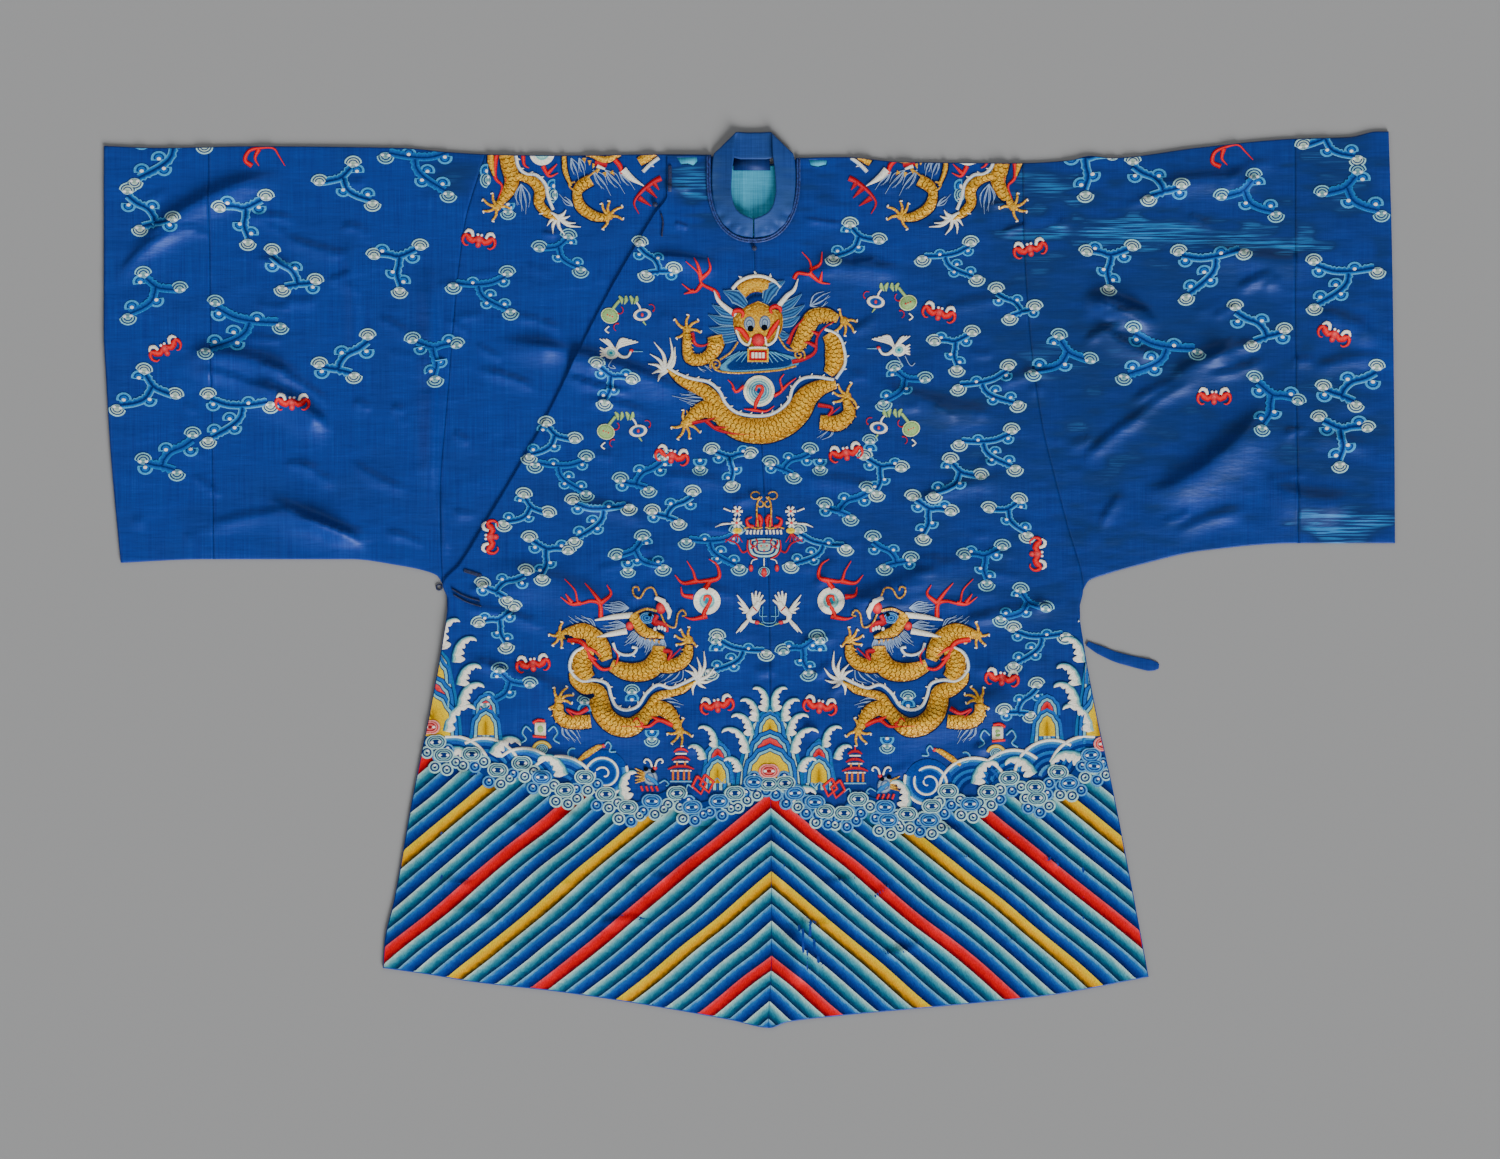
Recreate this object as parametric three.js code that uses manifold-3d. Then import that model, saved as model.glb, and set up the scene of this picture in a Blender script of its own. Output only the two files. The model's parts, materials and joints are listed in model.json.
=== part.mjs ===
// Woman's dragon robe of lined blue silk satin, laid flat with its front up.
// Millimetres, +Z up. +X is the wearer's left, +Y is towards the collar.
// The origin is the middle of the robe's plan, on the surface that it lies on.
import * as THREE from 'three';
import { mergeVertices } from 'three/addons/utils/BufferGeometryUtils.js';
import Module from 'manifold-3d';

// Cloth and gaps
const CLOTH = 1.5;
const LAYER_GAP = 0.5;
const SEAM_GAP = 0.4;
const LINING_CLOTH = 1.2;
const TOUCH = 0.3;
const SEATED = 0.5;
const HALF_SEAM = SEAM_GAP / 2;
const LAYER = CLOTH + LAYER_GAP;
const FOLD_RADIUS = (CLOTH + LAYER_GAP + CLOTH) / 2;

// Neck: a flattened oval whose straight sides run up to the shoulder fold
const NECK = { x: 5, y: 503, halfWidth: 57, frontDepth: 80, squareness: 2.3 };
const BACK_NECK_DEPTH = 10;
const CENTRE_BACK_X = 5;

// Inner front, hidden under the outer front apart from its upper part
const INNER_FRONT = { sideInset: 36, insetRun: 70, edgeX: -76, neckStart: 440, neckEnd: 500, hemRise: 74 };
const OUTER_LIFT = {
  sideRun: 28,
  hemRun: 33,
  innerStart: -38,
  innerEnd: 3,
  armpitFull: -115,
  armpitEnd: -190,
};
const EDGE_FADE = 45;

// Rows and columns of the cloth walls
const BODY_COLUMNS = 13;
const LAP_COLUMNS = 16;
const FRONT_ROWS = { below: 13, above: 10 };
const BACK_ROWS = { below: 6, above: 4 };
const SLEEVE_COLUMNS = 11;
const CUFF_COLUMNS = 4;
const ROW_MARGIN = 0.006;
const FOLD_STEPS = 3;
const NECK_START = 0.87;
const FRONT_NECK_ROWS = [0.9043, 0.908, 0.9135, 0.922, 0.934, 0.953, 0.978, 1];
const BACK_NECK_ROWS = [0.985, 0.9905, 0.9925, 0.996, 1];

// Upper edges, from cuff to neck on the wearer's right and neck to cuff on the left
const SHOULDER_RIGHT = [
  { x: -807, y: 542 },
  { x: -737, y: 539.5 },
  { x: -624, y: 541.5 },
  { x: -437, y: 539.5 },
  { x: -379, y: 534.5 },
  { x: -330, y: 531.5 },
  { x: -237, y: 530 },
  { x: -103, y: 531.5 },
  { x: -50, y: 531 },
];
const SHOULDER_LEFT = [
  { x: 57, y: 527 },
  { x: 119, y: 528 },
  { x: 188, y: 522 },
  { x: 340, y: 520.5 },
  { x: 401, y: 524 },
  { x: 426, y: 529.5 },
  { x: 451, y: 527 },
  { x: 563, y: 540 },
  { x: 682, y: 551 },
  { x: 750, y: 553 },
  { x: 785, y: 560 },
  { x: 799, y: 560 },
];

// Lower edges of the sleeves
const UNDERSLEEVE_RIGHT = [
  { x: -786, y: 20.5 },
  { x: -681, y: 25 },
  { x: -499, y: 25 },
  { x: -437, y: 17 },
  { x: -408, y: 11 },
  { x: -390, y: 4 },
  { x: -384, y: -6 },
];
const UNDERSLEEVE_LEFT = [
  { x: 417, y: -14 },
  { x: 424, y: -2 },
  { x: 444, y: 5.5 },
  { x: 488, y: 18 },
  { x: 563, y: 35 },
  { x: 682, y: 45 },
  { x: 807, y: 45 },
];

// Cuff edges and the seams of cuffs and sleeves, from bottom to top
const CUFF_EDGE_RIGHT = [
  { y: 20, x: -786 },
  { y: 165, x: -799 },
  { y: 250, x: -804 },
  { y: 310, x: -807 },
  { y: 542, x: -807 },
];
const CUFF_EDGE_LEFT = [
  { y: 45, x: 807 },
  { y: 196, x: 806 },
  { y: 419, x: 803 },
  { y: 560, x: 799 },
];
const CUFF_SEAM_RIGHT = [
  { y: 25, x: -670 },
  { y: 540, x: -677 },
];
const CUFF_SEAM_LEFT = [
  { y: 45, x: 686 },
  { y: 391, x: 682 },
  { y: 552, x: 682 },
];
const SLEEVE_SEAM_RIGHT = [
  { y: -6, x: -384 },
  { y: 99, x: -387 },
  { y: 224, x: -378 },
  { y: 435, x: -358 },
  { y: 531, x: -331 },
];
const SLEEVE_SEAM_LEFT = [
  { y: -14, x: 417 },
  { y: 72, x: 396 },
  { y: 129, x: 381 },
  { y: 202, x: 364 },
  { y: 322, x: 349 },
  { y: 448, x: 342 },
  { y: 521, x: 341 },
];

// Side edges of the body, from hem to underarm
const SIDE_RIGHT = [
  { y: -486, x: -458.5 },
  { y: -450, x: -456 },
  { y: -401, x: -444.5 },
  { y: -276, x: -422 },
  { y: -151, x: -397 },
  { y: -76, x: -383.5 },
  { y: -26, x: -377 },
  { y: -6, x: -384 },
];
const SIDE_LEFT = [
  { y: -497, x: 499 },
  { y: -451, x: 490.5 },
  { y: -276, x: 457 },
  { y: -151, x: 430.5 },
  { y: -82, x: 418 },
  { y: -38, x: 412.5 },
  { y: -14, x: 417 },
];
const HEM = [
  { x: -458, y: -486 },
  { x: -399, y: -494.5 },
  { x: -349, y: -503 },
  { x: -237, y: -516 },
  { x: -137, y: -531 },
  { x: -24, y: -551 },
  { x: 26, y: -561 },
  { x: 46, y: -554 },
  { x: 101, y: -547 },
  { x: 251, y: -533 },
  { x: 376, y: -520 },
  { x: 499, y: -497 },
];

// Centre front seam, and the outer front's edge from underarm to shoulder
const CENTRE_FRONT = [
  { y: -561, x: 23 },
  { y: -468, x: 27.6 },
  { y: -155, x: 25.6 },
  { y: -26, x: 24.4 },
  { y: 74, x: 19.4 },
  { y: 235, x: 12 },
  { y: 423, x: 5 },
];
const LAP_EDGE = [
  { y: -6, x: -384 },
  { y: 19, x: -363 },
  { y: 69, x: -332 },
  { y: 185, x: -264 },
  { y: 348, x: -182 },
  { y: 456, x: -119 },
  { y: 480, x: -103 },
  { y: 532, x: -103 },
];

// Raised folds of the cloth that lies on top: each runs from one point to another,
// bows sideways at its middle and fades at both ends
const FOLDS = [
  { x0: -779, y0: 395, x1: -576, y1: 508, bow: 22, width: 46, height: 6 },
  { x0: -716, y0: 283, x1: -549, y1: 244, bow: 12, width: 50, height: 6 },
  { x0: -636, y0: 248, x1: -518, y1: 180, bow: 10, width: 44, height: 8 },
  { x0: -604, y0: 104, x1: -465, y1: 48, bow: -8, width: 42, height: 7 },
  { x0: -400, y0: 410, x1: -398, y1: 70, bow: 4, width: 28, height: 4 },
  { x0: 415, y0: 357, x1: 516, y1: 312, bow: 8, width: 36, height: 7 },
  { x0: 428, y0: 322, x1: 520, y1: 276, bow: -6, width: 30, height: 5 },
  { x0: 490, y0: 98, x1: 655, y1: 226, bow: -16, width: 60, height: 8 },
  { x0: 520, y0: 240, x1: 610, y1: 292, bow: 6, width: 42, height: 5 },
  { x0: 490, y0: 490, x1: 650, y1: 500, bow: 6, width: 36, height: 4 },
  { x0: 545, y0: 424, x1: 720, y1: 396, bow: -8, width: 50, height: 4 },
  { x0: 705, y0: 335, x1: 790, y1: 296, bow: 6, width: 42, height: 4 },
  { x0: 640, y0: 120, x1: 760, y1: 96, bow: -8, width: 60, height: 5 },
  { x0: -330, y0: 300, x1: -60, y1: 222, bow: 14, width: 38, height: 6 },
  { x0: -128, y0: 403, x1: -34, y1: 388, bow: 4, width: 30, height: 4 },
  { x0: 76, y0: 400, x1: 196, y1: 388, bow: -4, width: 34, height: 4 },
  { x0: 150, y0: 250, x1: 320, y1: 205, bow: -8, width: 46, height: 4 },
  { x0: -330, y0: 20, x1: -130, y1: -60, bow: 12, width: 60, height: 4 },
  { x0: -300, y0: -110, x1: -90, y1: -190, bow: -12, width: 60, height: 4 },
  { x0: 80, y0: -70, x1: 300, y1: 30, bow: 14, width: 60, height: 4 },
  { x0: 130, y0: -190, x1: 360, y1: -120, bow: -14, width: 60, height: 4 },
  { x0: 56, y0: -424, x1: 62, y1: -512, bow: 3, width: 30, height: 5 },
  { x0: -250, y0: -310, x1: -214, y1: -470, bow: 8, width: 64, height: 3 },
  { x0: -70, y0: -330, x1: -52, y1: -500, bow: -6, width: 54, height: 3 },
  { x0: 214, y0: -300, x1: 244, y1: -480, bow: 8, width: 64, height: 3 },
  { x0: 352, y0: -290, x1: 396, y1: -460, bow: -8, width: 60, height: 3 },
];

// Standing collar: each row is a section from the neck seam to the free edge.
// across is measured from the middle of the neck
const STAND = [
  { baseAcross: 0.8, baseY: 427, baseZ: 4.4, edgeAcross: 0.8, edgeY: 450, edgeZ: 13 },
  { baseAcross: 20, baseY: 430.5, baseZ: 4.4, edgeAcross: 9, edgeY: 453, edgeZ: 13 },
  { baseAcross: 34, baseY: 439, baseZ: 4.4, edgeAcross: 19, edgeY: 459, edgeZ: 13 },
  { baseAcross: 44, baseY: 451, baseZ: 4.4, edgeAcross: 25, edgeY: 469, edgeZ: 12.5 },
  { baseAcross: 51, baseY: 474, baseZ: 4.4, edgeAcross: 28, edgeY: 487, edgeZ: 12 },
  { baseAcross: 52.5, baseY: 500, baseZ: 4.4, edgeAcross: 27, edgeY: 508, edgeZ: 11.5 },
  { baseAcross: 51.5, baseY: 521, baseZ: 5, edgeAcross: 24, edgeY: 531, edgeZ: 11 },
  { baseAcross: 48.5, baseY: 532, baseZ: 5, edgeAcross: 22.5, edgeY: 557, edgeZ: 8 },
  { baseAcross: 34, baseY: 529, baseZ: 4.6, edgeAcross: 18, edgeY: 559, edgeZ: 5 },
  { baseAcross: 16, baseY: 525, baseZ: 4.2, edgeAcross: 9, edgeY: 558.5, edgeZ: 4 },
];
const STAND_ROWS = 3;
const TUCKS = [
  { across: 22, y: 436, length: 9, height: 0.9 },
  { across: 38, y: 448, length: 8, height: 0.9 },
];

// Piping round the neck: section of two cords side by side, as across and up
const PIPING_SECTION = [
  { across: -2.4, up: 0 },
  { across: -2.8, up: 1 },
  { across: -2, up: 2 },
  { across: -1, up: 2 },
  { across: 0, up: 1.3 },
  { across: 1, up: 2 },
  { across: 2, up: 2 },
  { across: 2.8, up: 1 },
  { across: 2.4, up: 0 },
];
const PIPING_OFFSET = 2.9;
const PIPING_STEPS = 28;
const PIPING_STRAIGHT_STEPS = 2;

// Torn places at the shoulders, where the lining shows
const TEARS = {
  right: [
    { x: -91, y: 527 },
    { x: -85, y: 518 },
    { x: -77, y: 519 },
    { x: -70, y: 516.5 },
    { x: -65, y: 522 },
    { x: -66, y: 528 },
  ],
  left: [
    { x: 74, y: 524.5 },
    { x: 77, y: 517 },
    { x: 86, y: 515.5 },
    { x: 96, y: 518 },
    { x: 97, y: 524 },
  ],
};

// Closures, and the ribbon at the left side
const BUTTON = { x: 6, y: 413.5, radius: 3.4, flat: 0.85 };
const SHOULDER_KNOT = { x: -118, y: 468, radius: 3.4, flat: 0.85 };
const STRIP_SECTION = { width: 4.4, thickness: 1.4 };
const SHOULDER_STRIP = [
  { x: -99.5, y: 517 },
  { x: -99.2, y: 500 },
  { x: -99.6, y: 484 },
];
const SHOULDER_STRAND = [
  { x: -110.5, y: 457 },
  { x: -108, y: 446 },
  { x: -109.5, y: 428 },
];
const UNDERARM_RING = { x: -388.2, y: -10, radius: 3.4, cord: 1 };
const UNDERARM_CORDS = [
  { startX: -372, startY: -12, midX: -356, midY: -21, endX: -337, endY: -27 },
  { startX: -370, startY: -19, midX: -354, midY: -28, endX: -335, endY: -34 },
];
const UNDERARM_STRIP = [
  { x: -357, y: 11 },
  { x: -347, y: 8 },
  { x: -335, y: 4 },
];
const CORD_RADIUS = 1.1;
const CORD_SIDES = 8;
const RIBBON_THICKNESS = 1.4;
const RIBBON = [
  { x: 421.8, y: -80, width: 6 },
  { x: 437, y: -88, width: 11 },
  { x: 458, y: -97, width: 13 },
  { x: 480, y: -103, width: 14 },
  { x: 500, y: -107.5, width: 15 },
  { x: 508, y: -108.5, width: 11 },
  { x: 512, y: -109, width: 6 },
];

// Finishes
const SATIN = { color: 0x1b479b, roughness: 0.45, metalness: 0 };
const PIPING_SATIN = { color: 0x142a66, roughness: 0.5, metalness: 0 };
const LINING_SILK = { color: 0x46a8c6, roughness: 0.6, metalness: 0 };
const DARK_CORD = { color: 0x101c44, roughness: 0.6, metalness: 0 };

const robe = new THREE.Group();
robe.name = 'dragon_robe';

// Number helpers
const mix = (a, b, t) => a + (b - a) * t;
const clamp01 = (value) => Math.min(Math.max(value, 0), 1);
const rise = (from, to, value) => {
  const t = clamp01((value - from) / (to - from));
  return t * t * (3 - 2 * t);
};
const steps = (count) => Array.from({ length: count + 1 }, (_, i) => i / count);

// Reads a table as a smooth curve that never overshoots its rows
function smoothTable(rows, given, wanted) {
  const xs = rows.map((row) => row[given]);
  const ys = rows.map((row) => row[wanted]);
  const grades = xs.slice(1).map((x, i) => (ys[i + 1] - ys[i]) / (x - xs[i]));
  const slopes = xs.map((_, i) => {
    const before = grades[Math.max(i - 1, 0)];
    const after = grades[Math.min(i, grades.length - 1)];
    return before * after > 0 ? (2 * before * after) / (before + after) : 0;
  });
  return (at) => {
    const value = Math.min(Math.max(at, xs[0]), xs[xs.length - 1]);
    const found = xs.findIndex((x, i) => i > 0 && value <= x);
    const i = Math.max(found, 1) - 1;
    const run = xs[i + 1] - xs[i];
    const t = (value - xs[i]) / run;
    const keep = (1 + 2 * t) * (1 - t) * (1 - t) * ys[i] + t * t * (3 - 2 * t) * ys[i + 1];
    return keep + run * (t * (1 - t) * (1 - t) * slopes[i] + t * t * (t - 1) * slopes[i + 1]);
  };
}

// Edges of the pieces in plan
const shoulderRight = smoothTable(SHOULDER_RIGHT, 'x', 'y');
const shoulderLeft = smoothTable(SHOULDER_LEFT, 'x', 'y');
const shoulder = (x) => (x < NECK.x ? shoulderRight(x) : shoulderLeft(x));
const undersleeveRight = smoothTable(UNDERSLEEVE_RIGHT, 'x', 'y');
const undersleeveLeft = smoothTable(UNDERSLEEVE_LEFT, 'x', 'y');
const cuffEdgeRight = smoothTable(CUFF_EDGE_RIGHT, 'y', 'x');
const cuffEdgeLeft = smoothTable(CUFF_EDGE_LEFT, 'y', 'x');
const cuffSeamRight = smoothTable(CUFF_SEAM_RIGHT, 'y', 'x');
const cuffSeamLeft = smoothTable(CUFF_SEAM_LEFT, 'y', 'x');
const hem = smoothTable(HEM, 'x', 'y');
const centreFront = smoothTable(CENTRE_FRONT, 'y', 'x');
const bodySideRight = smoothTable([...SIDE_RIGHT, ...SLEEVE_SEAM_RIGHT.slice(1)], 'y', 'x');
const bodySideLeft = smoothTable([...SIDE_LEFT, ...SLEEVE_SEAM_LEFT.slice(1)], 'y', 'x');
const lapSide = smoothTable([...SIDE_RIGHT, ...LAP_EDGE.slice(1)], 'y', 'x');

function neckHalfWidth(y) {
  const down = clamp01((NECK.y - y) / NECK.frontDepth);
  return NECK.halfWidth * (1 - down ** NECK.squareness) ** (1 / NECK.squareness);
}

function frontMiddle(y, side) {
  const seam = centreFront(y);
  const neck = NECK.x + side * neckHalfWidth(y);
  return y > NECK.y - NECK.frontDepth ? neck : seam;
}

function backMiddle(y, side) {
  const down = clamp01((y - (shoulder(NECK.x + side * NECK.halfWidth) - BACK_NECK_DEPTH)) / BACK_NECK_DEPTH);
  const opened = NECK.halfWidth * (1 - (1 - down) ** NECK.squareness) ** (1 / NECK.squareness);
  return CENTRE_BACK_X + side * opened;
}

// Height of the folds above the flat cloth
function foldHeight(x, y) {
  let height = 0;
  for (const fold of FOLDS) {
    const runX = fold.x1 - fold.x0;
    const runY = fold.y1 - fold.y0;
    const length = Math.hypot(runX, runY);
    const along = ((x - fold.x0) * runX + (y - fold.y0) * runY) / (length * length);
    const across = ((y - fold.y0) * runX - (x - fold.x0) * runY) / length;
    const bowed = across - 4 * fold.bow * along * (1 - along);
    const taper = rise(0, 0.3, along) * rise(0, 0.3, 1 - along);
    height += fold.height * taper * Math.exp(-((2 * bowed / fold.width) ** 2));
  }
  return height;
}

function edgeFade(x, y) {
  const underarm = x < SIDE_RIGHT.at(-1).x || x > SIDE_LEFT.at(-1).x;
  const under = x < NECK.x ? undersleeveRight(x) : undersleeveLeft(x);
  const low = underarm ? under : hem(x);
  return rise(0, EDGE_FADE, shoulder(x) - y) * rise(0, EDGE_FADE, y - low);
}

// Underside heights of the upper layers
const liftedFold = (x, y) => foldHeight(x, y) * edgeFade(x, y);
const frontHeight = (x, y) => LAYER + liftedFold(x, y);
const innerFrontHeight = (x, y) => LAYER + liftedFold(x, y) * rise(0, EDGE_FADE, lapSide(y) - x);

function lapHeight(x, y) {
  const run = OUTER_LIFT;
  const fromSide = rise(0, run.sideRun, x - lapSide(y));
  const armpit = rise(run.armpitEnd, run.armpitFull, y);
  const overInner = 1 - rise(run.innerStart, run.innerEnd, x);
  const overHem = rise(0, run.hemRun, y - hem(x));
  return frontHeight(x, y) + LAYER * Math.max(fromSide, armpit) * overInner * overHem;
}

const outerTop = (x, y) => CLOTH + (x < centreFront(y) ? lapHeight(x, y) : frontHeight(x, y));

// Plan points between two side edges x(y) and two end edges y(x): one row for each part of the length
function planGrid({ left, right, low, high, columns, rows }) {
  return rows.map((row) => columns.map((column) => {
    const planX = (y) => mix(left(y), right(y), column);
    let below = hem(NECK.x) - LAYER;
    let above = shoulderLeft(SHOULDER_LEFT.at(-1).x) + LAYER;
    for (let turn = 0; turn < 40; turn += 1) {
      const y = (below + above) / 2;
      const x = planX(y);
      const isBelow = y < mix(low(x), high(x), row);
      below = isBelow ? y : below;
      above = isBelow ? above : y;
    }
    return { x: planX(above), y: above };
  }));
}

// Closed wall between an outer and an inner grid of the same rows and columns.
// As a ring, its last row joins its first
function wallGeometry(outer, inner, isRing = false) {
  const rowCount = outer.length;
  const columnCount = outer[0].length;
  const positions = [...outer.flat(), ...inner.flat()].flatMap((point) => [point.x, point.y, point.z]);
  const innerStart = rowCount * columnCount;
  const index = [];
  const at = (row, column) => (row % rowCount) * columnCount + column;
  const quad = (a, b, c, d) => index.push(a, b, c, a, c, d);
  const rowEnd = isRing ? rowCount : rowCount - 1;
  for (let row = 0; row < rowEnd; row += 1) {
    for (let column = 0; column < columnCount - 1; column += 1) {
      const a = at(row, column);
      const b = at(row, column + 1);
      const c = at(row + 1, column + 1);
      const d = at(row + 1, column);
      quad(a, b, c, d);
      quad(innerStart + d, innerStart + c, innerStart + b, innerStart + a);
    }
    for (const column of [0, columnCount - 1]) {
      const a = at(row, column);
      const b = at(row + 1, column);
      const loop = [a, b, innerStart + b, innerStart + a];
      quad(...(column === 0 ? loop : loop.reverse()));
    }
  }
  for (const row of isRing ? [] : [0, rowCount - 1]) {
    for (let column = 0; column < columnCount - 1; column += 1) {
      const a = at(row, column);
      const b = at(row, column + 1);
      const loop = [a, innerStart + a, innerStart + b, b];
      quad(...(row === 0 ? loop : loop.reverse()));
    }
  }
  return outwardGeometry(positions, index);
}

// Geometry whose faces point out
function outwardGeometry(positions, index) {
  let volume = 0;
  const point = (i) => new THREE.Vector3().fromArray(positions, 3 * i);
  for (let face = 0; face < index.length; face += 3) {
    const normal = point(index[face]).cross(point(index[face + 1]));
    volume += normal.dot(point(index[face + 2]));
  }
  const geometry = new THREE.BufferGeometry();
  geometry.setAttribute('position', new THREE.Float32BufferAttribute(positions, 3));
  geometry.setIndex(volume < 0 ? index.reverse() : index);
  return geometry;
}

const placed = (grid, height) => grid.map((row) => row.map(({ x, y }) => ({ x, y, z: height(x, y) })));
const raised = (grid, by) => grid.map((row) => row.map(({ x, y, z }) => ({ x, y, z: z + by })));

// Rows of a fold that turns the cloth over: ahead is +1 for an upper edge and -1 for a lower one
function foldRows(row, radius, ahead, isRising) {
  const angles = steps(FOLD_STEPS + 1).slice(1, -1).map((part) => Math.PI * (isRising ? part : 1 - part));
  return angles.map((angle) => row.map(({ x, y }) => ({
    x,
    y: y + ahead * radius * Math.sin(angle),
    z: FOLD_RADIUS - radius * Math.cos(angle),
  })));
}

// Parts of a piece's length at which its rows lie: from the low edge to the underarm,
// up to the neck, and then closer round the neck
function rowParts(rows, underarm, neckRows) {
  return [
    ...steps(rows.below).map((part) => part * underarm),
    ...steps(rows.above).slice(1).map((part) => mix(underarm, NECK_START, part)),
    ...neckRows,
  ];
}

// Part of the length from the low edge to the shoulder at which a side edge meets the sleeve
function underarmPart(side, low, underarmY) {
  const x = side(underarmY);
  return (underarmY - low(x)) / (shoulder(x) - FOLD_RADIUS - low(x));
}

function bodyPlan({ left, right, low, side, underarmY, rows, neckRows }) {
  return planGrid({
    left,
    right,
    low,
    high: (x) => shoulder(x) - FOLD_RADIUS,
    columns: steps(BODY_COLUMNS),
    rows: rowParts(rows, underarmPart(side, low, underarmY), neckRows),
  });
}

// Body length that is folded over the shoulder: back half below, front half above
function foldedBody(back, front, height) {
  const top = back.at(-1);
  const outer = [
    ...placed(back, () => 0),
    ...foldRows(top, FOLD_RADIUS, 1, true),
    ...raised(placed(front, height), CLOTH).reverse(),
  ];
  const inner = [
    ...placed(back, () => CLOTH),
    ...foldRows(top, LAYER_GAP / 2, 1, true),
    ...placed(front, height).reverse(),
  ];
  return wallGeometry(outer, inner);
}

// Rows of a sleeve, set to meet the rows of the body along the sleeve seam
function sleeveRows(seamPoints, low, high) {
  const parts = seamPoints.map(({ x, y }) => (y - low(x)) / (high(x) - low(x)));
  return [0, ...parts.filter((part) => part > ROW_MARGIN && part < 1 - ROW_MARGIN), 1];
}

// Flat tube of a sleeve or cuff, open at both ends
function flatTube({ left, right, undersleeve, columns, backSeam, frontSeam }) {
  const low = (x) => undersleeve(x) + FOLD_RADIUS;
  const high = (x) => shoulder(x) - FOLD_RADIUS;
  const plan = { left, right, low, high, columns: steps(columns) };
  const back = planGrid({ ...plan, rows: sleeveRows(backSeam, low, high) });
  const front = planGrid({ ...plan, rows: sleeveRows(frontSeam, low, high) });
  const layers = (backHeight, frontLift, radius) => [
    ...placed(back, () => backHeight),
    ...foldRows(back.at(-1), radius, 1, true),
    ...raised(placed(front, frontHeight), frontLift).reverse(),
    ...foldRows(back[0], radius, -1, false),
  ];
  return wallGeometry(layers(0, CLOTH, FOLD_RADIUS), layers(CLOTH, 0, LAYER_GAP / 2), true);
}

// Section swept along a route, with flat ends. foot gives the height that it stands on
function sweptGeometry(route, section, foot) {
  const positions = [];
  const index = [];
  const count = section.length;
  route.forEach((point, i) => {
    const before = route[Math.max(i - 1, 0)];
    const after = route[Math.min(i + 1, route.length - 1)];
    const length = Math.hypot(after.x - before.x, after.y - before.y);
    const acrossX = -(after.y - before.y) / length;
    const acrossY = (after.x - before.x) / length;
    const width = point.width ?? 1;
    for (const { across, up } of section) {
      const x = point.x + acrossX * across * width;
      const y = point.y + acrossY * across * width;
      positions.push(x, y, foot(point.x, point.y) + up);
    }
  });
  for (let step = 0; step < route.length - 1; step += 1) {
    for (let corner = 0; corner < count; corner += 1) {
      const next = (corner + 1) % count;
      const a = step * count + corner;
      const b = step * count + next;
      index.push(a, b, b + count, a, b + count, a + count);
    }
  }
  const outline = section.map(({ across, up }) => new THREE.Vector2(across, up));
  const area = THREE.ShapeUtils.area(outline);
  const lastStart = (route.length - 1) * count;
  for (const face of THREE.ShapeUtils.triangulateShape(outline, [])) {
    const faceArea = THREE.ShapeUtils.area(face.map((corner) => outline[corner]));
    const [a, b, c] = faceArea * area > 0 ? face : [...face].reverse();
    index.push(c, b, a, lastStart + a, lastStart + b, lastStart + c);
  }
  return outwardGeometry(positions, index);
}

const roundSection = (radius) => Array.from({ length: CORD_SIDES }, (_, i) => {
  const angle = (2 * Math.PI * (i + 0.5)) / CORD_SIDES;
  return { across: radius * Math.sin(angle), up: radius * (1 - Math.cos(angle)) };
});
const flatSection = (width, thickness) => [
  { across: -width / 2, up: 0 },
  { across: -width / 2, up: thickness },
  { across: width / 2, up: thickness },
  { across: width / 2, up: 0 },
];

function addPiece(name, geometry, finish) {
  const mesh = new THREE.Mesh(geometry, new THREE.MeshStandardMaterial(finish));
  mesh.name = name;
  robe.add(mesh);
}

// Boolean cut of the torn places
const wasm = await Module();
wasm.setup();

function solidOf(geometry) {
  const bare = geometry.clone();
  bare.deleteAttribute('normal');
  bare.deleteAttribute('uv');
  const merged = mergeVertices(bare, 0.001);
  return new wasm.Manifold(new wasm.Mesh({
    numProp: 3,
    vertProperties: new Float32Array(merged.getAttribute('position').array),
    triVerts: new Uint32Array(merged.getIndex().array),
  }));
}

function geometryOf(solid) {
  const mesh = solid.getMesh();
  const geometry = new THREE.BufferGeometry();
  geometry.setAttribute('position', new THREE.BufferAttribute(mesh.vertProperties, 3));
  geometry.setIndex(new THREE.BufferAttribute(mesh.triVerts, 1));
  return geometry;
}

function tearPrism(outline, bottom, top, inset) {
  const middleX = outline.reduce((sum, point) => sum + point.x, 0) / outline.length;
  const middleY = outline.reduce((sum, point) => sum + point.y, 0) / outline.length;
  const points = outline.map(({ x, y }) => {
    const reach = Math.hypot(x - middleX, y - middleY);
    const keep = 1 - inset / reach;
    return new THREE.Vector2(mix(middleX, x, keep), mix(middleY, y, keep));
  });
  const outlineShape = new THREE.Shape(points);
  const prism = new THREE.ExtrudeGeometry(outlineShape, { depth: top - bottom, bevelEnabled: false });
  return prism.translate(0, 0, bottom);
}

function cutTear(geometry, outline, bottom) {
  const cutter = solidOf(tearPrism(outline, bottom, bottom + 2 * LAYER, 0));
  return geometryOf(solidOf(geometry).subtract(cutter));
}

// Body lengths
const underarmRightY = SIDE_RIGHT.at(-1).y;
const underarmLeftY = SIDE_LEFT.at(-1).y;
const innerHem = (x) => hem(x) + INNER_FRONT.hemRise;
const innerSide = (y) => {
  const inset = INNER_FRONT.sideInset * rise(underarmRightY, underarmRightY - INNER_FRONT.insetRun, y);
  return bodySideRight(y) + HALF_SEAM + inset;
};
const innerEdge = (y) => {
  const aboveFront = rise(INNER_FRONT.neckStart, INNER_FRONT.neckEnd, y);
  return Math.min(frontMiddle(y, -1) - CLOTH, mix(INNER_FRONT.edgeX, 0, aboveFront));
};
const atRight = { side: bodySideRight, underarmY: underarmRightY };
const atLeft = { side: bodySideLeft, underarmY: underarmLeftY };
const frontGrid = { rows: FRONT_ROWS, neckRows: FRONT_NECK_ROWS };
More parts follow.
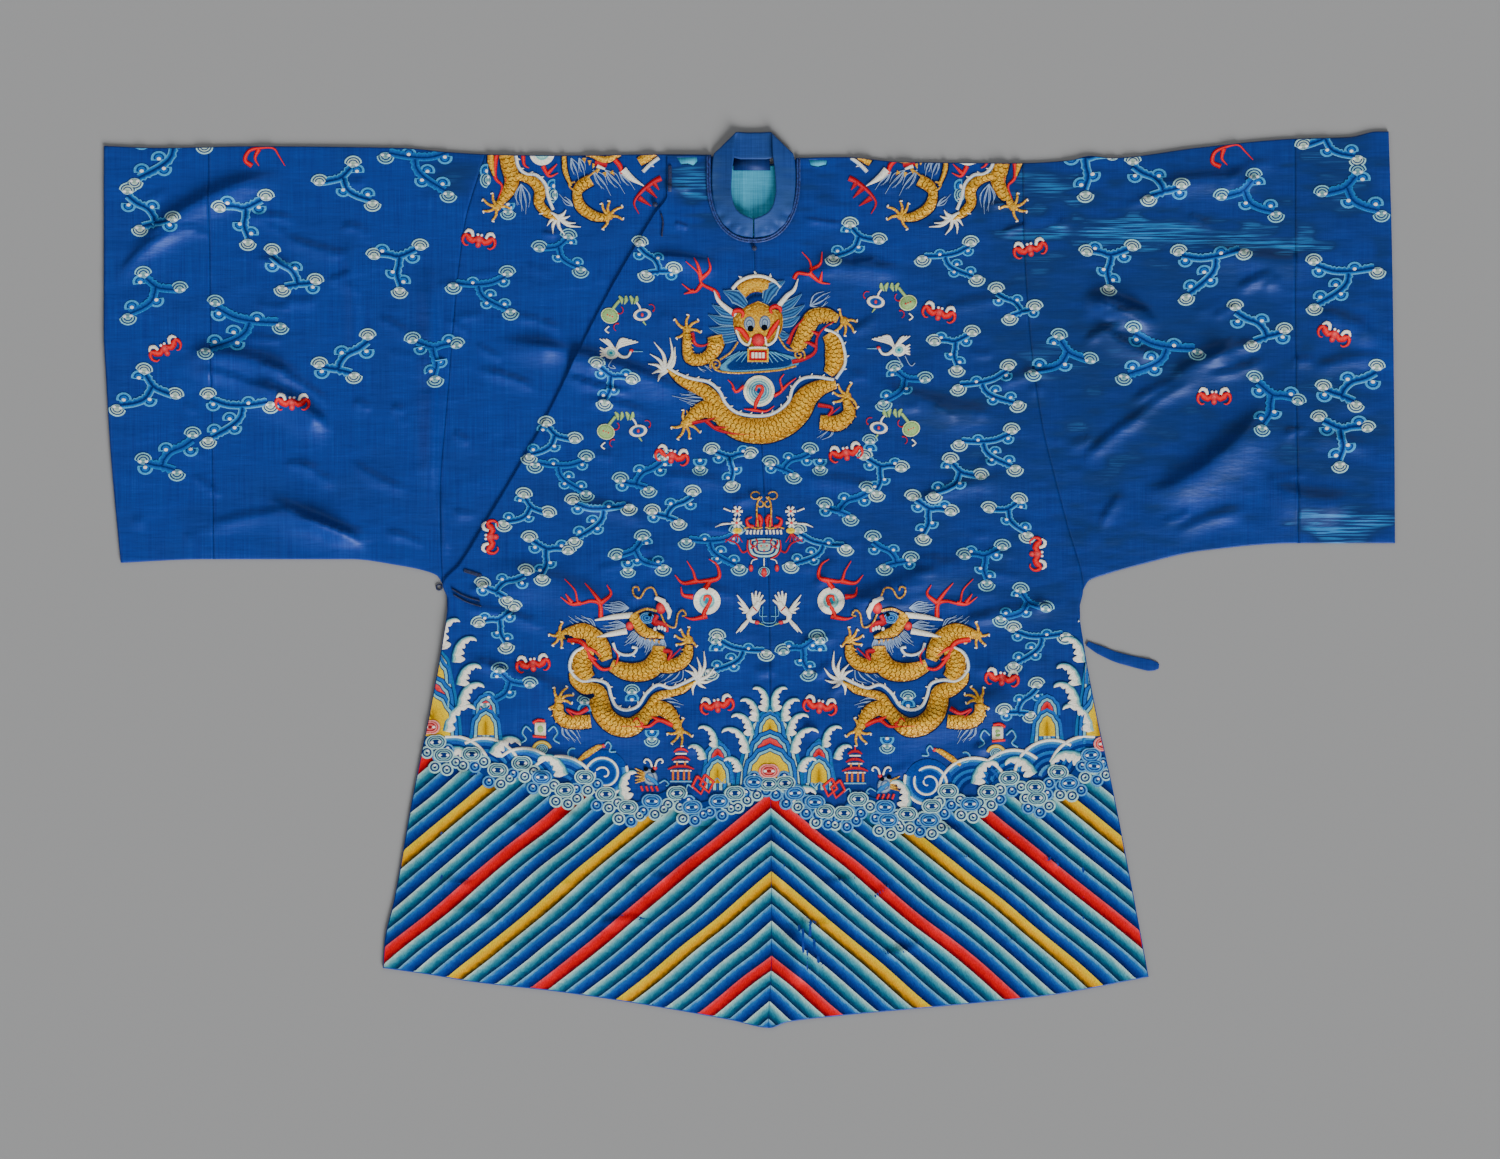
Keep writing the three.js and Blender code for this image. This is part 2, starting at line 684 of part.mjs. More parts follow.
const backGrid = { rows: BACK_ROWS, neckRows: BACK_NECK_ROWS, low: hem };

const leftFrontPlan = bodyPlan({
  ...atLeft,
  ...frontGrid,
  left: (y) => frontMiddle(y, 1) + HALF_SEAM,
  right: (y) => bodySideLeft(y) - HALF_SEAM,
  low: hem,
});
const leftBackPlan = bodyPlan({
  ...atLeft,
  ...backGrid,
  left: (y) => backMiddle(y, 1) + HALF_SEAM,
  right: (y) => bodySideLeft(y) - HALF_SEAM,
});
const bodyLeft = foldedBody(leftBackPlan, leftFrontPlan, frontHeight);
addPiece('body_left', cutTear(bodyLeft, TEARS.left, CLOTH + LAYER_GAP / 2), SATIN);

const rightFrontPlan = bodyPlan({
  ...atRight,
  ...frontGrid,
  left: innerSide,
  right: innerEdge,
  low: innerHem,
});
const rightBackPlan = bodyPlan({
  ...atRight,
  ...backGrid,
  left: (y) => bodySideRight(y) + HALF_SEAM,
  right: (y) => backMiddle(y, -1) - HALF_SEAM,
});
addPiece('body_right', foldedBody(rightBackPlan, rightFrontPlan, innerFrontHeight), SATIN);

// Outer front that crosses to the right side
const lapPlan = planGrid({
  left: (y) => lapSide(y) + HALF_SEAM,
  right: (y) => frontMiddle(y, -1) - HALF_SEAM,
  low: hem,
  high: (x) => shoulder(x) - CLOTH,
  columns: steps(LAP_COLUMNS),
  rows: rowParts(FRONT_ROWS, underarmPart(bodySideRight, hem, underarmRightY), FRONT_NECK_ROWS),
});
const lapUnder = placed(lapPlan, lapHeight);
const lap = wallGeometry(raised(lapUnder, CLOTH), lapUnder);
const lapShoulder = LAYER + LAYER;
addPiece('front_lap', cutTear(lap, TEARS.right, lapShoulder - LAYER_GAP / 2), SATIN);

// Lining that shows in the tears
const tearLining = (outline, bottom) => tearPrism(outline, bottom, bottom + LINING_CLOTH, TOUCH);
addPiece('tear_lining_left', tearLining(TEARS.left, LAYER), LINING_SILK);
addPiece('tear_lining_right', tearLining(TEARS.right, lapShoulder), LINING_SILK);

// Sleeves and cuffs
const columnOf = (plan, column) => plan.map((row) => row.at(column));
const seamLeft = {
  undersleeve: undersleeveLeft,
  backSeam: columnOf(leftBackPlan, -1),
  frontSeam: columnOf(leftFrontPlan, -1),
};
const seamRight = {
  undersleeve: undersleeveRight,
  backSeam: columnOf(rightBackPlan, 0),
  frontSeam: columnOf(rightFrontPlan, 0),
};
addPiece('sleeve_left', flatTube({
  ...seamLeft,
  left: (y) => bodySideLeft(y) + HALF_SEAM,
  right: (y) => cuffSeamLeft(y) - HALF_SEAM,
  columns: SLEEVE_COLUMNS,
}), SATIN);
addPiece('sleeve_right', flatTube({
  ...seamRight,
  left: (y) => cuffSeamRight(y) + HALF_SEAM,
  right: (y) => bodySideRight(y) - HALF_SEAM,
  columns: SLEEVE_COLUMNS,
}), SATIN);
addPiece('cuff_left', flatTube({
  ...seamLeft,
  left: (y) => cuffSeamLeft(y) + HALF_SEAM,
  right: cuffEdgeLeft,
  columns: CUFF_COLUMNS,
}), SATIN);
addPiece('cuff_right', flatTube({
  ...seamRight,
  left: cuffEdgeRight,
  right: (y) => cuffSeamRight(y) - HALF_SEAM,
  columns: CUFF_COLUMNS,
}), SATIN);

// Lining inside the neck
const liningPlan = planGrid({
  left: (y) => frontMiddle(y, -1) + CLOTH,
  right: (y) => frontMiddle(y, 1) - CLOTH,
  low: () => NECK.y - NECK.frontDepth + LAYER,
  high: () => shoulder(NECK.x + NECK.halfWidth) - BACK_NECK_DEPTH,
  columns: steps(4),
  rows: [0, 0.05, 0.12, 0.22, 0.36, 0.6, 1],
});
const liningUnder = placed(liningPlan, () => CLOTH + TOUCH);
addPiece('neck_lining', wallGeometry(raised(liningUnder, LINING_CLOTH), liningUnder), LINING_SILK);

// Standing collar: sections from the centre front round the back to the centre front again
const tuckHeight = (across, y) => TUCKS.reduce((sum, tuck) => {
  const away = Math.hypot(across - tuck.across, y - tuck.y) / tuck.length;
  return sum + tuck.height * Math.exp(-away * away);
}, 0);
const standSections = [
  ...STAND.map((row) => ({ row, side: -1 })),
  ...STAND.map((row) => ({ row, side: 1 })).reverse(),
];
const standGrid = standSections.map(({ row, side }) => steps(STAND_ROWS).map((part) => {
  const across = mix(row.baseAcross, row.edgeAcross, part);
  const y = mix(row.baseY, row.edgeY, part);
  const z = mix(row.baseZ, row.edgeZ, part) + tuckHeight(across, y);
  return new THREE.Vector3(NECK.x + side * across, y, z);
}));

function offsetGrid(grid, by) {
  return grid.map((row, i) => row.map((point, j) => {
    const alongRow = row[Math.min(j + 1, row.length - 1)].clone().sub(row[Math.max(j - 1, 0)]);
    const before = grid[Math.max(i - 1, 0)][j];
    const after = grid[Math.min(i + 1, grid.length - 1)][j];
    const normal = after.clone().sub(before).cross(alongRow).normalize();
    return point.clone().addScaledVector(normal, by);
  }));
}
const standWall = wallGeometry(offsetGrid(standGrid, CLOTH / 2), offsetGrid(standGrid, -CLOTH / 2));
addPiece('collar_stand', standWall, SATIN);

// Piping round the neck, open at the collar's back
const pipingArc = steps(PIPING_STEPS).map((part) => Math.PI * (1 + part)).map((angle) => {
  const power = 2 / NECK.squareness;
  const round = (value) => Math.sign(value) * Math.abs(value) ** power;
  return {
    x: NECK.x + (NECK.halfWidth + PIPING_OFFSET) * round(Math.cos(angle)),
    y: NECK.y + (NECK.frontDepth + PIPING_OFFSET) * round(Math.sin(angle)),
  };
});
const pipingStraight = (side) => steps(PIPING_STRAIGHT_STEPS).slice(1).map((part) => {
  const x = NECK.x + side * (NECK.halfWidth + PIPING_OFFSET);
  return { x, y: mix(NECK.y, shoulder(x) - CLOTH - TOUCH, part) };
});
const pipingRoute = [...pipingStraight(-1).reverse(), ...pipingArc, ...pipingStraight(1)];
const onTop = (x, y) => outerTop(x, y) + SEATED;
addPiece('neck_piping', sweptGeometry(pipingRoute, PIPING_SECTION, onTop), PIPING_SATIN);

// Knot buttons
function addKnot(name, { x, y, radius, flat }, foot) {
  const ball = new THREE.IcosahedronGeometry(radius, 2);
  ball.scale(1, 1, flat);
  ball.translate(x, y, foot + radius * flat);
  addPiece(name, ball, DARK_CORD);
}
addKnot('collar_button', BUTTON, onTop(BUTTON.x, BUTTON.y));
const onInnerFront = (x, y) => innerFrontHeight(x, y) + CLOTH + SEATED;
addKnot('shoulder_knot', SHOULDER_KNOT, onInnerFront(SHOULDER_KNOT.x, SHOULDER_KNOT.y));

// Strips and cords of the closures
const flatStrip = flatSection(STRIP_SECTION.width, STRIP_SECTION.thickness);
addPiece('shoulder_loop', sweptGeometry(SHOULDER_STRIP, flatStrip, onTop), DARK_CORD);
addPiece('shoulder_strand', sweptGeometry(SHOULDER_STRAND, roundSection(CORD_RADIUS), onTop), DARK_CORD);
addPiece('underarm_strip', sweptGeometry(UNDERARM_STRIP, flatStrip, onTop), DARK_CORD);
UNDERARM_CORDS.forEach((cord, i) => {
  const route = [
    { x: cord.startX, y: cord.startY },
    { x: cord.midX, y: cord.midY },
    { x: cord.endX, y: cord.endY },
  ];
  const cordGeometry = sweptGeometry(route, roundSection(CORD_RADIUS), onTop);
  addPiece(`underarm_cord_${'ab'[i]}`, cordGeometry, DARK_CORD);
});
const ring = new THREE.TorusGeometry(UNDERARM_RING.radius, UNDERARM_RING.cord, 8, 14);
ring.translate(UNDERARM_RING.x, UNDERARM_RING.y, UNDERARM_RING.cord);
addPiece('underarm_loop', ring, DARK_CORD);

// Ribbon that lies beside the left side seam
const ribbonSection = flatSection(1, RIBBON_THICKNESS);
addPiece('side_ribbon', sweptGeometry(RIBBON, ribbonSection, () => 0), SATIN);

// The middle of the plan goes to the origin
const plan = new THREE.Box3().setFromObject(robe);
robe.position.set(-(plan.min.x + plan.max.x) / 2, -(plan.min.y + plan.max.y) / 2, -plan.min.z);

export default robe;
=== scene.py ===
"""Looks of a woman's dragon robe of lined blue silk satin, laid flat with its front up.

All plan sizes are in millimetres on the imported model's axes: +X is the wearer's left, +Y is
towards the collar, +Z is up from the floor. Meshes are made in metres.
"""

from __future__ import annotations

import json
import logging
import math
from dataclasses import dataclass, field
from enum import Enum
from typing import Callable, Iterable, Sequence

import bpy
import numpy as np
from mathutils import Matrix

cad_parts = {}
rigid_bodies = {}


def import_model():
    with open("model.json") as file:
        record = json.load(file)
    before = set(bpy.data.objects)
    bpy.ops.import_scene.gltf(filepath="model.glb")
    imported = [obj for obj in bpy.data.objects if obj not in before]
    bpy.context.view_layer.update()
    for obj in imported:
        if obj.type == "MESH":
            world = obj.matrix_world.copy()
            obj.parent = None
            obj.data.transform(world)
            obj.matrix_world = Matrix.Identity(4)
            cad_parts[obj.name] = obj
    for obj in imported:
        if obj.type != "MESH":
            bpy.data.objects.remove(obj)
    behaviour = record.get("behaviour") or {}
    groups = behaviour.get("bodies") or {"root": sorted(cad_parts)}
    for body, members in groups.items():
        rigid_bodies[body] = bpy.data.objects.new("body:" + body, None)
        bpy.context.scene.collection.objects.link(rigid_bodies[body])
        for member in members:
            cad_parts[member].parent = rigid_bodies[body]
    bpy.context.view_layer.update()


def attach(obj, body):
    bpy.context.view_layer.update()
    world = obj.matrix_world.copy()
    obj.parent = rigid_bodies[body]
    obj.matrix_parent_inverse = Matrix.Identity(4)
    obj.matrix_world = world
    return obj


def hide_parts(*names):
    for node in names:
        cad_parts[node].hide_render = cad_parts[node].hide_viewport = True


LOG = logging.getLogger("dragon_robe")
MM = 0.001
Array = np.ndarray
Field = Callable[[Array, Array], Array]
Point = tuple[float, float]
Triple = tuple[float, float, float]

# Cloth, as in the solids
CLOTH = 1.5
LAYER_GAP = 0.5
LAYER = CLOTH + LAYER_GAP
HALF_SEAM = 0.06
FOLD_RADIUS = (CLOTH + LAYER_GAP + CLOTH) / 2

# Fineness of the shells
SHELL_STEP = 4.5
BACK_STEP = 22.0

NECK_X = 5.0
NECK_Y = 503.0
NECK_HALF_WIDTH = 53.4
NECK_DEPTH = 77.0
NECK_SQUARENESS = 2.3
BACK_NECK_DEPTH = 10.0

# Chevron stripes above the hem: pitch straight down the cloth, and the tangent of their slope
STRIPE_PITCH = 20.3
STRIPE_SLOPE = 0.824
STRIPE_APEX_Y = -265.4
STRIPES_IN_REPEAT = 10
STRIPE_SWAY = 2.6

# Search for a grid's rows: how far up and down it looks, and how often it halves that reach
PLAN_REACH = 600.0
HALVINGS = 34

# Rows round a turned edge of cloth
TURN_ROWS = 8


def mix(a: Array | float, b: Array | float, t: Array | float) -> Array | float:
    """Value between a and b at part t."""
    return a + (b - a) * t


def rise(start: float, end: float, value: Array) -> Array:
    """Smooth step over a value, which may also fall from end to start.

    Args:
        start: where the step is 0.
        end: where it is 1.
        value: the values to place on it.
    Returns:
        The step's height at each value.
    """
    t = np.clip((value - start) / (end - start), 0, 1)
    return t * t * (3 - 2 * t)


class Edge:
    """Smooth curve through rows of (place, value) that never overshoots them."""

    def __init__(self, *rows: Point) -> None:
        """Takes the rows in order of place.

        Args:
            rows: pairs of a place and its value, in order.
        """
        self.rows = rows
        self.place, self.value = np.array(rows, float).T
        grade = np.diff(self.value) / np.diff(self.place)
        before, after = np.r_[grade[0], grade], np.r_[grade, grade[-1]]
        product, total = before * after, before + after
        self.slope = np.where(product > 0, 2 * product / np.where(total == 0, 1, total), 0)

    def __call__(self, at: Array | float) -> Array:
        """Value at the given place, held level beyond both ends.

        Args:
            at: the places.
        Returns:
            The value at each place.
        """
        at = np.clip(at, self.place[0], self.place[-1])
        i = np.clip(np.searchsorted(self.place, at, side="right") - 1, 0, len(self.place) - 2)
        run = self.place[i + 1] - self.place[i]
        t = (at - self.place[i]) / run
        level = (1 + 2 * t) * (1 - t) ** 2 * self.value[i] + t * t * (3 - 2 * t) * self.value[i + 1]
        return level + run * (t * (1 - t) ** 2 * self.slope[i] + t * t * (t - 1) * self.slope[i + 1])


# Edges of the robe in plan, the same rows as its solids
SHOULDER_RIGHT = Edge(
    (-807, 542), (-737, 539.5), (-624, 541.5), (-437, 539.5), (-379, 534.5), (-330, 531.5),
    (-237, 530), (-103, 531.5), (-50, 531),
)
SHOULDER_LEFT = Edge(
    (57, 527), (119, 528), (188, 522), (340, 520.5), (401, 524), (426, 529.5), (451, 527),
    (563, 540), (682, 551), (750, 553), (785, 560), (799, 560),
)
UNDERSLEEVE_RIGHT = Edge(
    (-786, 20.5), (-681, 25), (-499, 25), (-437, 17), (-408, 11), (-390, 4), (-384, -6),
)
UNDERSLEEVE_LEFT = Edge(
    (417, -14), (424, -2), (444, 5.5), (488, 18), (563, 35), (682, 45), (807, 45),
)
CUFF_EDGE_RIGHT = Edge((20, -786), (165, -799), (250, -804), (310, -807), (542, -807))
CUFF_EDGE_LEFT = Edge((45, 807), (196, 806), (419, 803), (560, 799))
CUFF_SEAM_RIGHT = Edge((25, -670), (540, -677))
CUFF_SEAM_LEFT = Edge((45, 686), (391, 682), (552, 682))
SLEEVE_SEAM_RIGHT = ((99, -387), (224, -378), (435, -358), (531, -331))
SLEEVE_SEAM_LEFT = ((72, 396), (129, 381), (202, 364), (322, 349), (448, 342), (521, 341))
SIDE_RIGHT = (
    (-486, -458.5), (-450, -456), (-401, -444.5), (-276, -422), (-151, -397), (-76, -383.5),
    (-26, -377), (-6, -384),
)
SIDE_LEFT = (
    (-497, 499), (-451, 490.5), (-276, 457), (-151, 430.5), (-82, 418), (-38, 412.5), (-14, 417),
)
HEM = Edge(
    (-458, -486), (-399, -494.5), (-349, -503), (-237, -516), (-137, -531), (-24, -551),
    (26, -561), (46, -554), (101, -547), (251, -533), (376, -520), (499, -497),
)
CENTRE_FRONT = Edge(
    (-561, 23), (-468, 27.6), (-155, 25.6), (-26, 24.4), (74, 19.4), (235, 12), (423, 5),
)
LAP_EDGE = ((19, -363), (69, -332), (185, -264), (348, -182), (456, -119), (480, -103), (532, -103))
BODY_RIGHT = Edge(*SIDE_RIGHT, *SLEEVE_SEAM_RIGHT)
BODY_LEFT = Edge(*SIDE_LEFT, *SLEEVE_SEAM_LEFT)
LAP_SIDE = Edge(*SIDE_RIGHT, *LAP_EDGE)
UNDERARM_RIGHT_X = -384.0
UNDERARM_LEFT_X = 417.0

# Inner front, and how the outer front rises over it
INNER_SIDE_INSET = 36.0
INNER_EDGE_X = -76.0
INNER_HEM_RISE = 74.0
EDGE_FADE = 45.0


def shoulder(x: Array) -> Array:
    """Height in plan of the shoulder fold."""
    return np.where(x < NECK_X, SHOULDER_RIGHT(x), SHOULDER_LEFT(x))


def neck_half_width(y: Array) -> Array:
    """Half the neck opening's width."""
    down = np.clip((NECK_Y - y) / NECK_DEPTH, 0, 1)
    return NECK_HALF_WIDTH * (1 - down**NECK_SQUARENESS) ** (1 / NECK_SQUARENESS)


def front_middle(y: Array, side: int) -> Array:
    """Inner edge of a front: the centre seam, and round the neck above it."""
    return np.where(y > NECK_Y - NECK_DEPTH, NECK_X + side * neck_half_width(y), CENTRE_FRONT(y))


def back_middle(y: Array, side: int) -> Array:
    """Inner edge of a back: the centre seam, and the shallow back neck above it.

    Args:
        y: plan y along the seam.
        side: -1 for the wearer's right and 1 for the left.
    Returns:
        Plan x of the seam.
    """
    start = shoulder(np.array(NECK_X + side * NECK_HALF_WIDTH)) - BACK_NECK_DEPTH
    down = np.clip((y - start) / BACK_NECK_DEPTH, 0, 1)
    return NECK_X + side * NECK_HALF_WIDTH * (1 - (1 - down) ** NECK_SQUARENESS) ** (1 / NECK_SQUARENESS)


def value_noise(x: Array, y: Array, seed: int) -> Array:
    """Smooth noise with lattice points one unit apart.

    Args:
        x: places along the lattice's rows.
        y: places along its columns.
        seed: which lattice.
    Returns:
        Values from -1 to 1.
    """
    size = 64
    lattice = np.random.default_rng(seed).uniform(-1, 1, (size, size))
    i, j = np.floor(x).astype(int), np.floor(y).astype(int)
    u, v = x - i, y - j
    u, v = u * u * (3 - 2 * u), v * v * (3 - 2 * v)

    def corner(across: int, up: int) -> Array:
        """Lattice value at one corner of each cell."""
        return lattice[(i + across) % size, (j + up) % size]

    return mix(mix(corner(0, 0), corner(1, 0), u), mix(corner(0, 1), corner(1, 1), u), v)


def directions(line: Array) -> Array:
    """Unit direction at each point of a line."""
    run = np.gradient(line, axis=0)
    return run / np.maximum(np.linalg.norm(run, axis=1, keepdims=True), 1e-9)


def left_of(run: Array) -> Array:
    """Directions turned a quarter to the left."""
    return np.stack([-run[:, 1], run[:, 0]], axis=1)


def lengths_along(line: Array) -> Array:
    """Length of a line up to each of its points."""
    return np.r_[0, np.cumsum(np.linalg.norm(np.diff(line, axis=0), axis=1))]


def signed_power(value: Array, power: float) -> Array:
    """Power of a value's size that keeps the value's sign."""
    return np.sign(value) * np.abs(value) ** power


# Half width of a fold's steep side, as a share of its gentle side's
STEEP_PART = 0.36


@dataclass(frozen=True)
class Crease:
    """A raised fold from one point to another, bowed at its middle and fading at both ends.

    It drops steeply on the left of its run and gently on the right.
    """

    x0: float
    y0: float
    x1: float
    y1: float
    bow: float
    width: float
    height: float

    def near(self, x: Array, y: Array) -> Array:
        """Which points lie close enough to be raised."""
        reach = math.hypot(self.x1 - self.x0, self.y1 - self.y0) / 2 + self.width
        return np.maximum(np.abs(2 * x - self.x0 - self.x1), np.abs(2 * y - self.y0 - self.y1)) < 2 * reach

    def at(self, x: Array, y: Array) -> Array:
        """Height of the fold at points in plan.

        Args:
            x: plan x of each point.
            y: plan y of each point.
        Returns:
            Height of the crease at each point.
        """
        run_x, run_y = self.x1 - self.x0, self.y1 - self.y0
        length = math.hypot(run_x, run_y)
        along = ((x - self.x0) * run_x + (y - self.y0) * run_y) / length**2
        across = ((y - self.y0) * run_x - (x - self.x0) * run_y) / length
        bowed = across - 4 * self.bow * along * (1 - along)
        taper = rise(0, 0.3, along) * rise(0, 0.3, 1 - along)
        reach = np.where(bowed > 0, STEEP_PART, 1) * self.width / 2
        return self.height * taper * np.exp(-((bowed / reach) ** 2))


# The solids' folds, then the finer creases that lie between them
FOLDS = (
    Crease(-779, 395, -576, 508, 22, 46, 6), Crease(-716, 283, -549, 244, 12, 50, 6),
    Crease(-636, 248, -518, 180, 10, 44, 8), Crease(-604, 104, -465, 48, -8, 42, 7),
    Crease(-400, 410, -398, 70, 4, 28, 4), Crease(415, 357, 516, 312, 8, 36, 7),
    Crease(428, 322, 520, 276, -6, 30, 5), Crease(490, 98, 655, 226, -16, 60, 8),
    Crease(520, 240, 610, 292, 6, 42, 5), Crease(490, 490, 650, 500, 6, 36, 4),
    Crease(545, 424, 720, 396, -8, 50, 4), Crease(705, 335, 790, 296, 6, 42, 4),
    Crease(640, 120, 760, 96, -8, 60, 5), Crease(-330, 300, -60, 222, 14, 38, 6),
    Crease(-128, 403, -34, 388, 4, 30, 4), Crease(76, 400, 196, 388, -4, 34, 4),
    Crease(150, 250, 320, 205, -8, 46, 4), Crease(-330, 20, -130, -60, 12, 60, 4),
    Crease(-300, -110, -90, -190, -12, 60, 4), Crease(80, -70, 300, 30, 14, 60, 4),
    Crease(130, -190, 360, -120, -14, 60, 4), Crease(56, -424, 62, -512, 3, 30, 5),
    Crease(-250, -310, -214, -470, 8, 64, 3), Crease(-70, -330, -52, -500, -6, 54, 3),
    Crease(214, -300, 244, -480, 8, 64, 3), Crease(352, -290, 396, -460, -8, 60, 3),
)
FINE_CREASES = (
    Crease(-792, 372, -700, 440, 12, 20, 2.4), Crease(-700, 262, -610, 236, 6, 20, 3.0),
    Crease(-600, 262, -520, 214, 6, 18, 2.6), Crease(-570, 84, -468, 32, 5, 22, 4.4),
    Crease(-500, 150, -420, 112, -6, 18, 2.2), Crease(-690, 60, -560, 82, 8, 26, 2.0),
    Crease(-640, 452, -560, 448, 4, 18, 2.0), Crease(-590, 432, -490, 404, -4, 20, 2.4),
    Crease(-620, 402, -560, 384, 4, 16, 2.2), Crease(-500, 440, -494, 250, 4, 20, 2.0),
    Crease(-470, 330, -420, 300, 4, 16, 1.8), Crease(-460, 60, -400, 40, 3, 14, 2.2),
    Crease(-386, 120, -378, 20, 3, 14, 2.6), Crease(-345, 262, -262, 236, 5, 16, 2.6),
    Crease(-300, 330, -230, 312, 3, 14, 1.8), Crease(-236, 258, -140, 232, -4, 14, 3.0),
    Crease(-210, 226, -120, 204, 5, 16, 2.4), Crease(-90, 300, -20, 290, 3, 14, 1.6),
    Crease(-364, -34, -250, -62, 6, 16, 2.4), Crease(-350, -96, -236, -128, -5, 18, 2.4),
    Crease(-330, -210, -190, -236, 6, 20, 2.0), Crease(-236, 100, -120, 70, 5, 20, 2.0),
    Crease(-120, 130, -20, 118, 4, 20, 1.8), Crease(-100, -10, 0, -24, 4, 22, 1.8),
    Crease(60, 128, 170, 110, 5, 22, 1.9), Crease(96, -10, 220, -30, -6, 22, 2.0),
    Crease(190, 90, 330, 128, 7, 24, 2.2), Crease(250, -60, 400, -30, 6, 24, 2.0),
    Crease(236, 336, 330, 350, 5, 20, 1.8), Crease(300, 240, 392, 262, 5, 18, 2.2),
    Crease(420, 349, 503, 312, 5, 18, 3.2), Crease(413, 293, 476, 322, 4, 15, 2.8),
    Crease(430, 322, 510, 340, 4, 14, 2.2), Crease(562, 269, 643, 296, 5, 18, 3.0),
    Crease(566, 254, 652, 280, -5, 16, 2.6), Crease(413, 143, 504, 212, 6, 22, 3.0),
    Crease(604, 357, 662, 384, 4, 20, 2.8), Crease(474, 219, 539, 247, 4, 20, 2.8),
    Crease(524, 52, 627, 89, 6, 24, 2.6), Crease(593, 500, 662, 524, 5, 20, 2.4),
    Crease(700, 262, 796, 280, 4, 26, 2.6), Crease(470, 190, 560, 250, 6, 18, 2.2),
    Crease(690, 180, 780, 160, 6, 28, 2.0), Crease(436, 60, 470, 110, 4, 18, 2.2),
    Crease(-380, -410, -300, -430, 4, 30, 2.0), Crease(-170, -360, -120, -430, 5, 26, 2.2),
    Crease(120, -360, 150, -450, -5, 26, 2.0), Crease(300, -330, 336, -420, 5, 26, 2.0),
    Crease(68, -410, 92, -500, -4, 14, 3.2), Crease(30, -300, 40, -400, 3, 20, 1.8),
)


@dataclass(frozen=True)
class CreaseScatter:
    """Short creases all over the cloth that fan out from the neck."""

    count: int = 210
    seed: int = 17
    reach_x: tuple[float, float] = (-780, 780)
    reach_y: tuple[float, float] = (-470, 500)
    underarm_y: float = 40.0
    skirt_half: float = 400.0
    skirt_flare: float = 0.12
    slope: tuple[float, float] = (-11, 13)
    half_length: tuple[float, float] = (9, 30)
    bow: tuple[float, float] = (-3, 3)
    width: tuple[float, float] = (11, 18)
    height: tuple[float, float] = (0.8, 2.0)

    def creases(self) -> tuple[Crease, ...]:
        """Creases that lie on the cloth, of all that are thrown."""
        luck = np.random.default_rng(self.seed)
        made = []
        for _ in range(self.count):
            x, y = luck.uniform(*self.reach_x), luck.uniform(*self.reach_y)
            if y < self.underarm_y and abs(x) > self.skirt_half - self.skirt_flare * y:
                continue
            slope = math.radians(luck.normal(*self.slope) * (1 if x < 0 else -1))
            half = luck.uniform(*self.half_length)
            run_x, run_y = half * math.cos(slope), half * math.sin(slope)
            made.append(Crease(x - run_x, y - run_y, x + run_x, y + run_y, luck.uniform(*self.bow),
                               luck.uniform(*self.width), luck.uniform(*self.height)))
        return tuple(made)


SMALL_CREASES = CreaseScatter().creases()
FOLD_STRENGTH = 1.65

# Ripples between the folds, which droop from the middle to the cuffs, and how slowly they swell
RIPPLE_HEIGHT = 0.75
RIPPLE_LENGTH = 58.0
RIPPLE_WIDTH = 17.0
RIPPLE_DROOP = 0.25
SWELL_LENGTH = 130.0
SWELL_WIDTH = 110.0

# How the outer front rises over the inner one: from its side, above the inner hem, up to the
# middle seam, and above its own hem
LAP_SIDE_RISE = 28.0
LAP_INNER_HEM = (-190.0, -115.0)
LAP_MIDDLE = (-38.0, 3.0)
LAP_HEM_RISE = 33.0


